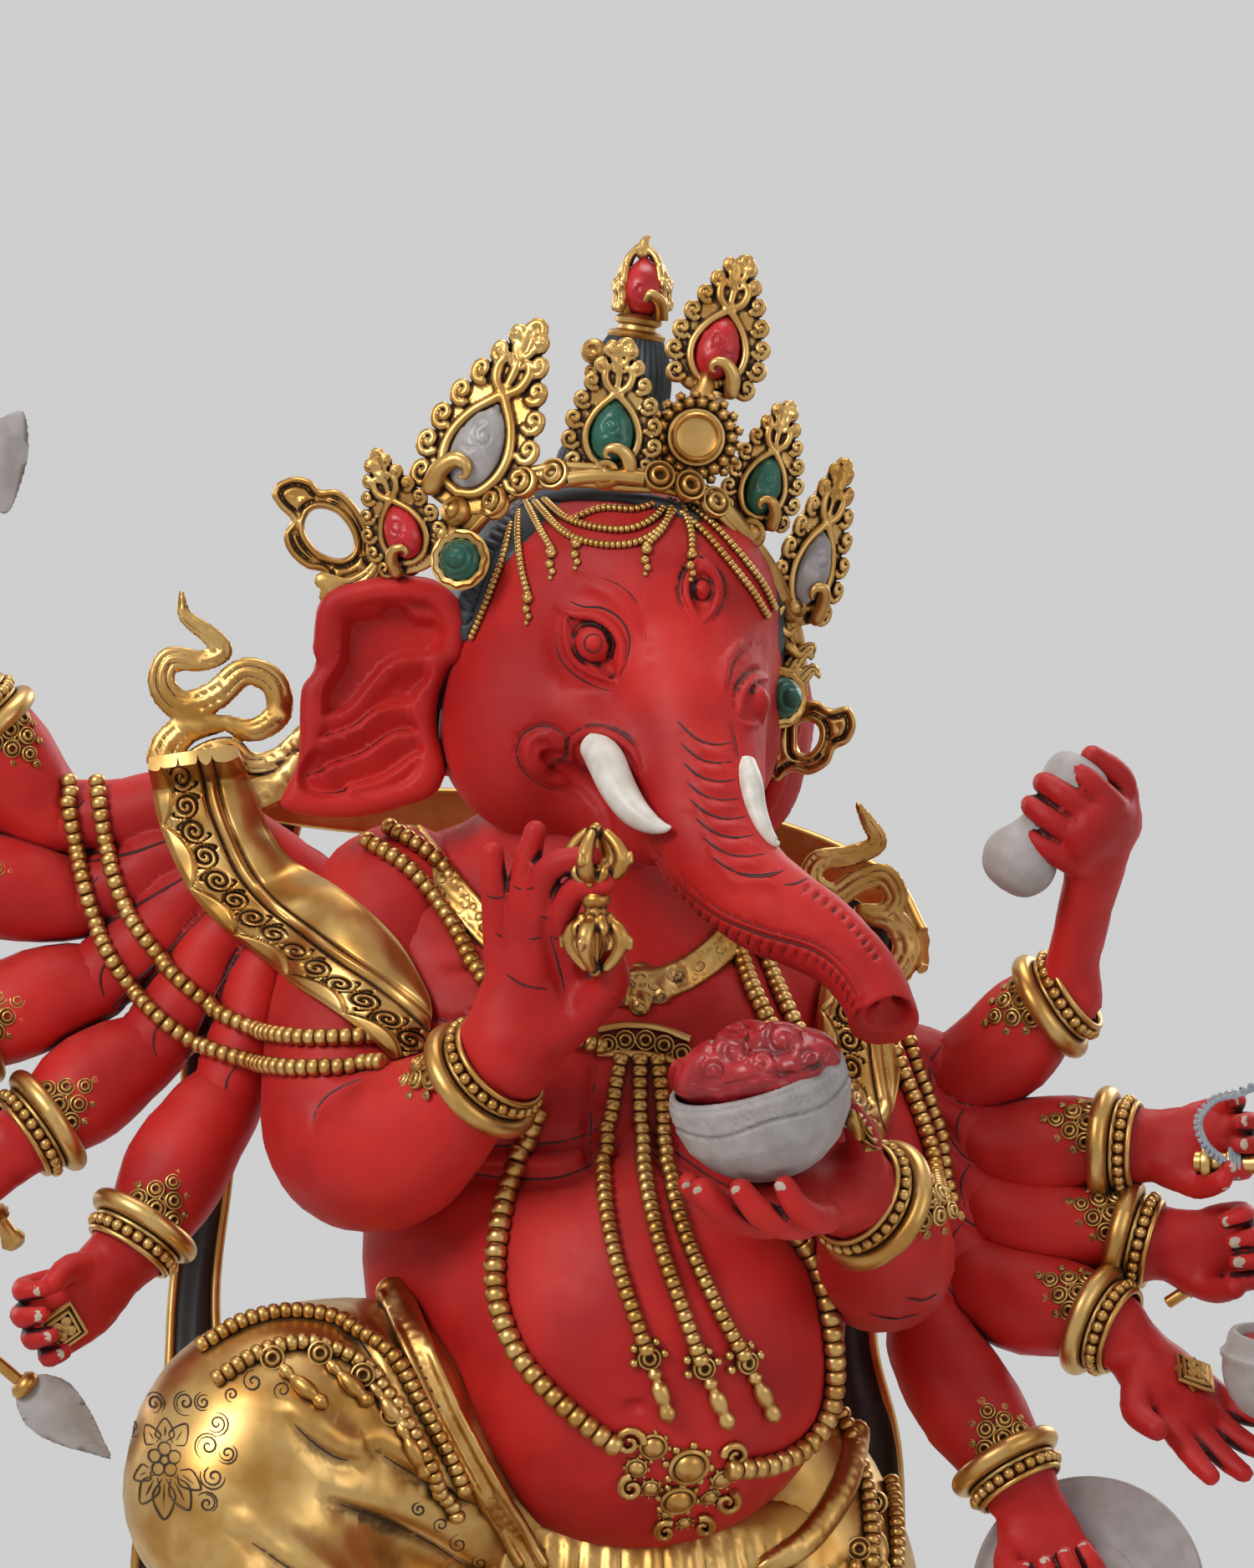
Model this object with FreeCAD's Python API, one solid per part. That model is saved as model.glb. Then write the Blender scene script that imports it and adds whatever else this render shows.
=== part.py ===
import FreeCAD, Part  # FreeCAD has to be imported before Part
import math
import os

# Twelve-armed dancing elephant-headed figure on a mouse and a lotus base, cast in copper alloy,
# gilded and painted. Millimetres, +Z up, origin at the centre of the underside of the base.
# The display side faces -Y. "right" and "left" are the figure's own: its right side is at -X.

Vec = FreeCAD.Vector

# ---- driving dimensions -------------------------------------------------------------------------
base_radius = 112.0        # foot ring of the lotus base
base_height = 62.0
base_waist_radius = 88.0
base_top_radius = 100.0
base_wall = 4.0
plate_thickness = 2.0      # sealing plate let into the foot ring
rim_width = 6.0            # flat of the foot ring outside the plate

mouse_height = 34.0
mouse_length = 92.0
mouse_width = 40.0

bolt_radius = 3.0          # bolt that holds foot, mouse and base together
bolt_clearance = 0.1
bolt_into_foot = 9.0
nut_height = 5.0
nut_across = 10.0

seat_gap = 0.15            # between a ring or bead and what carries it
bead_gap = 0.1             # between neighbours on a string
touch_gap = 0.3            # between curved castings that only meet
grip_clearance = 0.05      # radial, of a shaft in its fist
casting_wall = 3.5         # wall of the hollow castings

wrist_radius = 9.5
main_wrist_radius = 11.5
bracelet_wire = 2.2
forearm_radius = 13.0
main_arm_radius = 20.0
elbow_radius = 9.0
fan_thickness = 19.0

shaft_radius = 1.6         # axe, arrow, spear and staff
grip_radius = 2.2          # sword

head_centre = Vec(-4, -12, 481)
head_size = Vec(39, 38, 42)
neck_radius = 26.0
neck_foot_z = 438.0
skirt_top_z = 272.0

crown_wire = 3.4
leaf_thickness = 4.0
gem_depth = 3.0

bead_long = 2.45           # bead radii
bead_short = 2.0
bead_arm = 2.0
bead_small = 1.5

os.makedirs("parts", exist_ok=True)


# ---- helpers ------------------------------------------------------------------------------------
def save(name, shape):
    solids = [s for s in shape.Solids if s.Volume > 0.5]
    if not solids:
        raise ValueError(name + " has no solid")
    out = solids[0] if len(solids) == 1 else Part.makeCompound(solids)
    out.exportStep("parts/" + name + ".step")
    print(name, len(solids), "solids", round(sum(s.Volume for s in solids)), "mm3")


def frame_axes(tangent, ref):
    side = ref - tangent * ref.dot(tangent)
    side.normalize()
    return side, tangent.cross(side)


def section(centre, tangent, ref, r1, r2):
    """One closed elliptical section: r1 along ref, r2 across it."""
    e1, e2 = frame_axes(tangent, ref)
    m = FreeCAD.Matrix(e1.x * r1, e2.x * r2, tangent.x, centre.x,
                       e1.y * r1, e2.y * r2, tangent.y, centre.y,
                       e1.z * r1, e2.z * r2, tangent.z, centre.z,
                       0, 0, 0, 1)
    circle = Part.Wire([Part.Circle(Vec(0, 0, 0), Vec(0, 0, 1), 1.0).toShape()])
    return Part.Wire(circle.transformGeometry(m).Edges)


def limb(stations, ref=Vec(0, -1, 0), start=None, end=None):
    """A cast limb through (x, y, z, r1, r2) stations; start and end set the end faces' directions."""
    points = [Vec(*s[:3]) for s in stations]
    wires = []
    for i, s in enumerate(stations):
        before = points[i] - points[max(i - 1, 0)]
        after = points[min(i + 1, len(points) - 1)] - points[i]
        for leg in (before, after):
            if leg.Length > 0:
                leg.normalize()
        tangent = before + after
        if i == 0 and start is not None:
            tangent = Vec(start)
        if i == len(points) - 1 and end is not None:
            tangent = Vec(end)
        tangent.normalize()
        r1 = s[3]
        r2 = s[4] if len(s) > 4 else s[3]
        wires.append(section(points[i], tangent, ref, r1, r2))
    return Part.makeLoft(wires, True, True)


def core(stations, **directions):
    """The hollow inside a limb: the same stations, a casting wall in from the skin and the ends."""
    points = [Vec(*s[:3]) for s in stations]
    first, last = points[1] - points[0], points[-2] - points[-1]
    points[0] += first * min(casting_wall / first.Length, 0.9)
    points[-1] += last * min(casting_wall / last.Length, 0.9)
    inner = [(*point, *(max(r - casting_wall, 0.8) for r in s[3:])) for point, s in zip(points, stations)]
    return limb(inner, **directions)


def ellipsoid(centre, size):
    m = FreeCAD.Matrix()
    m.scale(size.x, size.y, size.z)
    m.move(centre)
    return Part.makeSphere(1.0).transformGeometry(m)


def rod(start, end, r):
    axis = end - start
    return Part.makeCylinder(r, axis.Length, start, axis)


def turned(start, axis, profile):
    """A turned piece: profile is (distance along the axis, radius) from end to end."""
    pts = [Vec(0, 0, profile[0][0])]
    pts += [Vec(r, 0, t) for t, r in profile]
    pts += [Vec(0, 0, profile[-1][0])]
    clean = [p for i, p in enumerate(pts) if i == 0 or (p - pts[i - 1]).Length > 1e-6]
    wire = Part.makePolygon(clean + [clean[0]])
    solid = Part.Face(wire).revolve(Vec(0, 0, 0), Vec(0, 0, 1), 360)
    solid.Placement = FreeCAD.Placement(start, FreeCAD.Rotation(Vec(0, 0, 1), axis))
    return solid


def ring(centre, axis, inner, wire):
    """A round wire ring whose bore clears a shaft of radius inner."""
    return Part.makeTorus(inner + seat_gap + wire, wire, centre, axis)


def plate(outline, origin, across, up, thickness):
    """A flat casting: a smooth closed outline of (across, up) points, thickened along its normal."""
    a, u = Vec(across), Vec(up)
    a.normalize()
    u = u - a * a.dot(u)
    u.normalize()
    n = a.cross(u)
    pts = [origin + a * x + u * y - n * (thickness / 2) for x, y in outline]
    curve = Part.BSplineCurve()
    curve.interpolate(pts, PeriodicFlag=True)
    return Part.Face(Part.Wire([curve.toShape()])).extrude(n * thickness)


def ribbon(stations, thickness):
    """A stiff strip through (centre, across vector of half the width) stations."""
    wires = []
    for i, (centre, half) in enumerate(stations):
        c, h = Vec(*centre), Vec(*half)
        nxt = Vec(*stations[min(i + 1, len(stations) - 1)][0])
        last = Vec(*stations[max(i - 1, 0)][0])
        along = nxt - last
        n = along.cross(h)
        n.normalize()
        n = n * (thickness / 2)
        wires.append(Part.makePolygon([c + h + n, c - h + n, c - h - n, c + h - n, c + h + n]))
    return Part.makeLoft(wires, True, True)


def smooth_route(points, count):
    curve = Part.BSplineCurve()
    curve.interpolate([Vec(*p) for p in points])
    return curve.toShape().discretize(count)


def seated(point, r, carrier):
    """A bead centre near point, moved to touch the carrier's skin with seat_gap."""
    away = point - Vec(0, 60, 0)
    hit = Part.makeLine(away, point + Vec(0, 60, 0)).common(carrier)
    front = min((v.Point for v in hit.Vertexes), key=lambda p: p.y, default=point)
    centre = front - Vec(0, r + seat_gap, 0)
    for _ in range(3):
        near = carrier.distToShape(Part.Vertex(centre))[1][0][0]
        out = centre - near
        if out.Length < 1e-6:
            out = Vec(0, -1, 0)
        out.normalize()
        centre = near + out * (r + seat_gap)
    return centre


def is_clear(bead, others):
    """True if a bead neither touches nor lies inside any of the others."""
    for other in others:
        if bead.BoundBox.intersect(other.BoundBox):
            if bead.distToShape(other)[0] < 0.02 or other.isInside(bead.CenterOfMass, 0.01, True):
                return False
    return True


def bead_string(route, r, carrier):
    """Round beads a gap apart along a route, each lying on the carrier."""
    line = [seated(p, r, carrier) for p in smooth_route(route, 36)]
    beads = [Part.makeSphere(r, line[0])]
    last = line[0]
    step = 2 * r + bead_gap
    for a, b in zip(line, line[1:]):
        while (b - last).Length >= step:
            leg, back = b - a, a - last
            qa, qb, qc = leg.dot(leg), 2 * leg.dot(back), back.dot(back) - step * step
            root = (-qb + math.sqrt(max(qb * qb - 4 * qa * qc, 0))) / (2 * qa)
            last = a + leg * min(max(root, 0), 1)
            beads.append(Part.makeSphere(r, last))
    return Part.makeCompound(beads)


# ---- base ---------------------------------------------------------------------------------------
plate_radius = base_radius - rim_width
base_profile = [(0, base_radius), (7, base_radius), (22, base_radius - 6), (32, base_waist_radius),
                (44, base_waist_radius + 6), (56, base_top_radius), (base_height, base_top_radius - 4)]
base_outer = turned(Vec(0, 0, 0), Vec(0, 0, 1), base_profile)
hollow_profile = [(0, plate_radius), (plate_thickness, plate_radius),
                  (plate_thickness, plate_radius - base_wall / 2)]
hollow_profile += [(t, r - base_wall) for t, r in base_profile[2:-1]]
hollow_profile[-1] = (base_height - base_wall, base_top_radius - 2 * base_wall)
base_hollow = turned(Vec(0, 0, 0), Vec(0, 0, 1), hollow_profile)

mouse_top_z = base_height + mouse_height
bolt_axis = Vec(6, -2, 0)
bolt_foot = Vec(bolt_axis.x, bolt_axis.y, base_height - base_wall - nut_height - 3)
bolt_length = mouse_top_z + bolt_into_foot - bolt_foot.z
bolt_bore = Part.makeCylinder(bolt_radius + bolt_clearance, bolt_length, bolt_foot)

save("lotus_base", base_outer.cut(base_hollow).cut(bolt_bore))
save("base_plate", Part.makeCylinder(plate_radius, plate_thickness))
save("figure_bolt", Part.makeCylinder(bolt_radius, bolt_length - 0.3, bolt_foot))

nut_origin = Vec(bolt_axis.x, bolt_axis.y, base_height - base_wall - nut_height)
corner = nut_across / math.sqrt(3)
hexagon = [nut_origin + Vec(corner * math.cos(k * math.pi / 3), corner * math.sin(k * math.pi / 3), 0)
           for k in range(7)]
nut = Part.Face(Part.makePolygon(hexagon)).extrude(Vec(0, 0, nut_height))
save("figure_nut", nut.cut(bolt_bore))

mouse_mid = Vec(4, 0, base_height + mouse_height * 0.5)
half_h, half_w, half_l = mouse_height / 2, mouse_width / 2, mouse_length / 2
mouse = limb([(mouse_mid.x - half_l, 0, mouse_mid.z - 6, 7, 7),
              (mouse_mid.x - half_l * 0.7, 0, mouse_mid.z - 1, half_w * 0.75, half_h * 0.92),
              (mouse_mid.x - half_l * 0.2, 0, mouse_mid.z, half_w, half_h),
              (mouse_mid.x + half_l * 0.25, 0, mouse_mid.z, half_w * 0.9, half_h * 0.98),
              (mouse_mid.x + half_l * 0.7, 0, mouse_mid.z - 2, half_w * 0.6, half_h * 0.75),
              (mouse_mid.x + half_l, 0, mouse_mid.z - 7, 3.5, 3.5)], start=(1, 0, 0), end=(1, 0, 0))
# flat belly on the lotus and a flat saddle under the standing foot
saddle_z = mouse_top_z - 2.0
mouse_room = Part.makeBox(400, 400, saddle_z - base_height, Vec(-200, -200, base_height))
save("mouse", mouse.common(mouse_room).cut(bolt_bore))

tail_route = [Vec(-41.5, 0, base_height + 4), Vec(-58, -6, base_height + 2.4),
              Vec(-66, -24, base_height + 2.2), Vec(-58, -40, base_height + 2.2)]
tail = limb([(*tail_route[0], 3.2), (*tail_route[1], 2.2), (*tail_route[2], 1.9), (*tail_route[3], 1.2)],
            ref=Vec(0, 0, 1))
save("mouse_tail", tail.cut(mouse).common(mouse_room))

# ---- skirt, legs, feet --------------------------------------------------------------------------
upright = {"start": (0, 0, 1), "end": (0, 0, 1)}
skirt_stations = [(4, 4, 236, 26, 30), (4, 3, 246, 36, 44), (3, 0, 260, 41, 51), (3, -2, skirt_top_z, 42, 52)]
skirt = limb(skirt_stations, **upright)
ankle_z = saddle_z + 14.0
leg_left_stations = [(30, 6, 262, 27), (36, -4, 226, 26), (36, -10, 198, 22), (26, -4, 166, 19),
                     (14, 0, 134, 14), (11, 0, ankle_z + 6, 12)]
leg_left = limb(leg_left_stations, end=(0, 0, -1)).cut(skirt)
thigh_stations = [(-22, -2, 262, 33), (-56, -14, 284, 34), (-82, -24, 292, 31), (-98, -30, 284, 22)]
shin_stations = [(-98, -32, 280, 19), (-72, -42, 252, 21), (-44, -48, 235, 16), (-26, -50, 226, 11)]
thigh_right = limb(thigh_stations).cut(skirt)
shin_right = limb(shin_stations).cut(skirt)

foot_left = limb([(9, -31, saddle_z + 3, 3, 9), (9, -24, saddle_z + 5, 5, 11),
                  (8, -8, saddle_z + 8, 8, 11), (8, 8, saddle_z + 8, 8, 10),
                  (8, 14, saddle_z + 5, 5, 8)], ref=Vec(0, 0, 1))
ankle_left = Part.makeCylinder(11, ankle_z + 6 - saddle_z - 4, Vec(11, 0, saddle_z + 4))
foot_left = foot_left.fuse(ankle_left)
save("foot_left", foot_left.common(
    Part.makeBox(400, 400, ankle_z + 6 - saddle_z, Vec(-200, -200, saddle_z))).cut(bolt_bore))
foot_right = limb([(-26, -50, 226, 11), (-16, -51, 222, 10, 9), (0, -54, 214, 7, 10),
                   (16, -58, 208, 4, 9)], ref=Vec(0, 0.3, 1),
                  start=(16, -2, -8))
foot_right = foot_right.cut(shin_right).cut(leg_left)
save("foot_right", foot_right)
anklet_left = ring(Vec(11, 0, ankle_z + 2), Vec(0, 0, 1), 11, 1.9).cut(foot_left)
anklet_right = ring(Vec(-22, -50.4, 224), Vec(16, -2, -6), 11, 1.9).cut(leg_left).cut(foot_right)
save("anklets", Part.makeCompound([anklet_left, anklet_right]))

# ---- torso and head -----------------------------------------------------------------------------
torso_stations = [(3, -2, skirt_top_z, 38, 46), (2, -9, 288, 45, 51), (0, -13, 312, 49, 52),
                  (-7, -8, 340, 45, 55), (-10, -1, 366, 36, 50), (-9, 2, 392, 32, 54),
                  (-6, 5, 414, 27, 58), (-8, 6, 430, 23, 44), (-10, 5, neck_foot_z, neck_radius, neck_radius),
                  (-10, 2, 452, neck_radius, neck_radius)]
torso = limb(torso_stations, **upright)
save("skirt", skirt.cut(core(skirt_stations, **upright)))
save("leg_left", leg_left.cut(core(leg_left_stations[1:], end=(0, 0, -1))))
thigh_right = thigh_right.cut(torso)
shin_right = shin_right.cut(thigh_right).cut(torso)
leg_right = Part.makeCompound([thigh_right, shin_right])
save("leg_right", Part.makeCompound([thigh_right.cut(core(thigh_stations)), shin_right]))
head_body = ellipsoid(head_centre, head_size)
trunk = limb([(10, -28, 476, 20), (14, -46, 460, 18), (17, -57, 444, 15), (23, -64, 433, 13),
              (33, -68, 424, 11.7), (44, -72, 418, 10), (54, -75, 410, 8.7), (60, -77, 400, 8.4)])
nostrils = rod(Vec(64, -79, 394), Vec(58.5, -76, 403), 4.5)
head = head_body.fuse(trunk).cut(nostrils).cut(torso)
save("torso", torso.cut(core(torso_stations, **upright)))

ear_outline = [(-2, 28), (12, 27), (21, 18), (16, 4), (17, -12), (12, -24), (-4, -27), (-21, -30),
               (-25, -22), (-22, -8), (-22, 8), (-15, 22)]
ear_right = plate(ear_outline, Vec(-61, -24, 475), (1, 0.12, 0), (0.05, 0, 1), 5.0)
ear_left = plate([(x, y) for x, y in ear_outline], Vec(44, 16, 462), (-0.55, -0.84, 0), (0.3, 0, 1), 5.0)
head_clear = ellipsoid(head_centre, head_size + Vec(0.15, 0.15, 0.15))
ear_right = ear_right.cut(head_clear)
ear_left = ear_left.cut(head_clear)
save("ear_right", ear_right)
save("ear_left", ear_left)

tusk_right = limb([(-11, -44, 463, 4.6), (-8, -55, 456, 4.4), (1, -66, 448, 3.2), (9, -72, 443, 1.0)])
tusk_left = limb([(28, -38, 457, 3.6), (31, -46, 452, 3.2), (34, -54, 445, 2.4), (36, -59, 439, 1.0)])
save("tusks", Part.makeCompound([tusk_right.cut(head), tusk_left.cut(head)]))

# ---- hair and crown -----------------------------------------------------------------------------
stud_right_at = Vec(-40, -30, 505)
stud_left_at = Vec(39, 2, 476)
crown_top_at = Vec(-3, -35, 527)
crown_arc = Part.Arc(stud_right_at, crown_top_at, stud_left_at).toShape()
crown_normal = (crown_top_at - stud_right_at).cross(stud_left_at - crown_top_at)
crown_normal.normalize()
crown_tube = Part.Wire([Part.Circle(crown_arc.valueAt(crown_arc.FirstParameter),
                                    crown_arc.tangentAt(crown_arc.FirstParameter),
                                    crown_wire).toShape()])
crown_band = Part.Wire([crown_arc]).makePipe(crown_tube)
crown_band = crown_band if crown_band.ShapeType == "Solid" else \
    Part.Wire([crown_arc]).makePipeShell([crown_tube], True, False)
crown_centre = crown_arc.Curve.Center

# hair shell over the back of the head, behind the crown
hair_thickness = 2.4
hair_grow = Vec(hair_thickness, hair_thickness, hair_thickness)
hair_shell = ellipsoid(head_centre, head_size + hair_grow)
behind = -crown_normal if crown_normal.y < 0 else crown_normal
half_space = Part.makeBox(200, 200, 100, Vec(-100, -100, 0))
half_space.Placement = FreeCAD.Placement(crown_centre + behind * (crown_wire + touch_gap),
                                         FreeCAD.Rotation(Vec(0, 0, 1), behind))
hair = hair_shell.common(half_space)
topknot_foot = Vec(-5, 10, 519)
topknot_axis = Vec(11, -3, 56)
topknot = turned(topknot_foot, topknot_axis,
                 [(0, 15), (5, 16.5), (12, 15), (17, 11.5), (18, 11.8), (26, 11.8), (33, 10), (36, 7)])
topknot_axis.normalize()
hair = hair.fuse(topknot).cut(head_clear).cut(torso)
save("hair_and_topknot", hair)
finial_foot = topknot_foot + topknot_axis * 36
finial = turned(finial_foot, topknot_axis,
                [(0, 7), (1.5, 7.2), (3, 6), (5, 6.2), (10, 7.2), (15, 6), (19, 3), (22, 1.2)])
save("topknot_finial", finial)

head = head.cut(crown_band)
head_wall = Vec(casting_wall, casting_wall, casting_wall) * 2
save("head", head.cut(ellipsoid(head_centre, head_size - head_wall).common(
    Part.makeBox(200, 200, 100, Vec(-100, -100, 460)))))
crown_band = crown_band.cut(ellipsoid(head_centre, head_size)).cut(hair).cut(ear_right).cut(ear_left)
crown_band = crown_band.cut(trunk)
save("crown_band", crown_band)


def leaf_outline(width, height):
    """Half-width and height of a pointed flame-shaped crown leaf, from its foot to its tip."""
    half = [(0.30, 0.0), (0.50, 0.20), (0.46, 0.45), (0.30, 0.66), (0.16, 0.85), (0.05, 1.0)]
    right = [(width * x, height * y) for x, y in half]
    return right + [(-x, y) for x, y in reversed(right)]


# each leaf: place along the crown's arc (0 to 1), width, height, lean away from the arc's plane
leaf_places = [(0.10, 20, 34, 0.05), (0.32, 27, 44, 0.02), (0.52, 24, 40, -0.05),
               (0.60, 24, 56, -0.45), (0.76, 19, 32, -0.05), (0.93, 20, 42, -0.05)]
span = crown_arc.LastParameter - crown_arc.FirstParameter
leaves, gems = [], []
for share, leaf_width, leaf_height, lean in leaf_places:
    at = crown_arc.valueAt(crown_arc.FirstParameter + span * share)
    along = crown_arc.tangentAt(crown_arc.FirstParameter + span * share)
    outward = at - crown_centre
    outward.normalize()
    upward = outward + behind * lean
    upward.normalize()
    foot = at + upward * (crown_wire + seat_gap)
    leaf = plate(leaf_outline(leaf_width, leaf_height), foot, along, upward, leaf_thickness)
    leaves.append(leaf.cut(crown_band).cut(hair).cut(ear_left))
    normal = along.cross(upward)
    normal.normalize()
    if normal.y > 0:
        normal = normal * -1
    gem_at = foot + upward * (leaf_height * 0.36) + normal * (leaf_thickness / 2 + 0.05)
    gem_ball = ellipsoid(Vec(0, 0, 0), Vec(leaf_width * 0.24, leaf_width * 0.30, gem_depth))
    gem_ball = gem_ball.common(Part.makeBox(60, 60, 30, Vec(-30, -30, 0)))
    gem_ball.Placement = FreeCAD.Placement(gem_at, FreeCAD.Rotation(Vec(0, 0, 1), normal))
    gems.append(gem_ball)
for i, a in enumerate(leaves):
    for b in leaves[:i]:
        leaves[i] = leaves[i].cut(b)
save("crown_leaves", Part.makeCompound(leaves))
for leaf in leaves:
    gems = [g.cut(leaf) for g in gems]
save("crown_gems", Part.makeCompound([g.cut(crown_band) for g in gems]))

stud_profile = [(0, 6.4), (1.6, 6.6), (2.4, 5.2), (5.5, 4.6), (9, 2.2), (10, 0.6)]
stud_right_axis = Vec(-0.35, -0.9, 0.1)
stud_left_axis = Vec(0.9, -0.35, -0.1)
studs = []
for at, axis in ((stud_right_at, stud_right_axis), (stud_left_at, stud_left_axis)):
    axis.normalize()
    stud = turned(at + axis * (crown_wire + seat_gap), axis, stud_profile)
    for other in (head, ear_right, ear_left, crown_band, hair, *leaves):
        stud = stud.cut(other)
    studs.append(stud)
save("crown_studs", Part.makeCompound(studs))

loop_outline = [(0, 0), (7, 4), (9, 13), (6, 21), (0, 26), (-6, 21), (-9, 13), (-7, 4)]
loop_hole = [(x * 0.42, 13 + (y - 13) * 0.42) for x, y in loop_outline]


def ribbon_loop(foot, along, up):
    outer = plate(loop_outline, foot, along, up, 5.0)
    return outer.cut(plate(loop_hole, foot, along, up, 20.0))


loop_right = ribbon_loop(Vec(-57, -22, 503), (0.55, 0.05, 0.8), (-0.8, 0, 0.6))
loop_left = ribbon_loop(Vec(41, 6, 470), (0.2, 0, -1), (1, 0, 0.25))
ribbon_loops = []
for loop in (loop_right, loop_left):
    for other in (head_clear, ear_right, ear_left, crown_band, hair, *leaves, *studs):
        loop = loop.cut(other)
    ribbon_loops.append(max(loop.Solids, key=lambda solid: solid.Volume))
save("ribbon_loops", Part.makeCompound(ribbon_loops))

# ---- arms ---------------------------------------------------------------------------------------
# Each rear arm: elbow, wrist, palm and fingertip points, and the palm's half thickness and width.
right_shoulder = Vec(-52, 12, 414)
left_shoulder = Vec(52, 18, 384)
rear_right = [  # from the top arm down
    ((-142, 16, 443), (-158, 10, 468), (-168, 5, 484), (-181, -2, 490)),
    ((-142, 13, 424), (-168, 10, 430), (-186, 6, 434), (-200, 0, 438)),
    ((-137, 9, 403), (-160, 4, 392), (-177, 0, 384), (-190, -6, 378)),
    ((-121, 3, 386), (-143, -4, 370), (-158, -8, 358), (-170, -14, 350)),
    ((-101, -4, 373), (-118, -14, 341), (-134, -19, 328), (-156, -24, 318)),
]
rear_left = [
    ((77, 18, 381), (106, 8, 401), (113, 4, 426), (112, -3, 448)),
    ((83, 16, 367), (120, 6, 364), (137, 2, 366), (150, -3, 370)),
    ((84, 14, 353), (124, 6, 342), (141, 3, 341), (154, -3, 343)),
    ((80, 9, 337), (117, -5, 323), (136, -14, 306), (149, -20, 291)),
    ((70, 4, 322), (92, -9, 286), (101, -13, 268), (104, -23, 249)),
]
palm_half_thickness = 6.5
palm_half_width = 10.0


def rear_arm(points, start):
    """Forearm and hand of a rear arm, from its elbow face to its fingertips."""
    elbow, wrist, palm, tips = (Vec(*p) for p in points)
    mid = elbow + (wrist - elbow) * 0.45
    near_wrist = wrist - (wrist - elbow) * (6.0 / (wrist - elbow).Length)
    past_wrist = wrist + (wrist - elbow) * (3.0 / (wrist - elbow).Length)
    return limb([(*elbow, elbow_radius), (*mid, forearm_radius), (*near_wrist, wrist_radius),
                 (*past_wrist, wrist_radius), (*palm, palm_half_thickness, palm_half_width),
                 (*tips, 4.5, 7.5)], start=start)


def arm_fan(shoulder, arms, reach_back):
    """The five upper arms cast as one fan, with a flat seat for each forearm."""
    seats, faces = [], []
    for points in arms:
        elbow = Vec(*points[0])
        direction = elbow - shoulder
        direction.normalize()
        seats.append((elbow, direction))
    upper = []
    for elbow, direction in seats:
        root = shoulder + direction * reach_back
        upper.append(limb([(*root, fan_thickness / 2), (*(elbow - direction * 8), elbow_radius + 1.2),
                           (*elbow, elbow_radius + 0.6)], start=direction, end=direction))
        faces.append(direction)
    fan = upper[0]
    for u in upper[1:]:
        fan = fan.fuse(u)
    return fan, faces


fan_right, faces_right = arm_fan(right_shoulder, rear_right, 2.0)
fan_left, faces_left = arm_fan(left_shoulder, rear_left, 0.5)
fan_right = fan_right.cut(torso)
fan_left = fan_left.cut(torso)

arm_main_right = limb([(-60, -4, 424, 20), (-70, -14, 396, main_arm_radius + 1), (-74, -24, 368, main_arm_radius),
                       (-62, -36, 360, main_arm_radius - 1), (-46, -50, 371, 15),
                       (-38, -56, 378, main_wrist_radius), (-31, -61, 384, main_wrist_radius),
                       (-22, -68, 400, 8, 12), (-20, -70, 414, 7, 12), (-20, -70, 436, 5, 10)],
                      ref=Vec(0, -1, 0.3))
arm_main_left = limb([(56, 6, 404, 19), (66, -4, 370, 19), (71, -18, 338, 18), (70, -34, 332, 17),
                      (62, -50, 342, 14), (59, -56, 346, main_wrist_radius),
                      (55, -61, 350, main_wrist_radius), (44, -68, 355, 10, 8), (30, -71, 356, 10, 5),
                      (16, -72, 356, 9, 4)], ref=Vec(0, -1, 0.1))
arm_main_right = arm_main_right.cut(torso)
arm_main_left = arm_main_left.cut(torso)
fan_right = fan_right.cut(arm_main_right)
fan_left = fan_left.cut(arm_main_left)

forearms_right = [rear_arm(p, d) for p, d in zip(rear_right, faces_right)]
forearms_left = [rear_arm(p, d) for p, d in zip(rear_left, faces_left)]
forearms_right = [f.cut(fan_right) for f in forearms_right]
forearms_left = [f.cut(fan_left).cut(arm_main_left) for f in forearms_left]
for arms in (forearms_right, forearms_left):
    for i in range(1, len(arms)):
        arms[i - 1] = arms[i - 1].cut(arms[i])

# ---- hand implements ----------------------------------------------------------------------------
# Shafts that slide: the fist's palm point, direction of the shaft, length behind and ahead of the palm.


def palm_of(points):
    return Vec(*points[2])


def unit(x, y, z):
    w = Vec(x, y, z)
    w.normalize()
    return w


def straight_shaft(palm, axis, behind_palm, ahead, r):
    return rod(palm - axis * behind_palm, palm + axis * ahead, r)


axe_axis = unit(0.12, -0.22, 0.97)
axe_palm = palm_of(rear_right[0])
axe = straight_shaft(axe_palm, axe_axis, 20, 62, shaft_radius)
axe = axe.fuse(turned(axe_palm - axe_axis * 24, axe_axis, [(0, 1.5), (2, 3), (4, 1.8)]))
blade_at = axe_palm + axe_axis * 50
axe_blade = plate([(-2, -7), (4, -8), (10, -12), (13, 0), (10, 12), (4, 8), (-2, 7), (-6, 4), (-6, -4)],
                  blade_at, (1, 0.2, 0), axe_axis, 3.0)
save("axe", axe.fuse(axe_blade))

arrow_axis = unit(-0.30, -0.30, 0.90)
arrow_palm = palm_of(rear_right[1])
arrow = straight_shaft(arrow_palm, arrow_axis, 22, 46, shaft_radius)
arrow = arrow.fuse(turned(arrow_palm + arrow_axis * 45, arrow_axis, [(0, 2.4), (4, 3.4), (14, 0.4)]))
arrow = arrow.fuse(turned(arrow_palm - arrow_axis * 26, arrow_axis, [(0, 3), (3, 3.2), (8, 1.8)]))
save("arrow", arrow)

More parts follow.
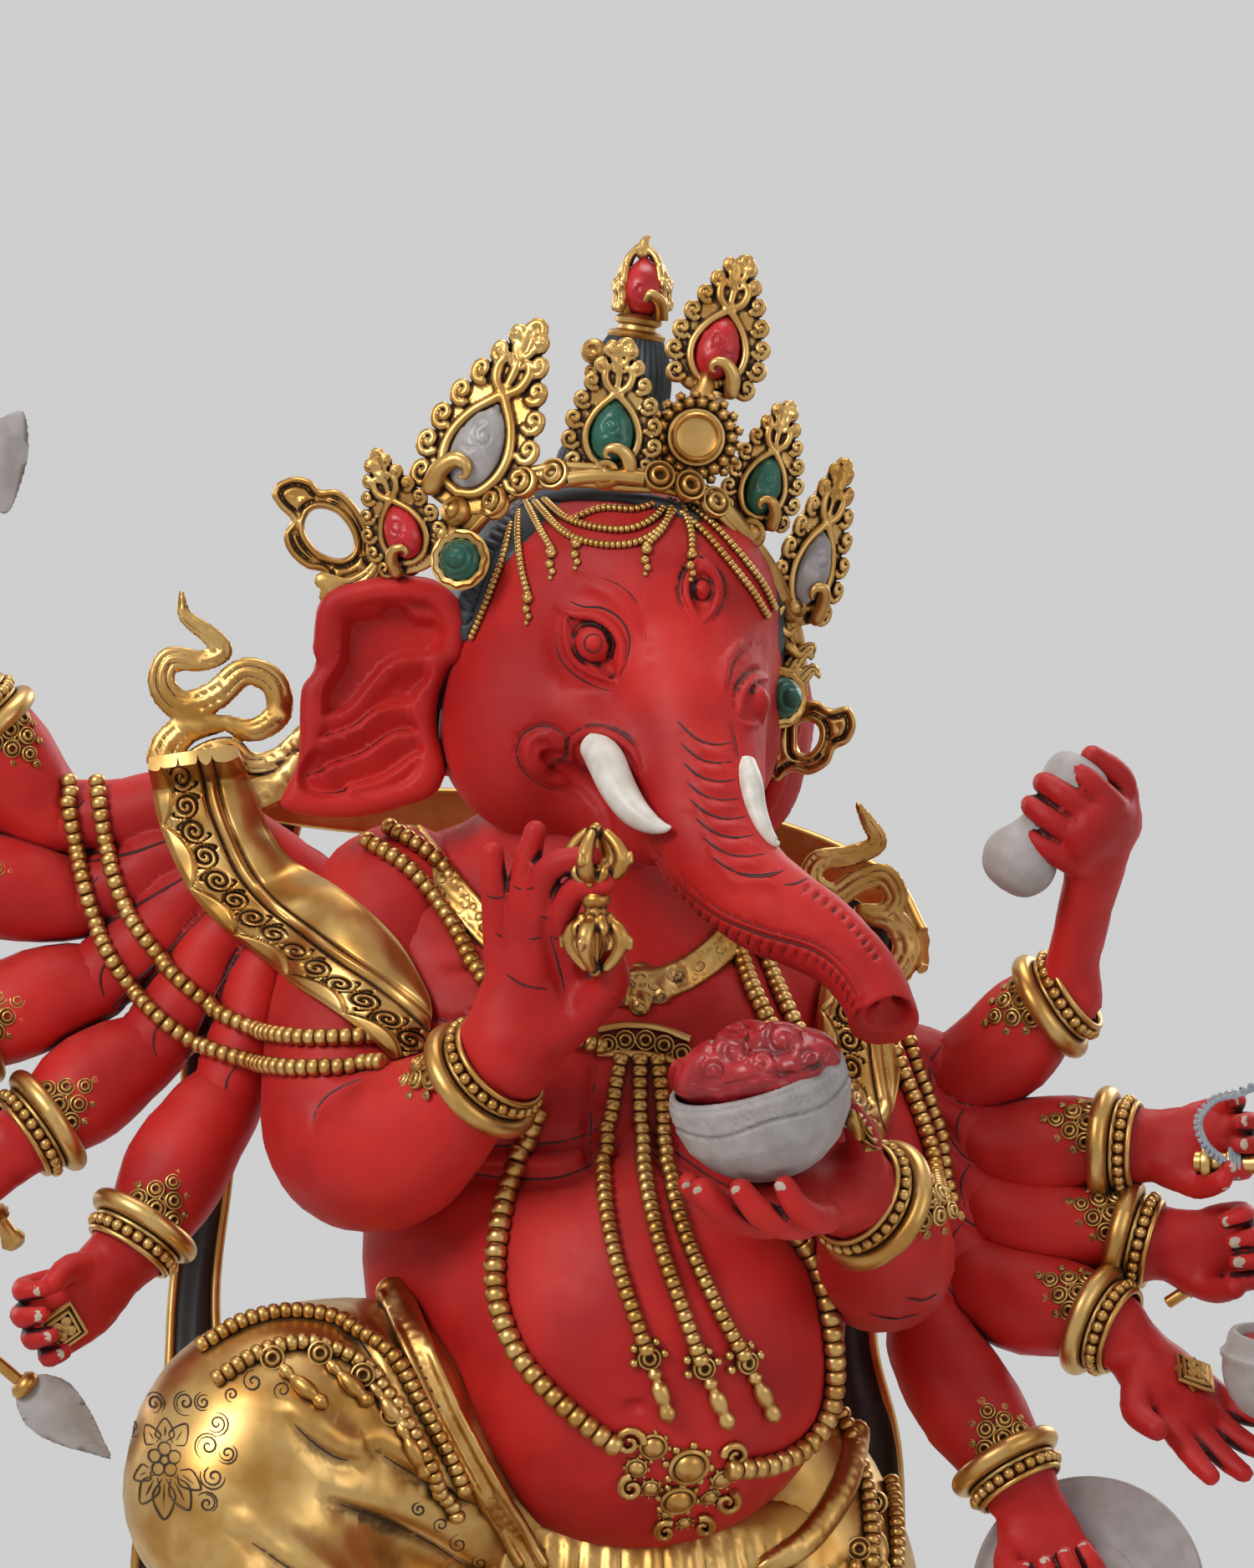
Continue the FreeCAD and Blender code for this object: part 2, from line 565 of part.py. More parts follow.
hook_axis = unit(-0.38, -0.50, 0.78)
hook_palm = palm_of(rear_right[2])
hook = straight_shaft(hook_palm, hook_axis, 14, 30, shaft_radius)
hook = hook.fuse(turned(hook_palm + hook_axis * 29, hook_axis, [(0, 2), (2, 3.2), (5, 2), (14, 0.5)]))
hook_bend = Part.makeTorus(6, 1.3, hook_palm + hook_axis * 32, unit(0.7, -0.6, 0)).cut(
    Part.makeBox(40, 40, 40, hook_palm + hook_axis * 32 + Vec(-20, -20, -40)))
save("elephant_hook", hook.fuse(hook_bend))

sword_axis = unit(-0.50, -0.38, 0.78)
sword_palm = palm_of(rear_right[3])
sword = straight_shaft(sword_palm, sword_axis, 19, 16, grip_radius)
sword = sword.fuse(turned(sword_palm - sword_axis * 22, sword_axis, [(0, 2), (1.5, 3.4), (4, 2.2)]))
sword = sword.fuse(turned(sword_palm + sword_axis * 14, sword_axis, [(0, 3), (1.5, 5.5), (3, 3)]))
sword_across = sword_axis.cross(Vec(0, 1, 0))
sword_blade = plate([(4, 0), (4.6, 20), (4.2, 40), (0, 54), (-4.2, 40), (-4.6, 20), (-4, 0)],
                    sword_palm + sword_axis * 16, sword_across, sword_axis, 2.2)
save("sword", sword.fuse(sword_blade))

spear_axis = unit(0.76, -0.02, -0.65)
spear_palm = Vec(-153.5, -23, 317)
spear = straight_shaft(spear_palm, spear_axis, 62, 12, shaft_radius)
spear = spear.fuse(turned(spear_palm - spear_axis * 66, spear_axis, [(0, 1), (2, 2.8), (5, 1.8)]))
spear = spear.fuse(turned(spear_palm + spear_axis * 11, spear_axis, [(0, 3), (1.5, 4), (4, 3)]))
spear_across = spear_axis.cross(Vec(0, 1, 0))
spear_blade_outline = [(4, 0), (7, 5), (7.5, 10), (4.5, 18), (0.6, 26), (-0.6, 26), (-4.5, 18), (-7.5, 10), (-7, 5),
                       (-4, 0)]
spear_blade = plate(spear_blade_outline, spear_palm + spear_axis * 13, spear_across, spear_axis, 5.0)
save("spear", spear.fuse(spear_blade))

pestle_axis = unit(22, 0, 29)
pestle_foot = Vec(89, -11, 428)
pestle = turned(pestle_foot, pestle_axis,
                [(0, 2), (2, 6.5), (7, 9), (11, 8.6), (16, 6.2), (21, 5.6), (26, 7), (30, 8.2), (34, 7), (37, 2)])
forearms_left[0] = forearms_left[0].cut(pestle)
save("pestle", pestle)

bow_tip_low = Vec(139, -6, 362)
bow_tip_high = Vec(196, -20, 424)
bow = limb([(*bow_tip_low, 2.4), (156, -12, 362, 2.4), (176, -16, 372, 2.6), (190, -19, 392, 2.6),
            (198, -21, 410, 2.2), (*bow_tip_high, 1.5)])
forearms_left[1] = forearms_left[1].cut(bow)
save("bow", bow)
string_radius = 0.9
string = rod(bow_tip_low + Vec(3, -3.4, 3), bow_tip_high + Vec(-3, -1, -6), string_radius)
save("bow_string", string.cut(bow).cut(forearms_left[1]))

staff_axis = unit(0.84, -0.04, 0.54)
staff_palm = Vec(143, 5, 335)
staff = straight_shaft(staff_palm, staff_axis, 15, 60, shaft_radius)
staff = staff.fuse(turned(staff_palm + staff_axis * 44, staff_axis,
                          [(0, 2.4), (3, 5), (6, 3), (8, 6.5), (14, 7.5), (19, 6), (21, 3), (34, 0.6)]))
save("staff", staff)

shield_centre = Vec(111, -7, 258)
shield_axis = unit(0.05, 1, -0.12)
shield = turned(shield_centre, shield_axis, [(0, 28), (2.5, 28), (3.5, 20)])
shield = shield.cut(forearms_left[4])
save("shield", shield)
lance_axis = unit(0.22, 0.05, -0.97)
lance_palm = Vec(101, -24, 252)
lance = straight_shaft(lance_palm, lance_axis, 9, 60, shaft_radius)
lance = lance.fuse(turned(lance_palm - lance_axis * 12, lance_axis, [(0, 1.5), (2, 3.6), (5, 3), (7, 1.8)]))
lance = lance.fuse(turned(lance_palm + lance_axis * 58, lance_axis, [(0, 2), (4, 5), (18, 0.4)]))
save("lance", lance.cut(shield))

grips = [(axe_palm, axe_axis, shaft_radius), (arrow_palm, arrow_axis, shaft_radius),
         (hook_palm, hook_axis, shaft_radius), (sword_palm, sword_axis, grip_radius),
         (spear_palm, spear_axis, shaft_radius)]
for i, (palm, axis, r) in enumerate(grips):
    bore = rod(palm - axis * 30, palm + axis * 30, r + grip_clearance)
    forearms_right[i] = forearms_right[i].cut(bore)
    if i == 4:
        forearms_right[i] = forearms_right[i].cut(spear)
forearms_left[2] = forearms_left[2].cut(rod(staff_palm - staff_axis * 30, staff_palm + staff_axis * 30,
                                            shaft_radius + grip_clearance))
forearms_left[4] = forearms_left[4].cut(rod(lance_palm - lance_axis * 40, lance_palm + lance_axis * 40,
                                            shaft_radius + grip_clearance))
forearms_left[4] = forearms_left[4].cut(rod(lance_palm - lance_axis * 24, lance_palm - lance_axis * 4, 4.2))

blood_cup_centre = Vec(156.6, -25, 312.4)
blood_cup = turned(blood_cup_centre - Vec(0, 0, 12), Vec(0.1, -0.15, 1),
                   [(0, 5), (3, 11), (9, 15), (16, 16), (22, 14.5), (22, 12.5), (18, 12.5)])
blood = turned(blood_cup_centre - Vec(0, 0, 12), Vec(0.1, -0.15, 1), [(18, 12.5), (20, 12.5), (21, 9)])
forearms_left[3] = forearms_left[3].cut(blood_cup)
save("blood_cup", blood_cup)

bowl_axis = unit(-0.21, -0.25, 1)
bowl_foot = Vec(34, -77, 360)
bowl_outer = turned(bowl_foot, bowl_axis, [(0, 5), (3, 12), (9, 17), (17, 20.5), (24, 20), (26, 18.5)])
bowl_inner = turned(bowl_foot, bowl_axis, [(10, 8), (15, 14), (24, 17.5), (27, 17.5)])
skull_bowl = bowl_outer.cut(bowl_inner)
offering = turned(bowl_foot, bowl_axis, [(10, 8), (15, 14), (24, 17.5), (28, 16), (33, 9), (35, 3)])
offering = offering.cut(skull_bowl)
arm_main_left = arm_main_left.cut(bowl_outer)
save("skull_bowl", skull_bowl)
save("offering", Part.makeCompound([offering, blood]))

vajra_axis = unit(-0.5, -2, 34)
vajra_foot = Vec(-7, -80, 405)
vajra = turned(vajra_foot, vajra_axis,
               [(0, 1.6), (3, 2), (5, 6.5), (10, 7.5), (14, 4.5), (16, 3.6), (19, 4.4), (22, 3.6),
                (24, 4.5), (28, 7.5), (33, 7), (35, 2)])
arm_main_right = arm_main_right.cut(vajra)
save("vajra", vajra)
save("arm_main_right", arm_main_right)
save("arm_main_left", arm_main_left)
save("arm_fan_right", fan_right)
save("arm_fan_left", fan_left)
for side, arms in (("right", forearms_right), ("left", forearms_left)):
    for number, arm in enumerate(arms, 1):
        save("forearm_" + side + "_" + str(number), arm)

# ---- bracelets, collar, beads -------------------------------------------------------------------
bracelets_right, bracelets_left = [], []
for arms, made in ((rear_right, bracelets_right), (rear_left, bracelets_left)):
    for points in arms:
        elbow, wrist = Vec(*points[0]), Vec(*points[1])
        made.append(ring(wrist - (wrist - elbow) * (2.0 / (wrist - elbow).Length), wrist - elbow,
                         wrist_radius, bracelet_wire))
bracelets_right.append(ring(Vec(-34.5, -58.5, 381), Vec(7, -5, 6), main_wrist_radius, bracelet_wire))
bracelets_left.append(ring(Vec(57, -58.5, 348), Vec(-4, -5, 4), main_wrist_radius, bracelet_wire))
carriers = [torso, fan_right, fan_left, arm_main_right, arm_main_left, shield, *forearms_right,
            *forearms_left]
cleared = []
for bracelet in bracelets_right + bracelets_left:
    for other in carriers + cleared:
        if bracelet.BoundBox.intersect(other.BoundBox):
            bracelet = bracelet.cut(other)
    cleared.append(bracelet)
save("bracelets", Part.makeCompound(cleared))

collar = ring(Vec(-10, 4, neck_foot_z + 3), Vec(0, 0, 1), neck_radius, 2.6)
save("collar", collar.cut(torso).cut(head))

necklace_long_route = [(-22, -50, 372), (-29, -60, 345), (-27, -60, 318), (-16, -62, 300), (4, -62, 290),
                       (24, -60, 292), (38, -50, 306), (43, -45, 325), (38, -45, 345), (28, -45, 358)]
necklace_long = bead_string(necklace_long_route, bead_long, torso).cut(torso)
pendant_centre = seated(Vec(10, -60, 286), 4.0, torso)
pendant = ellipsoid(pendant_centre + Vec(2, -0.5, -2), Vec(8, 2.5, 6)).cut(torso).cut(necklace_long)
save("necklace_long", Part.makeCompound(necklace_long.Solids + [pendant]))

strand_routes = [[(-4, -40, 391), (-6, -45, 370), (-5, -55, 345), (2, -60, 322), (10, -62, 303)],
                 [(1, -40, 391), (0, -45, 370), (5, -55, 345), (14, -60, 322), (24, -60, 303)],
                 [(6, -40, 391), (6, -45, 370), (13, -55, 345), (24, -58, 322), (34, -55, 303)]]
shoulder_routes = [[(-55, -20, 424), (-44, -24, 414), (-34, -28, 400), (-22, -30, 394), (-12, -32, 392)],
                   [(12, -32, 392), (20, -28, 398), (27, -25, 408), (30, -20, 418)]]
short_beads = [bead_string(r, bead_short, torso) for r in strand_routes + shoulder_routes]
kept = []
for group in short_beads:
    for bead in group.Solids:
        near = kept + necklace_long.Solids + [pendant, collar, arm_main_right, arm_main_left, fan_right]
        if is_clear(bead, near):
            kept.append(bead)
save("necklace_short", Part.makeCompound(kept))

arm_strings_right = [[(-130, -4, 446), (-126, -6, 424), (-112, -10, 402), (-96, -10, 390), (-82, -8, 384)],
                     [(-122, -4, 446), (-117, -6, 424), (-105, -10, 407), (-92, -10, 397), (-78, -8, 392)]]
arm_strings_left = [[(66, 0, 392), (70, -2, 378), (73, -4, 364), (75, -4, 350)],
                    [(62, 0, 392), (64, -2, 378), (67, -4, 364), (70, -4, 350)]]
kept = []
for routes, carrier, others in (
        (arm_strings_right, fan_right, [arm_main_right, torso] + forearms_right),
        (arm_strings_left, fan_left, [arm_main_left, torso] + forearms_left)):
    for route in routes:
        for bead in bead_string(route, bead_arm, carrier).Solids:
            if is_clear(bead, kept + others):
                kept.append(bead)
save("arm_beads", Part.makeCompound(kept))

# ---- shawl --------------------------------------------------------------------------------------
everything = [torso, head, arm_main_right, arm_main_left, fan_right, fan_left, ear_right, ear_left]
shawl_right = ribbon([((-86, 22, 452), (9, -9, 6)), ((-96, 8, 446), (9, -7, 5)), ((-92, -2, 430), (10, -5, 7)),
                      ((-76, -16, 408), (11, -5, 9)), ((-60, -24, 396), (8, -4, 8))], 4.0)
shawl_back = ribbon([((-84, 32, 450), (2, 0, 8)), ((-40, 38, 448), (0, 0, 8)), ((0, 40, 446), (0, 0, 8)),
                     ((40, 40, 436), (0, 0, 8)), ((66, 34, 424), (-2, 0, 8))], 4.0)
shawl_left = ribbon([((70, 26, 416), (8, 4, 4)), ((74, 6, 402), (8, 6, 3)), ((68, -10, 388), (9, 5, 3)),
                     ((60, -14, 376), (8, 4, 2))], 4.0)
tail_right = ribbon([((-80, 36, 446), (8, 0, 3)), ((-92, 40, 400), (7, 0, 2)), ((-102, 34, 345), (6, 2, 0)),
                     ((-112, 30, 318), (6, 2, 2)), ((-109, 27, 280), (9, 2, 0)),
                     ((-106, 24, 230), (9, 0, 0)), ((-100, 24, 196), (7, 0, 2))], 3.0)
tail_left = ribbon([((58, 38, 430), (-8, 0, 3)), ((52, 42, 390), (-8, 0, 0)), ((50, 40, 345), (-6, 0, 0)),
                    ((56, 36, 312), (-10, 0, 0)), ((60, 34, 284), (-10, 0, 0)), ((66, 32, 236), (-10, 0, 0)),
                    ((72, 30, 200), (-8, 0, 2))], 3.0)
curl_outline = [(0, -4), (14, -10), (24, -2), (22, 10), (12, 16), (20, 24), (14, 34), (2, 30), (-4, 40),
                (-10, 50), (-16, 44), (-10, 34), (-18, 26), (-14, 14), (-6, 8), (-8, 0)]
curl_right = plate([(-x, y) for x, y in curl_outline], Vec(-88, 4, 446), (1, 0, 0), (-0.15, 0, 1), 5.0)
curl_left = plate(curl_outline, Vec(48, 24, 420), (1, 0, 0), (-0.1, 0, 1), 5.0)
everything += [hair, crown_band, *ribbon_loops, leg_right, leg_left, skirt, *forearms_right,
               *forearms_left]
shawl = []
for part in (shawl_right, shawl_back, shawl_left, curl_right, curl_left, tail_right, tail_left):
    for other in everything:
        if part.BoundBox.intersect(other.BoundBox):
            part = part.cut(other)
    largest = max(part.Solids, key=lambda solid: solid.Volume)
    everything.append(largest)
    shawl.append(largest)
save("shawl", Part.makeCompound(shawl))
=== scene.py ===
import math

import bpy
import numpy as np
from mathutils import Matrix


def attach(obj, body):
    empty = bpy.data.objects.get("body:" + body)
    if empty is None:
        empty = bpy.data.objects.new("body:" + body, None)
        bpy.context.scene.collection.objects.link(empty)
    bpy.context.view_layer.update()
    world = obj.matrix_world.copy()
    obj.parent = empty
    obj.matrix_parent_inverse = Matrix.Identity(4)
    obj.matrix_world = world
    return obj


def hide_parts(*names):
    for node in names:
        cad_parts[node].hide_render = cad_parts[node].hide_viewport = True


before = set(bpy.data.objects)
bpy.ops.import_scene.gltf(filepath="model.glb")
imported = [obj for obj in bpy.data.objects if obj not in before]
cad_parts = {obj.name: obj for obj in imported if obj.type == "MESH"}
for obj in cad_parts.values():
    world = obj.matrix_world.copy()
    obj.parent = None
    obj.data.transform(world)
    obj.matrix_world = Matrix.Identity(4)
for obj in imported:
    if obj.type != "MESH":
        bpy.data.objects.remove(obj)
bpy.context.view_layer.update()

import openvdb
from mathutils import Vector

# shapes are worked in millimetres and written out in metres; the display side faces -Y
body = "figure"
farAway = 14.0      # distances in a clay block stop here
noSkin = 999.0      # the y given where a view from the front misses a skin
skinLimit = 900     # a smaller y lies on a skin
metres = 0.001      # one millimetre


# shader helpers
class Signal:
    def __init__(self, shader, socket):
        self.shader = shader
        self.socket = socket

    def maths(self, operation, first, second):
        return self.shader.node("ShaderNodeMath", {"operation": operation}, {0: first, 1: second})

    def __add__(self, other):
        return self.maths("ADD", self, other)

    def __rsub__(self, other):
        return self.maths("SUBTRACT", other, self)

    def __mul__(self, other):
        return self.maths("MULTIPLY", self, other)

    __radd__ = __add__
    __rmul__ = __mul__


class Shader:
    def __init__(self, name):
        self.material = bpy.data.materials.new(name)
        self.material.use_nodes = True
        self.tree = self.material.node_tree
        self.tree.nodes.clear()
        self.where = self.node("ShaderNodeTexCoord", {}, {}, "Object")

    def node(self, kind, settings, inputs, output=0):
        made = self.tree.nodes.new(kind)
        for key, value in settings.items():
            if key == "stops":
                for element, (place, colour) in zip(made.color_ramp.elements, value):
                    element.position = place
                    element.color = colour
            else:
                setattr(made, key, value)
        for key, value in inputs.items():
            if isinstance(value, Signal):
                self.tree.links.new(value.socket, made.inputs[key])
            else:
                made.inputs[key].default_value = value
        return Signal(self, made.outputs[output] if len(made.outputs) else None)

    def noise(self, size, detail=3.0, rough=0.55):
        # size is the width of a blotch in millimetres
        return self.node("ShaderNodeTexNoise", {},
            {"Vector": self.where, "Scale": 1000 / size, "Detail": detail, "Roughness": rough}, "Fac")

    def step(self, value, low, high):
        # 0 below low, 1 above high, eased between
        return self.node("ShaderNodeMapRange", {"interpolation_type": "SMOOTHSTEP"},
            {"Value": value, "From Min": low, "From Max": high})

    def mix(self, share, first, second):
        asColour = [c if isinstance(c, Signal) else (*c, 1.0) for c in (first, second)]
        return self.node("ShaderNodeMix", {"data_type": "RGBA"},
            {0: share, 6: asColour[0], 7: asColour[1]}, 2)

    def cavity(self):
        return self.node("ShaderNodeAttribute", {"attribute_name": "cavity"}, {}, "Fac")

    def nearby(self, distance, samples=6):
        # 1 where other surfaces crowd in, 0 in the open
        return 1 - self.node("ShaderNodeAmbientOcclusion", {"samples": samples},
            {"Distance": distance * metres}, "AO")

    def bump(self, height, strength, distance):
        return self.node("ShaderNodeBump", {}, {"Height": height, "Strength": strength,
            "Distance": distance * metres}, "Normal")

    def finish(self, **inputs):
        surface = self.node("ShaderNodeBsdfPrincipled", {},
            {k.replace("_", " "): v for k, v in inputs.items()})
        self.node("ShaderNodeOutputMaterial", {}, {"Surface": surface})
        return self.material


redLook = {"low": (0.40, 0.0055, 0.0050), "high": (0.59, 0.016, 0.012), "shadeAndGlaze": (0.040, 0.003, 0.0025),
    "dustAndLitTop": (0.62, 0.085, 0.075)}


def makeRedPaint():
    s = Shader("redPaint")
    base = s.mix(s.step(s.noise(38), 0.35, 0.68), redLook["low"], redLook["high"])
    # upward faces are paled towards pink: dust, with a painted highlight on the top surfaces
    facingUp = s.node("ShaderNodeSeparateXYZ", {}, {0: s.node("ShaderNodeNewGeometry", {}, {}, "Normal")},
        2)
    dustAndLitTopShare = s.step(facingUp, 0.05, 1.0) * s.step(s.noise(9, 5, 0.7), 0.30, 0.75) * 0.38
    base = s.mix(dustAndLitTopShare, base, redLook["dustAndLitTop"])
    # recesses and places where other parts crowd in are darkened: painted shade with a dark glaze; the
    # specks are glaze
    shadeAndGlaze = s.step(s.cavity(), 0.20, 0.72) * 1.1 + s.step(s.nearby(3.2), 0.40, 0.92) * 0.8
    speck = s.step(s.noise(1.6, 2), 0.74, 0.80) * s.step(s.noise(14), 0.52, 0.62) * 0.5
    base = s.mix(s.step(shadeAndGlaze + speck, 0.0, 1.0), base, redLook["shadeAndGlaze"])
    grain = s.noise(0.9, 4, 0.7) + s.noise(5.0, 3) * 1.5
    return s.finish(Base_Color=base, Roughness=0.44 + s.noise(6.0) * 0.22, Specular_IOR_Level=0.32,
        Sheen_Weight=0.04, Sheen_Roughness=0.5, Sheen_Tint=(1.0, 0.55, 0.55, 1.0),
        Normal=s.bump(grain, 0.18, 0.10))


giltLook = {"warm": (0.464, 0.232, 0.055), "pale": (0.688, 0.448, 0.168), "patina": (0.075, 0.028, 0.008),
    "black": (0.008, 0.005, 0.003)}


def makeGilt(name, patina=1.0):
    s = Shader(name)
    base = s.mix(s.step(s.noise(16, 3), 0.30, 0.72), giltLook["warm"], giltLook["pale"])
    crowd = s.step(s.nearby(2.4), 0.28, 0.82) * 0.9 + s.step(s.cavity(), 0.18, 0.70) * 0.85
    worn = s.step(crowd * patina + s.noise(2.4, 5, 0.7) * 0.40 * patina, 0.32, 0.84)
    base = s.mix(worn, base, giltLook["patina"])
    base = s.mix(s.step(crowd * patina, 0.74, 1.30), base, giltLook["black"])
    return s.finish(Base_Color=base, Metallic=1 - worn * 0.6,
        Roughness=0.30 + s.noise(9.0, 4) * 0.14 + worn * 0.30,
        Normal=s.bump(s.noise(0.7, 3, 0.7) + s.noise(6.0, 2) * 0.6, 0.16, 0.08))


def makePaint(name, low, high, shadeAndGlaze, roughness, crowding=2.0):
    # a plain coat of paint with its own drift of colour, darkened in the recesses and where other parts
    # crowd in: painted shade with a dark glaze
    s = Shader(name)
    base = s.mix(s.step(s.noise(6, 4), 0.3, 0.72), low, high)
    # painted shade and glaze where other surfaces crowd in and in the cavities
    crowd = s.step(s.nearby(crowding), 0.35, 0.95) * 0.8 + s.step(s.cavity(), 0.30, 0.85)
    base = s.mix(s.step(crowd, 0.0, 1.0), base, shadeAndGlaze)
    return s.finish(Base_Color=base, Roughness=roughness + s.noise(3.0) * 0.18,
        Normal=s.bump(s.noise(1.0, 4, 0.7) + s.noise(4.0), 0.15, 0.10))


paintLook = {       # low and high colours, the dark colour of painted shade and glaze in the recesses, roughness, and how wide the crowding is felt
    "hairPaint": ((0.012, 0.017, 0.024), (0.030, 0.042, 0.055), (0.002, 0.002, 0.003), 0.42),
    "greyPaint": ((0.35, 0.31, 0.29), (0.44, 0.395, 0.38), (0.06, 0.035, 0.03), 0.45),
    "ivoryPaint": ((0.62, 0.56, 0.46), (0.80, 0.76, 0.68), (0.16, 0.06, 0.02), 0.34, 2.6),
    "greenGem": ((0.008, 0.070, 0.045), (0.020, 0.150, 0.095), (0.002, 0.010, 0.008), 0.22),
    "greyGem": ((0.30, 0.27, 0.26), (0.44, 0.40, 0.39), (0.03, 0.02, 0.02), 0.25),
    "redGem": ((0.40, 0.008, 0.012), (0.62, 0.020, 0.026), (0.04, 0.002, 0.002), 0.22),
    "bloodPaint": ((0.26, 0.006, 0.010), (0.50, 0.022, 0.028), (0.03, 0.001, 0.001), 0.25),
    "nailPaint": ((0.46, 0.35, 0.26), (0.60, 0.48, 0.38), (0.15, 0.03, 0.02), 0.40),
    "wirePaint": ((0.27, 0.30, 0.34), (0.38, 0.41, 0.45), (0.04, 0.03, 0.03), 0.40),
    "darkCloth": ((0.006, 0.006, 0.007), (0.020, 0.018, 0.017), (0.002, 0.002, 0.002), 0.45),
    # the dark lines: painted shade in the skin creases; patina, with painted shade in the cloth folds
    "creaseShadePaint": ((0.028, 0.003, 0.002), (0.070, 0.007, 0.005), (0.008, 0.001, 0.001), 0.50),
    "patinaAndCreaseShadePaint": ((0.028, 0.011, 0.004), (0.070, 0.028, 0.009), (0.008, 0.004, 0.002), 0.50),
    "steel": ((0.30, 0.30, 0.31), (0.42, 0.42, 0.43), (0.05, 0.04, 0.04), 0.30),
    "copper": ((0.30, 0.13, 0.06), (0.44, 0.21, 0.11), (0.05, 0.02, 0.01), 0.35),
}
paints = {
    "redPaint": makeRedPaint(),
    "gilt": makeGilt("gilt"),
    "giltSmooth": makeGilt("giltSmooth", 0.84),
}
for name, look in paintLook.items():
    paints[name] = makePaint(name, *look)
print("materials ready")


# mesh helpers
def makeMesh(name, points, quads, triangles, paint, normals=None, cavity=None, sharp=None):
    mesh = bpy.data.meshes.new(name)
    quads = np.asarray(quads, np.int32).reshape(-1, 4)
    triangles = np.asarray(triangles, np.int32).reshape(-1, 3)
    corners = np.concatenate([triangles.ravel(), quads.ravel()])
    starts = np.concatenate([np.arange(len(triangles)) * 3, len(triangles) * 3 + np.arange(len(quads)) * 4])
    mesh.vertices.add(len(points))
    mesh.vertices.foreach_set("co", (np.asarray(points) * metres).astype(np.float32).ravel())
    mesh.loops.add(len(corners))
    mesh.loops.foreach_set("vertex_index", corners.astype(np.int32))
    mesh.polygons.add(len(starts))
    mesh.polygons.foreach_set("loop_start", starts.astype(np.int32))
    mesh.polygons.foreach_set("use_smooth", np.ones(len(starts), bool))
    mesh.update(calc_edges=True)
    if cavity is not None:
        mesh.attributes.new("cavity", "FLOAT", "POINT").data.foreach_set("value", cavity.astype(np.float32))
    if normals is not None:
        mesh.normals_split_custom_set_from_vertices(normals.tolist())
    if sharp is not None:
        mesh.set_sharp_from_angle(angle=math.radians(sharp))
    mesh.materials.append(paints[paint])
    piece = bpy.data.objects.new(name, mesh)
    bpy.context.scene.collection.objects.link(piece)
    return piece


def settle(piece, nodes=(), rides=body):
    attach(piece, rides)
    if nodes:
        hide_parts(*nodes)
    return piece


def unit(v):
    v = np.asarray(v, float)
    return v / max(np.linalg.norm(v), 1e-9)


def smoothPath(stations, per=6):
    # rows of numbers eased through their stations
    p = np.array(stations, float)
    if len(p) == 2:
        t = np.linspace(0, 1, per + 1)[:, None]
        return p[0] * (1 - t) + p[1] * t
    ends = np.vstack([2 * p[0] - p[1], p, 2 * p[-1] - p[-2]])
    rows = []
    for a, b, c, d in zip(ends, ends[1:], ends[2:], ends[3:]):
        for t in np.arange(per) / per:
            rows.append(b + 0.5 * t * (c - a + t * (2 * a - 5 * b + 4 * c - d + t * (3 * (b - c) + d - a))))
    return np.array(rows + [p[-1]])


def evenPath(line, gap):
    # points a gap apart along a line of many short legs
    line = np.asarray(line, float)
    lengths = np.linalg.norm(np.diff(line[:, :3], axis=0), axis=1)
    along = np.concatenate([[0], np.cumsum(lengths)])
    places = np.linspace(0, along[-1], max(int(round(along[-1] / gap)), 1) + 1)
    return np.stack([np.interp(places, along, line[:, k]) for k in range(line.shape[1])], 1)


def thick(rows, radius):
    # gives every row of x, y, z the same radius
    return np.column_stack([rows, np.full(len(rows), radius)])


def around(count):
    # angles round a circle, evenly spaced
    return np.linspace(0, 2 * math.pi, count + 1)[:-1]


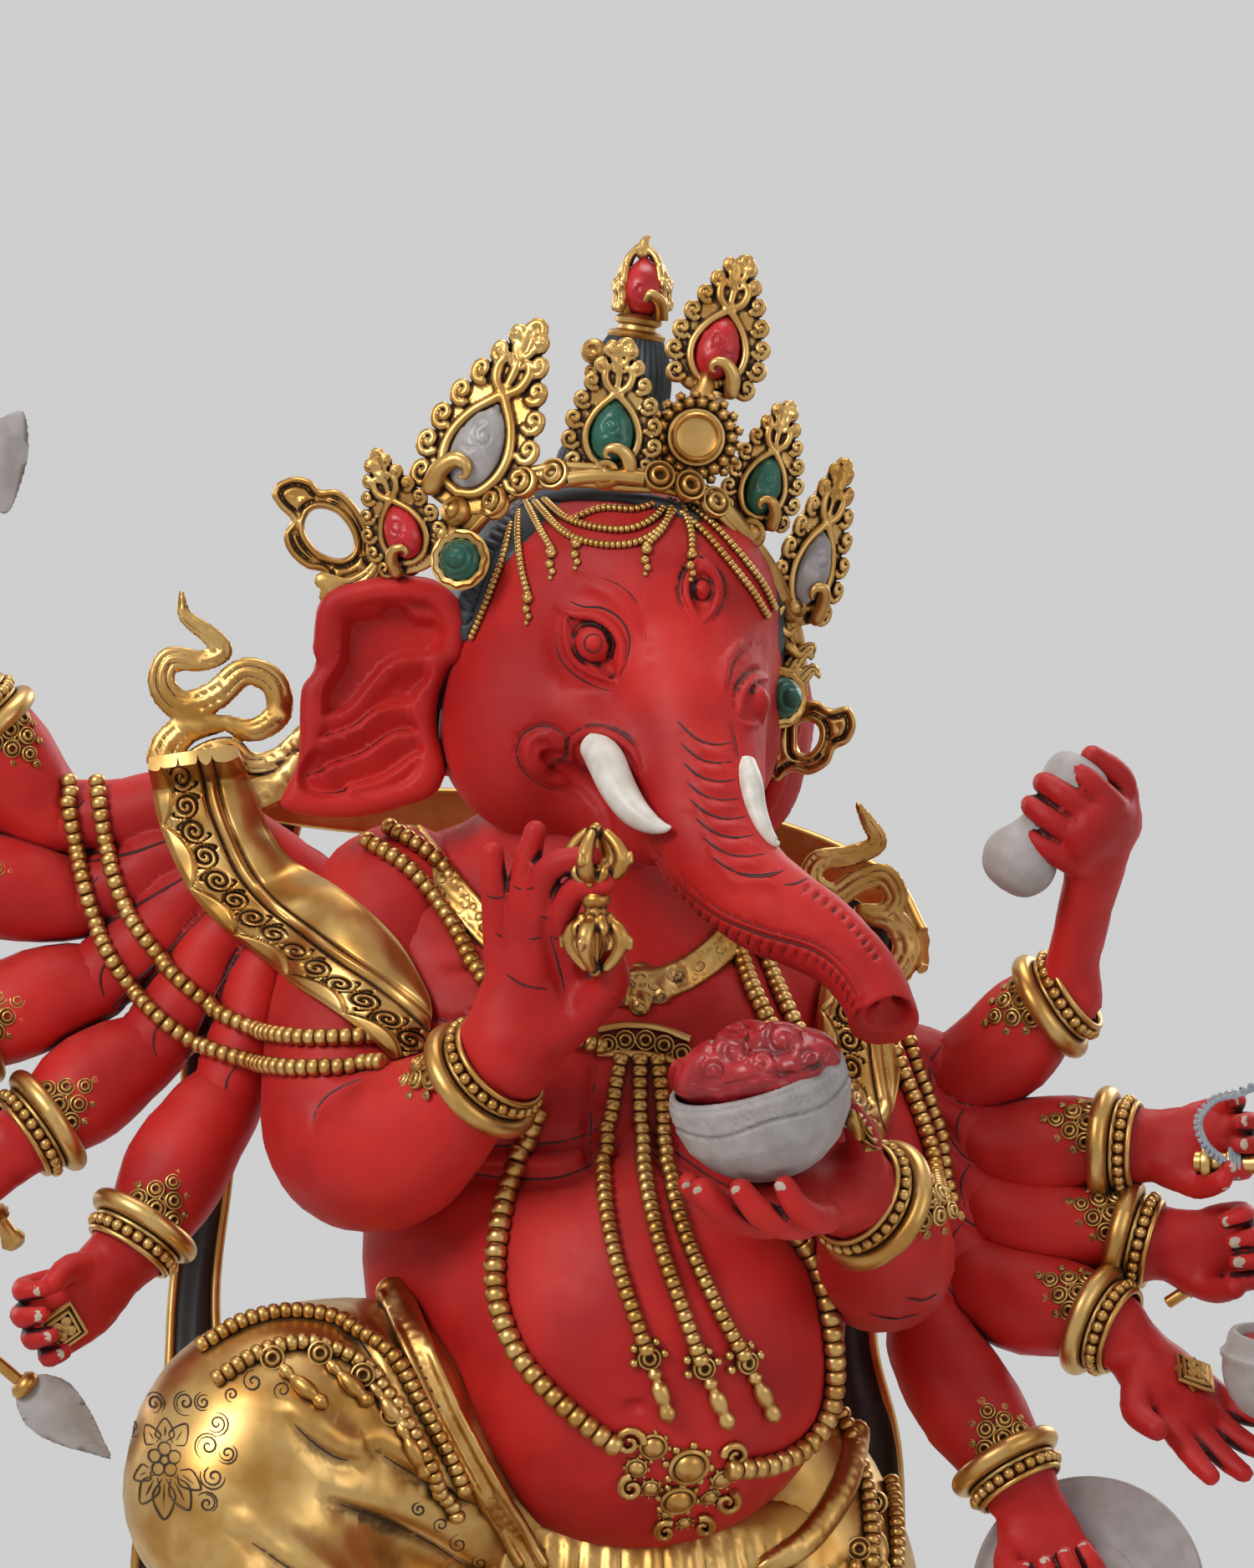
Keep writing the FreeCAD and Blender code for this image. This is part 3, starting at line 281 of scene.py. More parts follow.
class Pile:
    # meshes gathered into one piece
    def __init__(self):
        self.points, self.quads, self.triangles, self.count = [], [], [], 0

    def add(self, points, quads, triangles=()):
        self.points.append(np.asarray(points, float))
        self.quads.append(np.asarray(quads, int).reshape(-1, 4) + self.count)
        self.triangles.append(np.asarray(triangles, int).reshape(-1, 3) + self.count)
        self.count += len(points)

    def settle(self, name, paint, slot, nodes=(), rides=body, sharp=50):
        piece = makeMesh(name, np.vstack(self.points), np.vstack(self.quads), np.vstack(self.triangles),
            paint, sharp=sharp)
        settle(piece, nodes, rides)

    def sweep(self, rings):
        # rings: (count, sides, 3); ends are closed with fans
        rings = np.asarray(rings, float)
        count, sides, _ = rings.shape
        points = np.vstack([rings.reshape(-1, 3), rings[0].mean(0), rings[-1].mean(0)])
        i, j = np.meshgrid(np.arange(count - 1), np.arange(sides), indexing="ij")
        k = (j + 1) % sides
        quads = np.stack([i * sides + j, i * sides + k, (i + 1) * sides + k, (i + 1) * sides + j],
            -1).reshape(-1, 4)
        j = np.arange(sides)
        k = (j + 1) % sides
        first, last = count * sides, count * sides + 1
        base = (count - 1) * sides
        caps = np.concatenate([np.stack([np.full(sides, first), k, j], 1),
            np.stack([np.full(sides, last), base + j, base + k], 1)])
        self.add(points, quads, caps)

    def turn(self, origin, axis, profile, sides=40, squash=None, flutes=(0, 0.0)):
        # a lathe-turned shape: profile is (distance along the axis, radius); flutes: how many and how deep
        n = unit(axis)
        u = unit(np.cross(n, (0.31, 0.2, 1.0) if abs(n[2]) < 0.9 else (1.0, 0.1, 0.0)))
        v = np.cross(n, u)
        angles = np.arange(sides) * 2 * math.pi / sides
        circle = np.cos(angles)[:, None] * u + np.sin(angles)[:, None] * v
        circle = circle * (1 + flutes[1] * np.cos(flutes[0] * angles))[:, None]
        rings = [np.asarray(origin) + n * t + circle * max(r, 1e-3) for t, r in profile]
        if squash is not None:
            way, share = unit(squash[0]), squash[1]
            centre = np.asarray(origin, float)
            rings = [ring - ((ring - centre) @ way)[:, None] * way * (1 - share) for ring in rings]
        self.sweep(rings)

    def tube(self, line, sides=10, closed=False):
        # line rows: x, y, z, radius
        line = np.asarray(line, float)
        p = line[:, :3]
        way = np.gradient(p, axis=0)
        if closed:
            way = np.roll(p, -1, 0) - np.roll(p, 1, 0)
        way = way / np.maximum(np.linalg.norm(way, axis=1), 1e-9)[:, None]
        up = unit(np.cross(way[0], (0.3, 1, 0.2)))
        rings = []
        angles = np.arange(sides) * 2 * math.pi / sides
        for centre, n, r in zip(p, way, line[:, 3]):
            up = unit(up - n * (up @ n))
            rings.append(centre + r * (np.cos(angles)[:, None] * up + np.sin(angles)[:, None]
                * np.cross(n, up)))
        if closed:
            rings.append(rings[0])
        self.sweep(rings)

    def beads(self, places, size, squat=0.66):
        # barrel beads in a row, each turned along the string
        places = np.asarray(places, float)
        way = np.gradient(places, axis=0) if len(places) > 1 else np.array([[1.0, 0, 0]])
        half = size * squat
        barrel = [(-half, 0.30), (-half * 0.96, 0.66), (-half * 0.66, 0.90), (0, 1.0),
            (half * 0.66, 0.90), (half * 0.96, 0.66), (half, 0.30)]
        for centre, n in zip(places, way):
            self.turn(centre, n, [(t, r * size) for t, r in barrel], 12)


# dark lines laid in the cut lines, gathered by the paint round it: painted shade in the creases of the red
# skin and the cloth folds, patina in the engravings of the gilt
shadeAndPatinaLines = {"redPaint": Pile(), "giltSmooth": Pile(), "gilt": Pile()}


# clay: a block held as distances to its skin
class Clay:
    def __init__(self, low, high, step):
        self.low = np.array(low, float)
        self.step = step
        self.count = np.ceil((np.array(high, float) - self.low) / step).astype(int) + 1
        self.depth = np.full(self.count, farAway, np.float32)
        self.cuts = []

    def window(self, points, reach):
        points = np.atleast_2d(np.asarray(points, float))[:, :3]
        a = np.floor((points.min(0) - reach - self.low) / self.step).astype(int)
        b = np.ceil((points.max(0) + reach - self.low) / self.step).astype(int) + 1
        a, b = np.clip(a, 0, self.count), np.clip(b, 0, self.count)
        axes = [(self.low[k] + self.step * np.arange(a[k], b[k])).astype(np.float32) for k in range(3)]
        grid = np.meshgrid(*axes, indexing="ij", sparse=True)
        return tuple(slice(i, j) for i, j in zip(a, b)), grid

    def merge(self, part, d, blend, dig=False):
        old = self.depth[part]
        if old.size == 0:
            return
        if dig:
            lap = np.clip(blend - np.abs(old + d), 0, None) if blend > 0 else 0
            self.depth[part] = np.maximum(old, -d) + (lap * lap / (4 * blend) if blend > 0 else 0)
        else:
            lap = np.clip(blend - np.abs(old - d), 0, None) if blend > 0 else 0
            self.depth[part] = np.minimum(old, d) - (lap * lap / (4 * blend) if blend > 0 else 0)

    def ball(self, centre, radii, blend=0.0, dig=False, turn=None):
        # turn: three rows that give the ellipsoid's own axes
        centre = np.asarray(centre, float)
        radii = np.ones(3) * radii
        part, (x, y, z) = self.window(centre, radii.max() + blend + 2 * self.step)
        p = [x - centre[0], y - centre[1], z - centre[2]]
        if turn is not None:
            p = [p[0] * t[0] + p[1] * t[1] + p[2] * t[2] for t in turn]
        near = np.sqrt(sum((q / r) ** 2 for q, r in zip(p, radii)))
        slope = np.sqrt(sum((q / r ** 2) ** 2 for q, r in zip(p, radii)))
        self.merge(part, (near * (near - 1) / np.maximum(slope, 1e-6)).astype(np.float32), blend, dig)

    def chain(self, stations, blend=0.0, dig=False, per=6, flat=None):
        # a string of tapering bones through (x, y, z, radius) stations; flat squeezes it along one direction
        line = smoothPath(stations, per) if per > 1 else np.array(stations, float)
        reach = line[:, 3].max() + blend + 2 * self.step
        part, _ = self.window(line, reach)
        shape = tuple(s.stop - s.start for s in part)
        if 0 in shape:
            return
        d = np.full(shape, farAway, np.float32)
        start = np.array([s.start for s in part])
        for a, b in zip(line, line[1:]):
            inner, (x, y, z) = self.window([a, b], max(a[3], b[3]) + blend + 2 * self.step)
            local = tuple(slice(s.start - o, s.stop - o) for s, o in zip(inner, start))
            leg = (b - a)[:3]
            length = max(leg @ leg, 1e-9)
            px, py, pz = x - a[0], y - a[1], z - a[2]
            t = np.clip((px * leg[0] + py * leg[1] + pz * leg[2]) / length, 0, 1)
            q = [px - t * leg[0], py - t * leg[1], pz - t * leg[2]]
            share = 1.0
            if flat is not None:
                way, share = unit(flat[0]), flat[1]
                extra = (q[0] * way[0] + q[1] * way[1] + q[2] * way[2]) * (1 / share - 1)
                q = [c + extra * w for c, w in zip(q, way)]
            away = np.sqrt(q[0] ** 2 + q[1] ** 2 + q[2] ** 2) - (a[3] + t * (b[3] - a[3]))
            if share < 1:
                away = away * (0.45 + 0.55 * share)
            if local[0].stop > local[0].start:
                d[local] = np.minimum(d[local], away)
        self.merge(part, d, blend, dig)

    def cutPlane(self, point, outward, blend=0.0):
        # takes away what lies on the outward side
        n = unit(outward)
        part, (x, y, z) = self.window(point, 40)
        d = -((x - point[0]) * n[0] + (y - point[1]) * n[1] + (z - point[2]) * n[2])
        self.merge(part, d.astype(np.float32), blend, True)

    def sample(self, points):
        q = np.clip((np.asarray(points) - self.low) / self.step, 0, self.count - 1.001)
        i = q.astype(int)
        f = q - i
        total = 0
        for corner in np.ndindex(2, 2, 2):
            share = np.prod(np.where(corner, f, 1 - f), axis=1)
            total = total + share * self.depth[tuple((i + corner).T)]
        return total

    def normal(self, points):
        points = np.asarray(points, float)
        h = self.step * 0.8
        slope = np.stack([self.sample(points + h * e) - self.sample(points - h * e) for e in np.eye(3)], 1)
        return slope / np.maximum(np.linalg.norm(slope, axis=1), 1e-9)[:, None]

    def front(self, places):
        # where the skin is met from the front, for rows of x, z; misses give a large y
        places = np.atleast_2d(np.asarray(places, float))
        q = (places - self.low[[0, 2]]) / self.step
        missed = ((q < 0) | (q > self.count[[0, 2]] - 1)).any(1)
        q = np.clip(q, 0, self.count[[0, 2]] - 1.001)
        i = q.astype(int)
        f = q - i
        columns = 0
        for a, b in np.ndindex(2, 2):
            share = np.where(a, f[:, 0], 1 - f[:, 0]) * np.where(b, f[:, 1], 1 - f[:, 1])
            columns = columns + share[:, None] * self.depth[i[:, 0] + a, :, i[:, 1] + b]
        inside = columns < 0
        inside[missed] = False
        j = np.maximum(inside.argmax(1), 1)
        row = np.arange(len(places))
        before, after = columns[row, j - 1], columns[row, j]
        y = self.low[1] + self.step * (j - 1 + before / np.maximum(before - after, 1e-6))
        return np.where(inside.any(1), y, noSkin)

    def drape(self, places, raised=0.0):
        # lays (x, z) or (x, z, radius) rows on the skin, seen from the front
        places = np.atleast_2d(np.asarray(places, float))
        y = self.front(places[:, :2])
        rows = np.column_stack([places[:, 0], y, places[:, 1]])
        rows = rows + self.normal(rows) * raised
        return np.column_stack([rows, places[:, 2]]) if places.shape[1] > 2 else rows

    def line(self, places, width, depth=0.0, dig=True, blend=0.3, per=5):
        # a cut or raised line drawn on the front of the skin, tapering at both ends
        path = smoothPath(places, per)
        if dig:
            self.cuts.append((path, 0.14 + 0.24 * min(width, 1.0)))
        width = width * (1.45 if dig else 1.15)
        taper = np.sin(np.linspace(0.12, math.pi - 0.12, len(path))) ** 0.5
        rows = self.drape(np.column_stack([path, width * taper]), depth)
        rows = rows[rows[:, 1] < skinLimit]
        if len(rows) > 1:
            self.chain(rows, blend, dig, per=1)

    def engrave(self, places, radius=0.34, per=5):
        # a hair line of dark colour, too thin to cut into the clay: painted shade on the red skin, patina on
        # the gilt
        self.cuts.append((smoothPath(places, per) if per > 1 else np.asarray(places, float), radius))

    def skin(self, name, paint, nodes=(), rides=body, merge=0.25, reach=1.5, place=None):
        vdb = openvdb.FloatGrid(farAway)
        vdb.copyFromArray(self.depth)
        points, triangles, quads = vdb.convertToPolygons(0.0, merge)
        points = self.low + points.astype(float) * self.step
        normals = self.normal(points)
        hollow = 1 - np.clip(self.sample(points + normals * reach) / reach, 0, 1)
        a, b, c = (points[quads[:, k]] for k in range(3)) if len(quads) else (points[triangles[:, k]]
            for k in range(3))
        outward = normals[quads[:, 0]] if len(quads) else normals[triangles[:, 0]]
        if (np.cross(b - a, c - a) * outward).sum() < 0:
            quads, triangles = quads[:, ::-1], triangles[:, ::-1]
        if place is not None:
            origin, axes = place
            points = np.asarray(origin) + points @ np.asarray(axes)
            normals = normals @ np.asarray(axes)
        piece = makeMesh(name, points, quads, triangles, paint, normals, hollow)
        # lays a dark line into every cut: painted shade on the red skin and cloth folds, patina in the gilt
        # engravings
        for path, radius in self.cuts if place is None and paint in shadeAndPatinaLines else ():
            taper = np.sin(np.linspace(0.10, math.pi - 0.10, len(path))) ** 0.5
            rows = self.drape(np.column_stack([path, radius * taper]), -0.10)
            rows = rows[rows[:, 1] < skinLimit]
            if len(rows) > 2:
                shadeAndPatinaLines[paint].tube(rows, 6)
        print(name, len(points), "points")
        return settle(piece, nodes, rides)


# camera, lights and floor
stage = {"viewHeight": 0.375, "viewCentre": 0.4525, "cameraAway": 2.40, "figureFront": 0.02,
    "floorColour": (0.66, 0.65, 0.64), "floorRadius": 2.6, "backdropColour": (0.62, 0.62, 0.62),
    "worldLight": 0.35}


def makeStage():
    scene = bpy.context.scene
    scene.view_settings.view_transform = "Standard"
    camera = bpy.data.cameras.new("camera")
    camera.sensor_fit = "VERTICAL"
    camera.sensor_height = 36.0
    camera.lens = 36.0 * (stage["cameraAway"] - stage["figureFront"]) / stage["viewHeight"]
    camera.clip_end = 30
    eye = bpy.data.objects.new("camera", camera)
    eye.location = (0, -stage["cameraAway"], stage["viewCentre"])
    eye.rotation_euler = (math.radians(90), 0, 0)
    scene.collection.objects.link(eye)
    scene.camera = eye

    shader = Shader("floorPaint")
    shader.finish(Base_Color=shader.mix(shader.noise(400, 2), stage["floorColour"],
        [c * 1.04 for c in stage["floorColour"]]), Roughness=0.8)
    mesh = bpy.data.meshes.new("floor")
    radius = stage["floorRadius"]
    rim = [(radius * math.cos(a), radius * math.sin(a), -0.0002) for a in around(96)]
    mesh.from_pydata(rim, [], [list(range(96))])
    mesh.materials.append(shader.material)
    floor = bpy.data.objects.new("floor", mesh)
    scene.collection.objects.link(floor)

    lamps = [("keyLamp", (-0.95, -1.25, 1.35), 0.75, 17.5), ("fillLamp", (1.35, -1.10, 0.75), 0.9, 3.6),
        ("topLamp", (0.10, 0.25, 1.75), 0.8, 8.0), ("backLamp", (0.9, 1.3, 1.1), 0.8, 7.0),
        ("backLampLeft", (-1.2, 1.1, 0.9), 0.8, 5.0)]
    for name, place, size, power in lamps:
        lamp = bpy.data.lights.new(name, "AREA")
        lamp.shape = "DISK"
        lamp.size = size
        lamp.energy = power
        holder = bpy.data.objects.new(name, lamp)
        holder.location = place
        holder.rotation_euler = (Vector((0, 0, 0.42)) - Vector(place)).to_track_quat("-Z", "Y").to_euler()
        scene.collection.objects.link(holder)

    world = bpy.data.worlds.new("world")
    scene.world = world
    world.use_nodes = True
    tree = world.node_tree
    tree.nodes.clear()
    path = tree.nodes.new("ShaderNodeLightPath")
    seen = path.outputs["Is Camera Ray"]
    for ray in ("Is Transmission Ray", "Is Glossy Ray"):
        larger = tree.nodes.new("ShaderNodeMath")
        larger.operation = "MAXIMUM"
        tree.links.new(seen, larger.inputs[0])
        tree.links.new(path.outputs[ray], larger.inputs[1])
        seen = larger.outputs[0]
    light = tree.nodes.new("ShaderNodeBackground")
    light.inputs["Color"].default_value = (0.9, 0.95, 1.0, 1.0)
    light.inputs["Strength"].default_value = stage["worldLight"]
    backdrop = tree.nodes.new("ShaderNodeBackground")
    backdrop.inputs["Color"].default_value = (*stage["backdropColour"], 1.0)
    both = tree.nodes.new("ShaderNodeMixShader")
    tree.links.new(seen, both.inputs[0])
    tree.links.new(light.outputs[0], both.inputs[1])
    tree.links.new(backdrop.outputs[0], both.inputs[2])
    tree.links.new(both.outputs[0], tree.nodes.new("ShaderNodeOutputWorld").inputs["Surface"])


makeStage()
print("stage ready")

# head and trunk
headLook = {
    "trunk": [(8, -22, 490, 24), (13, -34, 474, 20.5), (15.5, -43, 462, 17.2), (17, -51, 450, 15),
        (19, -57, 440, 13.8), (25, -62, 431, 12.6), (34, -66, 423.5, 11.6), (44.5, -70, 417.5, 10),
        (53, -73, 410.5, 8.7), (58.5, -75, 402, 8.3), (61, -77, 393, 8.3)],
    "nostrilFace": (61, -79, 398.5), "nostrilWay": (0.12, -0.58, -0.80),
}


def makeHead():
    c = Clay((-50, -92, 384), (74, 38, 536), 0.5)
    c.ball((-3, -7, 489), (40, 37, 37))
    c.ball((-19, -13, 466), (26.5, 27, 27), 9)          # near cheek
    c.ball((20, -10, 466), (17, 24, 24), 9)             # far cheek
    c.ball((6, -24, 500), (26, 20, 20), 12)             # forehead
    c.chain([(-4, -24, 452, 14), (2, -34, 446, 11), (6, -42, 440, 7)], 6)   # lower jaw
    c.chain(headLook["trunk"], 7)
    c.ball((14.5, -46, 471), (12.5, 9, 9.5), 6)         # bump at the root of the trunk
    c.chain([(-12, -36, 469, 8), (-4, -46, 462, 7.5), (1, -50, 457, 6)], 6)   # sheath of the near tusk
    c.chain([(25, -32, 472, 5), (27, -42, 460, 4.6), (28, -46, 454, 4.2)], 3)   # sheath of the far tusk
    c.cutPlane(headLook["nostrilFace"], headLook["nostrilWay"], 0.8)

    # near eye: bulging lid area, socket, ball and lids
    c.ball((-8, c.front([(-8, 486)])[0] + 3.2, 486), (10.5, 5.5, 10.5), 3)
    y = c.front([(-8, 486)])[0]
    c.ball((-8, y - 0.4, 485.6), (5.3, 3.2, 5.7), 0.6, True)
    c.chain([(-12.8, y + 1.0, 491.2, 1.3), (-8, y + 0.2, 485.6, 3.2), (-3.4, y + 0.6, 478.4, 1.3)], 1.0,
        True)
    c.ball((-8, y + 3.5, 485.8), 5.1)
    ring = [(-8 + 2.1 * math.cos(a), 485.8 + 2.1 * math.sin(a)) for a in np.linspace(0, 6.28, 15)]
    c.ball((-8, y - 1.3, 485.8), (1.9, 0.9, 1.9), 0.3)
    c.engrave(ring + ring[1:3], 0.34, 3)
    c.ball((-8, y - 2.3, 485.8), 0.5, 0.2, True)
    upperLid = [(-16.8, 494.4), (-12.6, 492.6), (-8.0, 492.2), (-3.8, 489.8), (-1.3, 485.6),
        (-1.4, 480.6), (-2.8, 476.8)]
    lowerLid = [(-14.6, 492.0), (-14.4, 486.0), (-12.4, 481.6), (-8.2, 478.6), (-2.8, 476.6)]
    c.line(upperLid, 1.1, 0.1, False, 0.4)
    c.line(lowerLid, 0.8, 0.1, False, 0.4)
    c.engrave([(x + 1.5 + 0.05 * (z - 480), z + 1.9) for x, z in upperLid], 0.36)
    c.engrave([(-17.5, 488), (-15.6, 481.6), (-11.0, 477.4), (-6.0, 475.0), (-1.6, 474.2)], 0.30)
    c.line([(-13.8, 503.6), (-7.6, 501.8), (-1.4, 499.2), (2.4, 495.0), (4.2, 488.6), (5.2, 480.8)], 0.5,
        0.45, True, 0.9)
    c.line([(-13.4, 501.2), (-8.0, 499.6), (-2.6, 496.8), (0.8, 492.6), (2.4, 486.6)], 1.6, -0.7, False,
        2.0)

    # far eye
    y = c.front([(30.5, 471.8)])[0]
    c.ball((30.5, y + 1.8, 471.8), (3.6, 4.0, 4.2), 0.4)
    c.line([(26.4, 468.6), (27.2, 474), (29.8, 477.0), (33.4, 477.6)], 0.9, 0.2, False, 0.4)
    c.line([(25.2, 469.6), (25.8, 475), (28.8, 478.8), (33.4, 479.6)], 0.5, 0.1, True, 0.4)
    c.line([(26.2, 467.5), (28.2, 466.2), (31.0, 466.8)], 0.7, 0.1, False, 0.4)
    c.line([(24.0, 473.0), (25.0, 480.2), (28.6, 484.6), (34.2, 486.2)], 0.5, 0.35, True, 0.7)
    c.line([(22.8, 475.0), (23.8, 481.6), (27.0, 486.8)], 0.8, 0.0, False, 0.8)

    # third eye, upright
    y = c.front([(17.8, 498.6)])[0]
    c.ball((17.8, y + 0.6, 498.6), (4.4, 2.2, 7.4), 1.0)
    c.ball((17.8, y - 1.4, 498.2), (2.9, 2.2, 4.9), 0.5, True)
    c.ball((17.8, y + 1.4, 498.6), 3.0)
    c.ball((17.8, y - 1.5, 498.6), (1.1, 0.6, 1.1), 0.2)
    for side in (-1, 1):
        c.line([(17.6, 507.0), (17.7 + side * 2.8, 502.8), (17.8 + side * 3.9, 498.4),
            (17.8 + side * 2.6, 493.8), (17.7, 490.6)], 0.75, 0.15, False, 0.3)
        c.line([(17.7 + side * 2.0, 505.6), (17.8 + side * 5.0, 501.6), (17.8 + side * 5.4, 496.6),
            (17.8 + side * 2.6, 491.4)], 0.5, 0.15, True, 0.4)

    # curl of the cheek, mouth and tusk sockets
    c.line([(-12.4, 450.2), (-18.0, 451.2), (-23.4, 454.2), (-26.2, 459.2), (-24.8, 464.2),
        (-19.8, 466.4), (-15.4, 464.4), (-14.2, 460.4), (-16.6, 457.2)], 0.62, 0.3, True, 0.9)
    c.line([(-14.0, 452.6), (-18.6, 453.6), (-22.6, 456.6), (-23.8, 460.4), (-22.0, 463.4),
        (-18.8, 464.0)], 1.0, 0.0, False, 0.8)
    c.ball((-20, c.front([(-20, 459.5)])[0] + 2.0, 459.8), (4.6, 3.2, 4.8), 1.5)
    c.ball((-18.0, c.front([(-18.0, 458.8)])[0] - 0.4, 458.8), (2.6, 2.4, 1.9), 1.0, True)
    c.chain(c.drape([(-18, 457.6, 0.8), (-13, 454.6, 1.6), (-8.7, 450.9, 2.2), (-6.0, 446.8, 2.2),
        (-4.6, 441.5, 1.6)], 0.3), 1.5, True)
    c.line([(-12.8, 458.2), (-12.2, 462.4), (-8.2, 464.6), (-3.2, 463.6), (1.2, 460.4), (3.0, 456.4)],
        1.1, 0.3, False, 0.7)
    c.line([(-14.2, 458.4), (-13.6, 463.6), (-8.4, 466.4), (-2.4, 465.2), (2.6, 461.4)], 0.42, 0.1, True,
        0.5)
    c.line([(26.6, 455.4), (28.6, 456.6), (30.6, 455.6)], 0.8, 0.3, False, 0.4)
    c.line([(24.0, 470), (25.6, 462), (26.4, 455)], 0.5, 0.1, True, 0.5)

    # wrinkles across the trunk
    for k in range(8):
        t = k / 7
        a = np.array([11.8 + 7.4 * t * t, 467.4 - 31.6 * t])
        b = np.array([24.6 + 10.4 * t * t, 462.2 - 30.2 * t])
        middle = (a + b) / 2 + (-0.8, -2.2)
        c.engrave([a, (a + middle) / 2 + (0, -0.4), middle, (b + middle) / 2 + (0, -0.6), b], 0.40)
        c.line([a + (1.5, -1.9), middle + (0, -2.2), b + (-1.0, -2.3)], 1.2, -0.5, False, 1.2)
    c.engrave([(23.6, 432.6), (28, 430.9), (33, 431.0), (37, 432.6)])
    c.engrave([(36.4, 429.0), (39.5, 429.3), (42.4, 430.6)])

    # ladder of folds along the underside of the trunk
    edge = smoothPath([(6.0, 435.5), (14, 427.0), (22, 421.0), (32, 417.0), (43, 413.8), (50, 408.5),
        (54.5, 400.5)], 12)
    for shift, width in ((0.0, 0.55), (1.5, 0.40)):
        c.line(edge[::4] + np.array([0.5, 1.0]) * shift, width, 0.1, True, 0.4)
    for k, (x, z) in enumerate(edge[6::3]):
        drop = 4.6 - 0.07 * k
        c.line([(x, z - 0.4), (x - 1.0, z - drop * 0.5), (x - 1.2, z - drop)], 0.45, 0.1, True, 0.4, 3)
    # nicks on the upper edge of the trunk's end
    for x, z in smoothPath([(42.5, 427.5), (49, 422.5), (54.5, 416.8), (58.5, 411.5)], 3):
        c.line([(x - 1.2, z - 0.2), (x + 0.6, z + 1.6)], 0.45, 0.0, True, 0.3, 3)

    # nostrils in the flat end
    way = unit(headLook["nostrilWay"])
    face = np.array(headLook["nostrilFace"])
    across = unit(np.cross(way, (0, 0.8, -0.6)))
    c.ball(face + way * 1.6, 6.2, 0.8, True)
    for side in (-1, 1):
        hole = face + across * side * 3.1
        c.chain([(*(hole - way * 2.0), 2.5), (*(hole - way * 8.0), 1.7)], 0.8, True, flat=(across, 0.7))
    c.skin("headWithTrunk", "redPaint", ["head"])
    return c


head = makeHead()
print("head ready")

# ears
earLook = {
    "outline": [(-71.4, 496.4), (-64.5, 499.9), (-55.8, 502.0), (-48.0, 501.6), (-42.0, 498.1),
        (-38.0, 492.1), (-38.0, 485.1), (-42.0, 479.9), (-44.5, 474.7), (-45.4, 466.9), (-43.7, 460.0),
        (-43.2, 454.8), (-46.3, 449.6), (-53.2, 447.0), (-64.5, 444.4), (-76.6, 444.8), (-82.7, 447.0),
        (-81.8, 451.3), (-79.2, 456.5), (-78.4, 461.7), (-78.4, 468.6), (-77.9, 475.6), (-74.9, 479.9),
        (-73.2, 486.0)],
    "hollow": [(-68.0, 491.2), (-64.5, 493.4), (-60.6, 494.2), (-57.6, 496.6), (-53.4, 495.9),
        (-50.0, 492.6), (-45.4, 491.8), (-43.0, 488.0), (-45.6, 483.6), (-46.8, 477.3), (-49.6, 473.8),
        (-50.6, 469.5), (-48.2, 463.4), (-48.6, 456.4), (-52.8, 451.6), (-61.0, 449.1), (-70.0, 448.4),
        (-77.4, 450.2), (-78.8, 456.0), (-74.4, 463.0), (-73.2, 468.4), (-72.6, 475.4), (-68.6, 482.4)],
    "folds": [[(-72.0, 468.0), (-66.0, 470.6), (-61.0, 476.5), (-55.5, 481.8), (-46.8, 483.0)],
        [(-73.0, 462.6), (-65.0, 465.4), (-58.5, 470.2), (-50.4, 472.0)],
        [(-71.0, 456.2), (-63.0, 459.0), (-56.0, 463.6), (-50.2, 464.6)],
        [(-66.0, 451.2), (-58.0, 453.6), (-50.2, 459.0)]],
}


def outlineDistance(x, z, outline):
    # signed distance in the x-z plane to a smooth closed outline, negative inside
    loop = np.array(outline, float)
    path = smoothPath(np.vstack([loop[-2:], loop, loop[:2]]), 5)[10:-10]
    path = np.vstack([path, path[:1]])
    x, z = np.broadcast_arrays(x, z)
    best = np.full(x.shape, 1e9, np.float32)
    inside = np.zeros(x.shape, bool)
    for (ax, az), (bx, bz) in zip(path, path[1:]):
        ex, ez = bx - ax, bz - az
        t = np.clip(((x - ax) * ex + (z - az) * ez) / max(ex * ex + ez * ez, 1e-9), 0, 1)
        best = np.minimum(best, (x - ax - t * ex) ** 2 + (z - az - t * ez) ** 2)
        crosses = (az > z) != (bz > z)
        inside ^= crosses & (x < ex * (z - az) / (ez if abs(ez) > 1e-9 else 1e-9) + ax)
    return np.where(inside, -1, 1) * np.sqrt(best)


def softMax(a, b, blend):
    lap = np.clip(blend - np.abs(a - b), 0, None)
    return np.maximum(a, b) + lap * lap / (4 * blend)


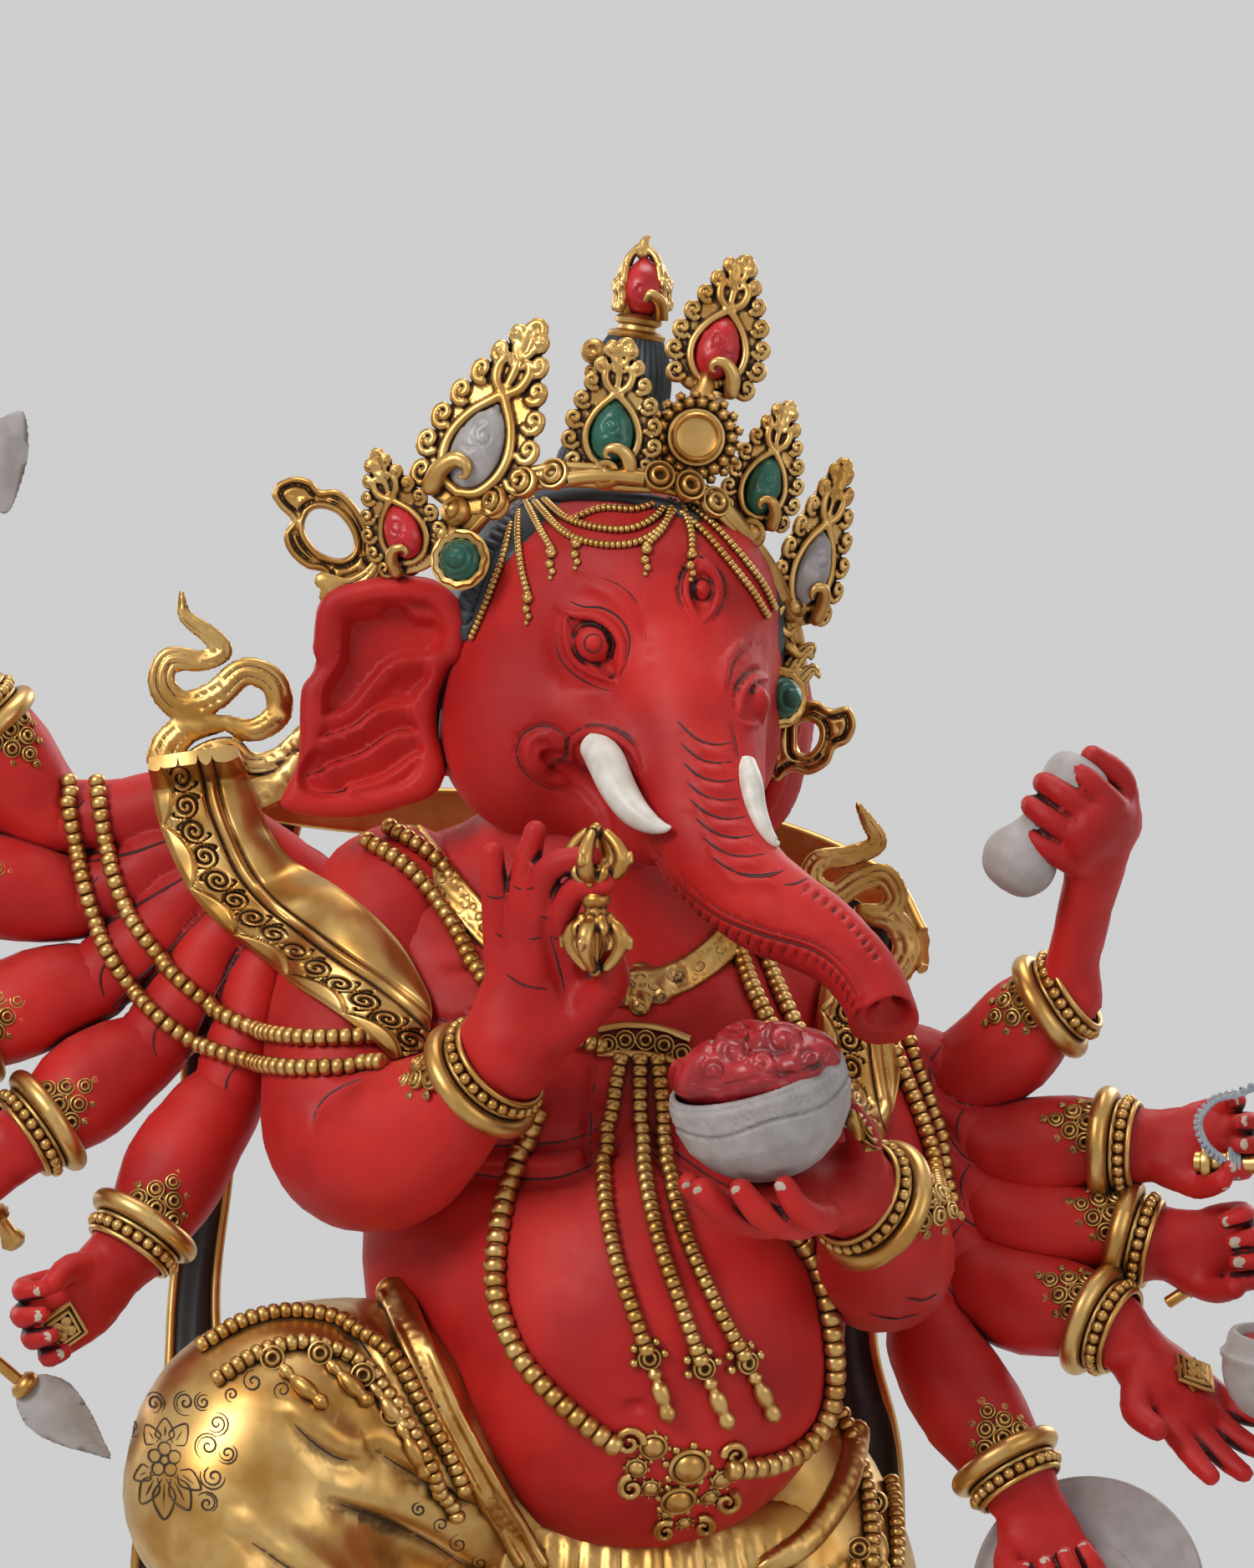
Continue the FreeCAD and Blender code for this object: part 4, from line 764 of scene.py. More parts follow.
def makeNearEar():
    c = Clay((-88, -38, 440), (-34, -6, 506), 0.6)
    part, (x, y, z) = c.window([c.low, c.low + c.step * c.count], 0)
    outer = outlineDistance(x[:, 0], z[0], earLook["outline"])[:, None, :]
    hollow = outlineDistance(x[:, 0], z[0], earLook["hollow"])[:, None, :]
    middle = -20.0 + (x + 60) * 0.10 - (z - 475) * 0.03
    folds = 0
    for k, fold in enumerate(earLook["folds"]):
        path = smoothPath(fold, 5)
        near = np.full(outer.shape, 1e9)
        above = np.zeros(outer.shape)
        for (ax, az), (bx, bz) in zip(path, path[1:]):
            ex, ez = bx - ax, bz - az
            t = np.clip(((x - ax) * ex + (z - az) * ez) / (ex * ex + ez * ez), 0, 1)
            px, pz = x - ax - t * ex, z - az - t * ez
            d = px * px + pz * pz
            above = np.where(d < near, np.sign(pz * ex - px * ez), above)
            near = np.minimum(near, d)
        near = np.sqrt(near)
        # a fold is steep above its crest and soft below it
        folds = folds + np.where(above > 0, np.exp(-(near / 0.9) ** 2),
            np.exp(-(near / 4.6) ** 2)) * (3.4 - 0.2 * k)
    sunk = np.clip(-hollow / 2.2, 0, 1)
    sunk = sunk * sunk * (3 - 2 * sunk)
    front = 4.8 - sunk * (5.4 - 1.2 * np.clip((478 - z) / 30, 0, 1)) + sunk * folds * 1.25
    thick = softMax(-(y - middle) - front, (y - middle) - 2.6, 1.5)
    c.merge(part, softMax(outer + 0 * y, thick, 4.5).astype(np.float32), 0)
    c.chain([(-44, -16, 492, 5), (-42, -12, 476, 6), (-42, -10, 460, 6)], 2)     # root against the head
    # the lip along the top edge rolls in three lobes
    c.chain([(-72.5, -24, 485, 2.6), (-70.5, -25.5, 495, 2.9), (-62, -26.5, 498.4, 2.9),
        (-54, -27, 499.2, 3.0), (-46, -26, 498.0, 3.0), (-41, -24, 491.5, 3.0), (-41.6, -23, 484.5, 2.8)],
        2.5)
    c.skin("nearEar", "redPaint", ["ear_right"], reach=1.8)
    return c


def makeFarEar():
    c = Clay((18, -12, 430), (52, 44, 500), 0.8)
    c.chain([(33, 6, 487, 6), (37, 12, 478, 9), (38, 14, 466, 11), (36, 12, 454, 10), (33, 8, 445, 6)], 2,
        flat=((0.82, -0.57, 0.0), 0.30))
    c.chain([(35, 2, 489, 2.4), (39, 3, 478, 2.6), (39.4, 2, 466, 2.8), (36, 0, 454, 2.6),
        (33, 2, 446, 2.2)], 2)
    c.chain([(34, 6, 489, 2.4), (39, 16, 484, 2.6), (43, 24, 470, 2.6), (41, 24, 456, 2.4),
        (35, 14, 446, 2.4)], 2)
    c.skin("farEar", "redPaint", ["ear_left"])
    return c


nearEar = makeNearEar()
farEar = makeFarEar()


def makeTusks():
    pile = Pile()
    y = head.front([(-4.4, 459.5)])[0]
    pile.tube(smoothPath([(-7.0, y + 4, 461.5, 4.3), (-4.8, y - 1.5, 457.6, 4.6),
        (-2.2, y - 6, 451.8, 4.3), (1.2, y - 10, 446.6, 3.7), (4.9, y - 13, 443.6, 2.7),
        (7.9, y - 14.8, 442.4, 1.6), (9.4, y - 15.6, 442.3, 0.9), (10.3, y - 16, 442.5, 0.3)], 6), 24)
    y = head.front([(28.6, 454)])[0]
    pile.tube(smoothPath([(27.6, y + 3, 457, 2.9), (29.0, y - 1.5, 452.6, 3.0), (30.2, y - 4, 446.8, 2.6),
        (32.2, y - 6, 441.6, 2.1), (34.4, y - 7, 438.8, 1.4), (35.8, y - 7.4, 438.6, 0.4)], 6), 20)
    pile.settle("tuskPair", "ivoryPaint", "ivory_paint", ["tusks"])


makeTusks()
print("ears and tusks ready")

# torso
torsoLook = {"belly": ((2, -15, 320), (49.5, 45, 53)), "bellyLine": 361.0}


def makeTorso():
    c = Clay((-84, -70, 262), (82, 58, 462), 1.0)
    c.ball((-6, -2, 340), (58, 36, 62))                       # flanks
    c.ball(torsoLook["belly"][0], torsoLook["belly"][1], 10)
    c.ball((-10, -3, 386), (48, 33, 40), 14)                  # rib cage
    c.chain([(-58, 8, 416, 20), (-34, 6, 420, 23), (-8, 4, 418, 25), (20, 8, 406, 23), (44, 14, 390, 18)],
        12)
    c.chain([(-9, 6, 420, 27), (-8, 2, 440, 25.5), (-6, -2, 456, 25)], 12)    # neck
    c.ball((-45, -9, 408), (18, 17, 17), 9)                   # hollow between shoulder and chest
    c.ball((-34, -20, 386), (25, 17, 24), 9)                  # breasts
    c.ball((20, -19, 382), (25, 17, 24), 9)
    c.ball((-8, -24, 372), (20, 12, 12), 6)
    # fold under the breasts, belly crease and a soft roll below it
    upper = [(-52, 364.5), (-42, 365.8), (-29, 366.4), (-16.5, 367.4), (-8, 370), (-2.5, 374.5)]
    lower = [(-54, 359.0), (-42, 360.0), (-29, 358.8), (-19, 358.8), (-12, 360.5), (-6.4, 363.7),
        (0.5, 368.6)]
    c.line([(-50, 362.0), (-40, 363.0), (-29, 362.8), (-17, 363.2), (-9, 365.6), (-3, 369.6)], 3.4, -2.4,
        False, 2.0)
    for path, width in ((upper, 1.5), (lower, 1.8)):
        c.line(path, width, 0.7, True, 1.6)
    c.line([(4.5, 367), (9, 361.9), (14.6, 357.4), (20.2, 353.2), (28, 350)], 1.3, 0.7, True, 2.2)
    c.line([(2.5, 372), (8, 368), (15, 362.5), (24, 357), (34, 354)], 1.1, 0.6, True, 2.2)
    c.line([(-50, 398), (-42, 396), (-34, 399)], 0.6, 0.1, True, 1.6)
    c.line([(-8.5, 362), (-8.6, 370), (-8.0, 380), (-6.5, 390)], 0.8, 0.0, True, 3.0)
    c.ball((2, c.front([(2, 306)])[0] - 0.5, 306), (2.6, 2.2, 1.7), 1.5, True)
    # collar bones and rings of the neck
    c.line([(-44, 410), (-30, 409), (-16, 405), (-6, 403)], 0.6, 0.0, True, 2.0)
    for z in (428, 434):
        c.line([(-33, z + 3), (-24, z), (-10, z - 2.5), (6, z - 1)], 0.5, 0.1, True, 0.8)
    c.skin("torso", "redPaint", ["torso"], merge=0.15)
    return c


torso = makeTorso()
print("torso ready")


# arms and hands
def addHand(c, wrist, palm, way, facing, size=1.0, curls=0.3, thumb=0.5, wristSize=9.0, thumbSide=1):
    # palm: its middle; way: towards the fingers; facing: out of the palm; curls: how far each finger bends
    wrist, palm, way, facing = np.array(wrist, float), np.array(palm, float), unit(way), unit(facing)
    facing = unit(facing - way * (facing @ way))
    side = np.cross(way, facing) * thumbSide
    knuckles = palm + way * 7.5 * size
    c.chain([(*wrist, wristSize), (*(wrist * 0.55 + palm * 0.45), wristSize * 0.95), (*palm, 9.2 * size),
        (*(knuckles - way * 1.5), 8.8 * size)], 2.5, flat=(facing, 0.62))
    c.chain([(*(palm + side * 5.5 * size - way * 6 * size + facing * 1.5), 5.0 * size),
        (*(palm + side * 6.0 * size + facing * 2.0), 4.0 * size)], 3)  # ball of the thumb
    tips = []
    curls = curls if isinstance(curls, tuple) else (curls,) * 4
    lengths = (0.90, 1.05, 1.0, 0.78)
    for k in range(4):
        place = (1.5 - k) * 4.9 * size
        base = knuckles + side * place - way * (abs(1.3 - k) * 1.1)
        heading = unit(way + side * (1.5 - k) * 0.12)
        stations = [(*(base - heading * 3), 3.4 * size)]
        angle = 0.0
        point = base
        for j, (length, radius) in enumerate(((8.2, 3.1), (6.2, 2.8), (5.2, 2.5))):
            angle += curls[k] * (0.8 + 0.25 * j)
            direction = heading * math.cos(angle) + facing * math.sin(angle)
            stations.append((*point, radius * size * 1.06))
            point = point + direction * length * size * lengths[k]
        stations.append((*point, 2.2 * size))
        c.chain(stations, 0.9, per=3)
        back = unit(facing * math.cos(angle) - heading * math.sin(angle)) * -1
        tips.append((point - direction * 1.2 * size, direction, back, 2.3 * size))
    # thumb
    base = palm + side * 8.0 * size - way * 4.5 * size + facing * 2.0
    out = unit(side * (1.0 - thumb) + facing * thumb + way * 0.75)
    mid = base + out * 8.5 * size
    bent = unit(way * 0.9 + facing * (0.35 + thumb) + side * (0.25 - 0.6 * thumb))
    tip = mid + bent * 8.0 * size
    c.chain([(*base, 4.2 * size), (*mid, 3.4 * size), (*tip, 2.8 * size)], 1.6, per=4)
    nailBack = unit(np.cross(bent, np.cross(out + side, bent)))
    tips.append((tip - bent * 0.8 * size, bent, nailBack, 2.9 * size))
    return tips


nails = Pile()


def addNails(tips, keep=(0, 1, 2, 3, 4)):
    for k in keep:
        point, way, back, radius = tips[k]
        back = unit(back - way * (back @ way))
        nails.turn(point + back * radius * 0.62, way,
            [(-1.6, 0.2), (-1.3, 0.9), (-0.4, 1.35), (0.8, 1.45), (1.9, 1.2), (2.4, 0.3)], 12,
            squash=(back, 0.50))


nearArm = {"stations": [(-55, 2, 421, 22), (-63, -8, 403, 21.5), (-66, -18, 384, 21.5),
    (-65, -26, 369, 21.5), (-57, -37, 366.5, 20), (-47.5, -46.5, 372, 16.5), (-39, -54, 379, 13),
    (-32, -60, 385.5, 11.6), (-27, -64, 391, 11.4)]}


def makeNearArm():
    c = Clay((-98, -100, 336), (8, 36, 452), 0.7)
    c.chain(nearArm["stations"], 0, per=6)
    # crease inside the elbow
    c.line([(-74.5, 371.5), (-73.4, 375.5), (-70.6, 379.0), (-65.8, 381.6), (-60.5, 383.4)], 1.3, 0.6,
        True, 2.4)
    # palm, open to the front and a little upward
    c.chain([(-28, -63, 390, 11.2), (-24, -66, 398, 12.2), (-20.5, -67, 407, 12.6),
        (-21, -68, 413.5, 11.0)], 4, flat=((0.15, -1, 0), 0.58))
    # thumb
    c.chain([(-15, -67, 396, 6.4), (-8, -70, 401, 5.2), (-3.5, -75, 406, 4.2), (-3.2, -79, 411, 3.2)], 3)
    fingers = [
        [(-29.5, -68.5, 411, 4.2), (-30.4, -71, 421, 3.7), (-31.2, -72.5, 429, 3.4),
            (-31.4, -74, 436.5, 2.7)],
        [(-24.8, -69, 413, 4.2), (-24.6, -73, 424, 3.8), (-23.6, -75, 433, 3.4),
            (-21.4, -76.5, 441.5, 2.7)],
        [(-19.6, -70, 413, 4.2), (-20.6, -75, 424, 3.8), (-17.6, -80, 433, 3.4),
            (-8.6, -83.5, 435.6, 2.9)],
        [(-14.6, -70, 412, 4.2), (-15.2, -76, 421, 3.6), (-11.8, -81, 428, 3.3), (-5.0, -85, 429.5, 2.8)]]
    for finger in fingers:
        c.chain(finger, 1.0, per=4)
    c.line([(-18.9, 419.5), (-16.8, 413), (-14.8, 405), (-13.0, 398.6)], 1.5, 0.8, True, 2.2)
    for crease in ([(-31, 417.6), (-28.4, 416.6), (-25.6, 417.2)],
            [(-25.2, 417.2), (-22.4, 416.2), (-19.4, 417.0)],
            [(-19.0, 417.4), (-16.4, 416.4), (-13.4, 417.2)],
            [(-33, 426.4), (-30.6, 425.8), (-28.4, 426.3)],
            [(-26.6, 428.6), (-24.2, 427.8), (-21.8, 428.4)], [(-20.4, 421.6), (-18, 421.0)],
            [(-29, 408.4), (-24, 405.4), (-18.5, 404.6)]):
        c.engrave(crease, 0.26, 4)
    for finger in fingers:
        a, b = np.array(finger[-2][:3]), np.array(finger[-1][:3])
        way = unit(b - a)
        back = unit(np.cross(way, (1, 0, 0.2))) if abs(way[0]) < 0.7 else np.array([0, -0.3, 1.0])
        addNails([(b - way * 0.4, way, back * (1 if back[1] > 0 or back[2] > 0 else -1), 2.7)], (0,))
    c.skin("nearArmWithHand", "redPaint", ["arm_main_right"])
    return c


farArm = {"stations": [(49, 8, 390, 16.5), (56, 3, 371, 16.5), (60, -7, 350, 17), (60.5, -22, 339, 17.5),
    (61.5, -38, 342, 16.5), (59.5, -50, 348.8, 14), (56, -58, 354.5, 12), (52, -63, 357.5, 11.2)]}


def makeFarArm():
    c = Clay((6, -104, 306), (94, 34, 424), 0.7)
    c.chain(farArm["stations"], 0, per=6)
    c.engrave([(57, 327), (63, 325.6), (69, 326.6)], 0.3)
    c.engrave([(66, 331), (70, 330.2), (73.5, 331.6)], 0.3)
    c.chain([(53, -63, 357, 11.2), (47, -69, 356.5, 11.6), (40, -74, 356, 11.4), (34, -77, 356, 10)], 4,
        flat=((-0.1, -0.45, 0.9), 0.55))
    c.chain([(54, -66, 360, 6.0), (55.5, -70, 366, 4.6), (54.6, -75, 371, 3.8), (52.4, -79, 375.5, 3.0)],
        2.5)  # thumb
    fingers = [
        [(38, -70, 352, 4.4), (29, -75, 352, 4.0), (21, -80, 354.5, 3.6), (14.6, -84, 359.5, 2.9)],
        [(38, -76, 351, 4.4), (30, -83, 350.5, 4.0), (23, -88, 353, 3.6), (17.4, -91, 358.5, 2.9)],
        [(41, -81, 350.5, 4.3), (36, -89, 350.5, 3.8), (30.5, -93.5, 353.5, 3.4),
            (26.4, -95, 358.5, 2.8)],
        [(46, -83, 351.5, 4.0), (43, -90, 352.0, 3.5), (39, -94, 355, 3.1), (36.5, -95.5, 359.5, 2.6)]]
    for finger in fingers:
        c.chain(finger, 0.9, per=4)
        a, b = np.array(finger[-2][:3]), np.array(finger[-1][:3])
        way = unit(b - a)
        addNails([(b - way * 0.2, way, np.array([-0.55, -0.75, 0.15]), 2.9)], (0,))
    addNails([((51.2, -78.4, 374.5), unit((-0.4, -0.5, 0.8)), np.array([0.1, -0.75, -0.4]), 3.0)], (0,))
    c.skin("farArmWithHand", "redPaint", ["arm_main_left"])
    return c


nearArmClay = makeNearArm()
farArmClay = makeFarArm()

# rear arms: places of shoulder, elbow, wrist and palm, the ways of fingers and palm, how the hand closes
fanLook = {
    "right": {"shoulder": (-58, 10, 412), "creases": [[(-108, 440), (-118, 436.4), (-126, 434.4),
        (-134, 433.2)], [(-105, 431), (-115.6, 424.8), (-124.4, 419.2), (-134, 413.8)],
        [(-99, 424), (-110.8, 412), (-119.6, 403.6), (-127, 395.4)],
        [(-90, 416), (-98.8, 402.4), (-105.2, 388.6), (-109.4, 378)],
        [(-81, 408), (-83.6, 392.8), (-85.4, 380), (-86, 368)]],
        "arms": [{"elbow": (-138, 15, 444), "through": (-104, 9, 445, 8.6), "wrist": (-158, 9, 470),
        "palm": (-168, 5, 484), "way": (-0.85, -0.3, 0.45), "facing": (-0.3, -0.95, 0.1), "curls": 1.15,
        "size": 0.92, "thumb": 0.9}, {"elbow": (-134, 12, 424), "through": (-104.5, 6.5, 435, 7.4),
        "wrist": (-168, 9, 431), "palm": (-184, 6, 434), "way": (-0.97, -0.2, 0.15),
        "facing": (-0.2, -0.97, 0.1), "curls": 1.15, "size": 0.92, "thumb": 0.9},
        {"elbow": (-130, 8, 404), "through": (-99.5, 4, 427.5, 7.4), "wrist": (-161, 3, 392),
        "palm": (-177, 0, 384), "way": (-0.90, -0.25, -0.36), "facing": (-0.2, -0.97, 0.1), "curls": 1.15,
        "size": 0.92, "thumb": 0.9}, {"elbow": (-116, 3, 388), "through": (-93, 1.5, 419, 7.6),
        "wrist": (-143, -4, 369), "palm": (-157, -8, 358), "way": (-0.76, -0.25, -0.58),
        "facing": (-0.2, -0.97, 0.1), "curls": 1.15, "size": 0.92, "thumb": 0.9},
        {"elbow": (-97, -4, 376), "through": (-84.5, -1, 411, 7.8), "wrist": (-118, -14, 343),
        "palm": (-131, -18, 328), "way": (-0.90, -0.2, -0.30), "facing": (-0.15, -0.97, -0.15),
        "curls": 0.75, "size": 1.0, "thumb": 0.75}]},
    "left": {"shoulder": (52, 18, 388), "creases": [[(72, 387), (76.4, 379), (81, 375.2), (88, 374.6)],
        [(76, 372), (79.6, 364.6), (84.6, 360.6), (92, 358.8)],
        [(76, 358), (80, 349.4), (84.6, 345.4), (91, 343)],
        [(72, 345), (75.6, 335.4), (78.4, 329.6), (81, 325)]],
        "arms": [{"elbow": (77, 17, 382), "wrist": (106, 8, 401), "palm": (114.0, -9, 439),
        "way": (-0.35, -0.85, 0.25), "facing": (-0.694, 0.43, 0.49), "curls": (0.80, 0.80, 0.78, 0.75),
        "size": 1.1, "thumb": 0.35, "thumbSide": -1},
        {"elbow": (84, 15, 367), "wrist": (120, 6, 365), "palm": (136, 2, 366), "way": (0.98, -0.1, 0.12),
        "facing": (0.1, -0.98, 0.1), "curls": (0.75, 0.70, 0.65, 0.60), "size": 0.95, "thumb": 0.55},
        {"elbow": (85, 13, 352), "wrist": (124, 6, 342), "palm": (140, 4, 341), "way": (0.98, -0.1, 0.10),
        "facing": (0.1, -0.98, -0.1), "curls": 0.90, "size": 0.95, "thumb": 0.7},
        {"elbow": (82, 9, 336), "wrist": (116, -5, 322), "palm": (131, -10, 308),
        "way": (0.62, -0.25, -0.74), "facing": (0.45, -0.80, 0.35), "curls": (0.10, 0.12, 0.16, 0.22),
        "size": 1.05, "thumb": 0.10}, {"elbow": (72, 3, 322), "wrist": (93, -9, 286),
        "palm": (102, -13, 268), "way": (0.30, -0.45, -0.85), "facing": (-0.1, -0.95, 0.25),
        "curls": 0.95, "size": 1.0, "thumb": 0.6}]},
}


def makeFan(side, low, high):
    look = fanLook[side]
    c = Clay(low, high, 0.8)
    root = np.array(look["shoulder"], float)
    for arm in look["arms"]:
        elbow = np.array(arm["elbow"], float)
        reach = elbow - root
        if "through" in arm:        # lobes that start apart under the shawl
            through = np.array(arm["through"], float)
            middle = through[:3] * 0.45 + elbow * 0.55
            c.chain([(*root, 11.0), through, (*middle, 9.3),
                (*(elbow - unit(elbow - through[:3]) * 3), 9.5)], 0.7, per=5)
        else:
            c.chain([(*root, 11.5), (*(root + reach * 0.45), 10.8), (*(root + reach * 0.86), 10.6),
                (*(root + reach * 0.97), 9.4)], 0.7, per=5)
        c.engrave([((elbow * 0.93 + root * 0.07)[0] + x, (elbow * 0.93 + root * 0.07)[2] + z)
            for x, z in ((1, 7), (-1.5, 3.5), (-2, 0), (-1, -4))], 0.3)
    for crease in look["creases"]:
        if side == "left":
            c.line(crease, 1.2, 0.6, True, 1.2)
        else:
            c.engrave(crease, 0.45)
    c.skin("armFan_" + side, "redPaint", ["arm_fan_" + side])
    return c


def makeRearArm(side, number):
    arm = fanLook[side]["arms"][number - 1]
    root, elbow = (np.array(v, float) for v in (fanLook[side]["shoulder"], arm["elbow"]))
    wrist, palm = (np.array(v, float) for v in (arm["wrist"], arm["palm"]))
    reach = unit(elbow - root)
    joint = elbow - reach
    near, far = np.minimum(np.minimum(joint, wrist), palm), np.maximum(np.maximum(joint, wrist), palm)
    c = Clay(near - 34, far + 34, 0.7)
    leg = wrist - elbow
    c.chain([(*joint, 9.6), (*(elbow + reach * 4 + leg * 0.06), 11.4),
        (*(elbow + reach * 4 + leg * 0.38), 13.0), (*(elbow + leg * 0.72), 11.6),
        (*(elbow + leg * 0.94), 9.8), (*wrist, 9.3)], 0, per=5)
    tips = addHand(c, wrist, palm, arm["way"], arm["facing"], arm["size"], arm["curls"], arm["thumb"],
        wristSize=9.2, thumbSide=arm.get("thumbSide", 1))
    addNails(tips)
    c.skin("rearArm_" + side + "_" + str(number), "redPaint",
        ["forearm_" + side + "_" + str(number)], merge=0.3)
    return c


fans = {"right": makeFan("right", (-156, -16, 360), (-40, 36, 462)),
    "left": makeFan("left", (32, -10, 306), (104, 42, 408))}
rearArms = {(side, k): makeRearArm(side, k) for side in ("right", "left") for k in range(1, 6)}
nails.settle("fingerNails", "nailPaint", "ivory_paint")
print("arms ready")

# laying things on several skins at once
def layOn(clays, places, raised=0.0, ease=0):
    # (x, z) rows laid on whichever skin is nearest the front; ease bridges the valleys between skins
    places = np.atleast_2d(np.asarray(places, float))
    heights = np.stack([c.front(places[:, :2]) for c in clays])
    which = heights.argmin(0)
    y = heights.min(0)
    keep = y < skinLimit
    places, which, y = places[keep], which[keep], y[keep]
    rows = np.column_stack([places[:, 0], y, places[:, 1]])
    outward = np.tile([0.0, -1.0, 0.0], (len(rows), 1))
    for k, c in enumerate(clays):
        if (which == k).any():
            outward[which == k] = c.normal(rows[which == k])
    for _ in range(ease):
        padded = np.concatenate([y[:1], y, y[-1:]])
        y = np.minimum(y, (padded[:-2] + padded[2:]) / 2)
    rows[:, 1] = y
    return rows + outward * raised


def spiral(centre, start, turns, radius, hand=1, inner=0.18, count=16):
    # (x, z) points winding in towards the centre; start is an angle in degrees
    t = np.linspace(0, 1, count)
    angle = math.radians(start) + hand * turns * 2 * math.pi * t
    r = radius * (1 - t * (1 - inner))
    return np.column_stack([centre[0] + r * np.cos(angle), centre[1] + r * np.sin(angle)])


trunkOfSkins = [torso, fans["right"], fans["left"], nearArmClay, farArmClay]
trunkOfSkins += [rearArms[("right", k)] for k in (1, 2, 3)]


# crown
bandPath = [(-41, -31, 508), (-37, -33, 514.5), (-30, -35, 521), (-22, -36.5, 525), (-12, -37.5, 525.8),
    (0, -37.5, 524.6), (9, -36.5, 524.2), (16, -34, 522), (22, -31, 518), (29, -22, 510), (36, -10, 499),
    (40, -2, 487), (41, 3, 474)]
leafLook = {   # foot, tip, width, way the face points, gem paint, side the claw comes from
    "farRed": ((-49.5, -30, 504), (-59.5, -30, 531), 20, (-0.45, -0.89, 0.1), "redGem", -1),
    "nearGrey": ((-41, -34, 519), (-21.5, -32, 561), 27, (-0.25, -0.97, 0.1), "greyGem", -1),
    "frontGreen": ((-4.5, -36, 526), (-1, -38, 557.5), 22, (0.0, -1.0, 0.12), "greenGem", 1),
    "tallRed": ((19, -24, 546), (27.5, -20, 578), 23, (0.12, -0.99, 0.05), "redGem", 1),
    "sideGreen": ((29.5, -20, 514.5), (38, -18, 543.5), 18.5, (0.30, -0.95, 0.1), "greenGem", 1),
    "farGrey": ((40.0, -6, 492.5), (51.5, -2, 530), 19, (0.60, -0.79, 0.1), "greyGem", 1),
}
leafNodes = ["crown_leaves"]


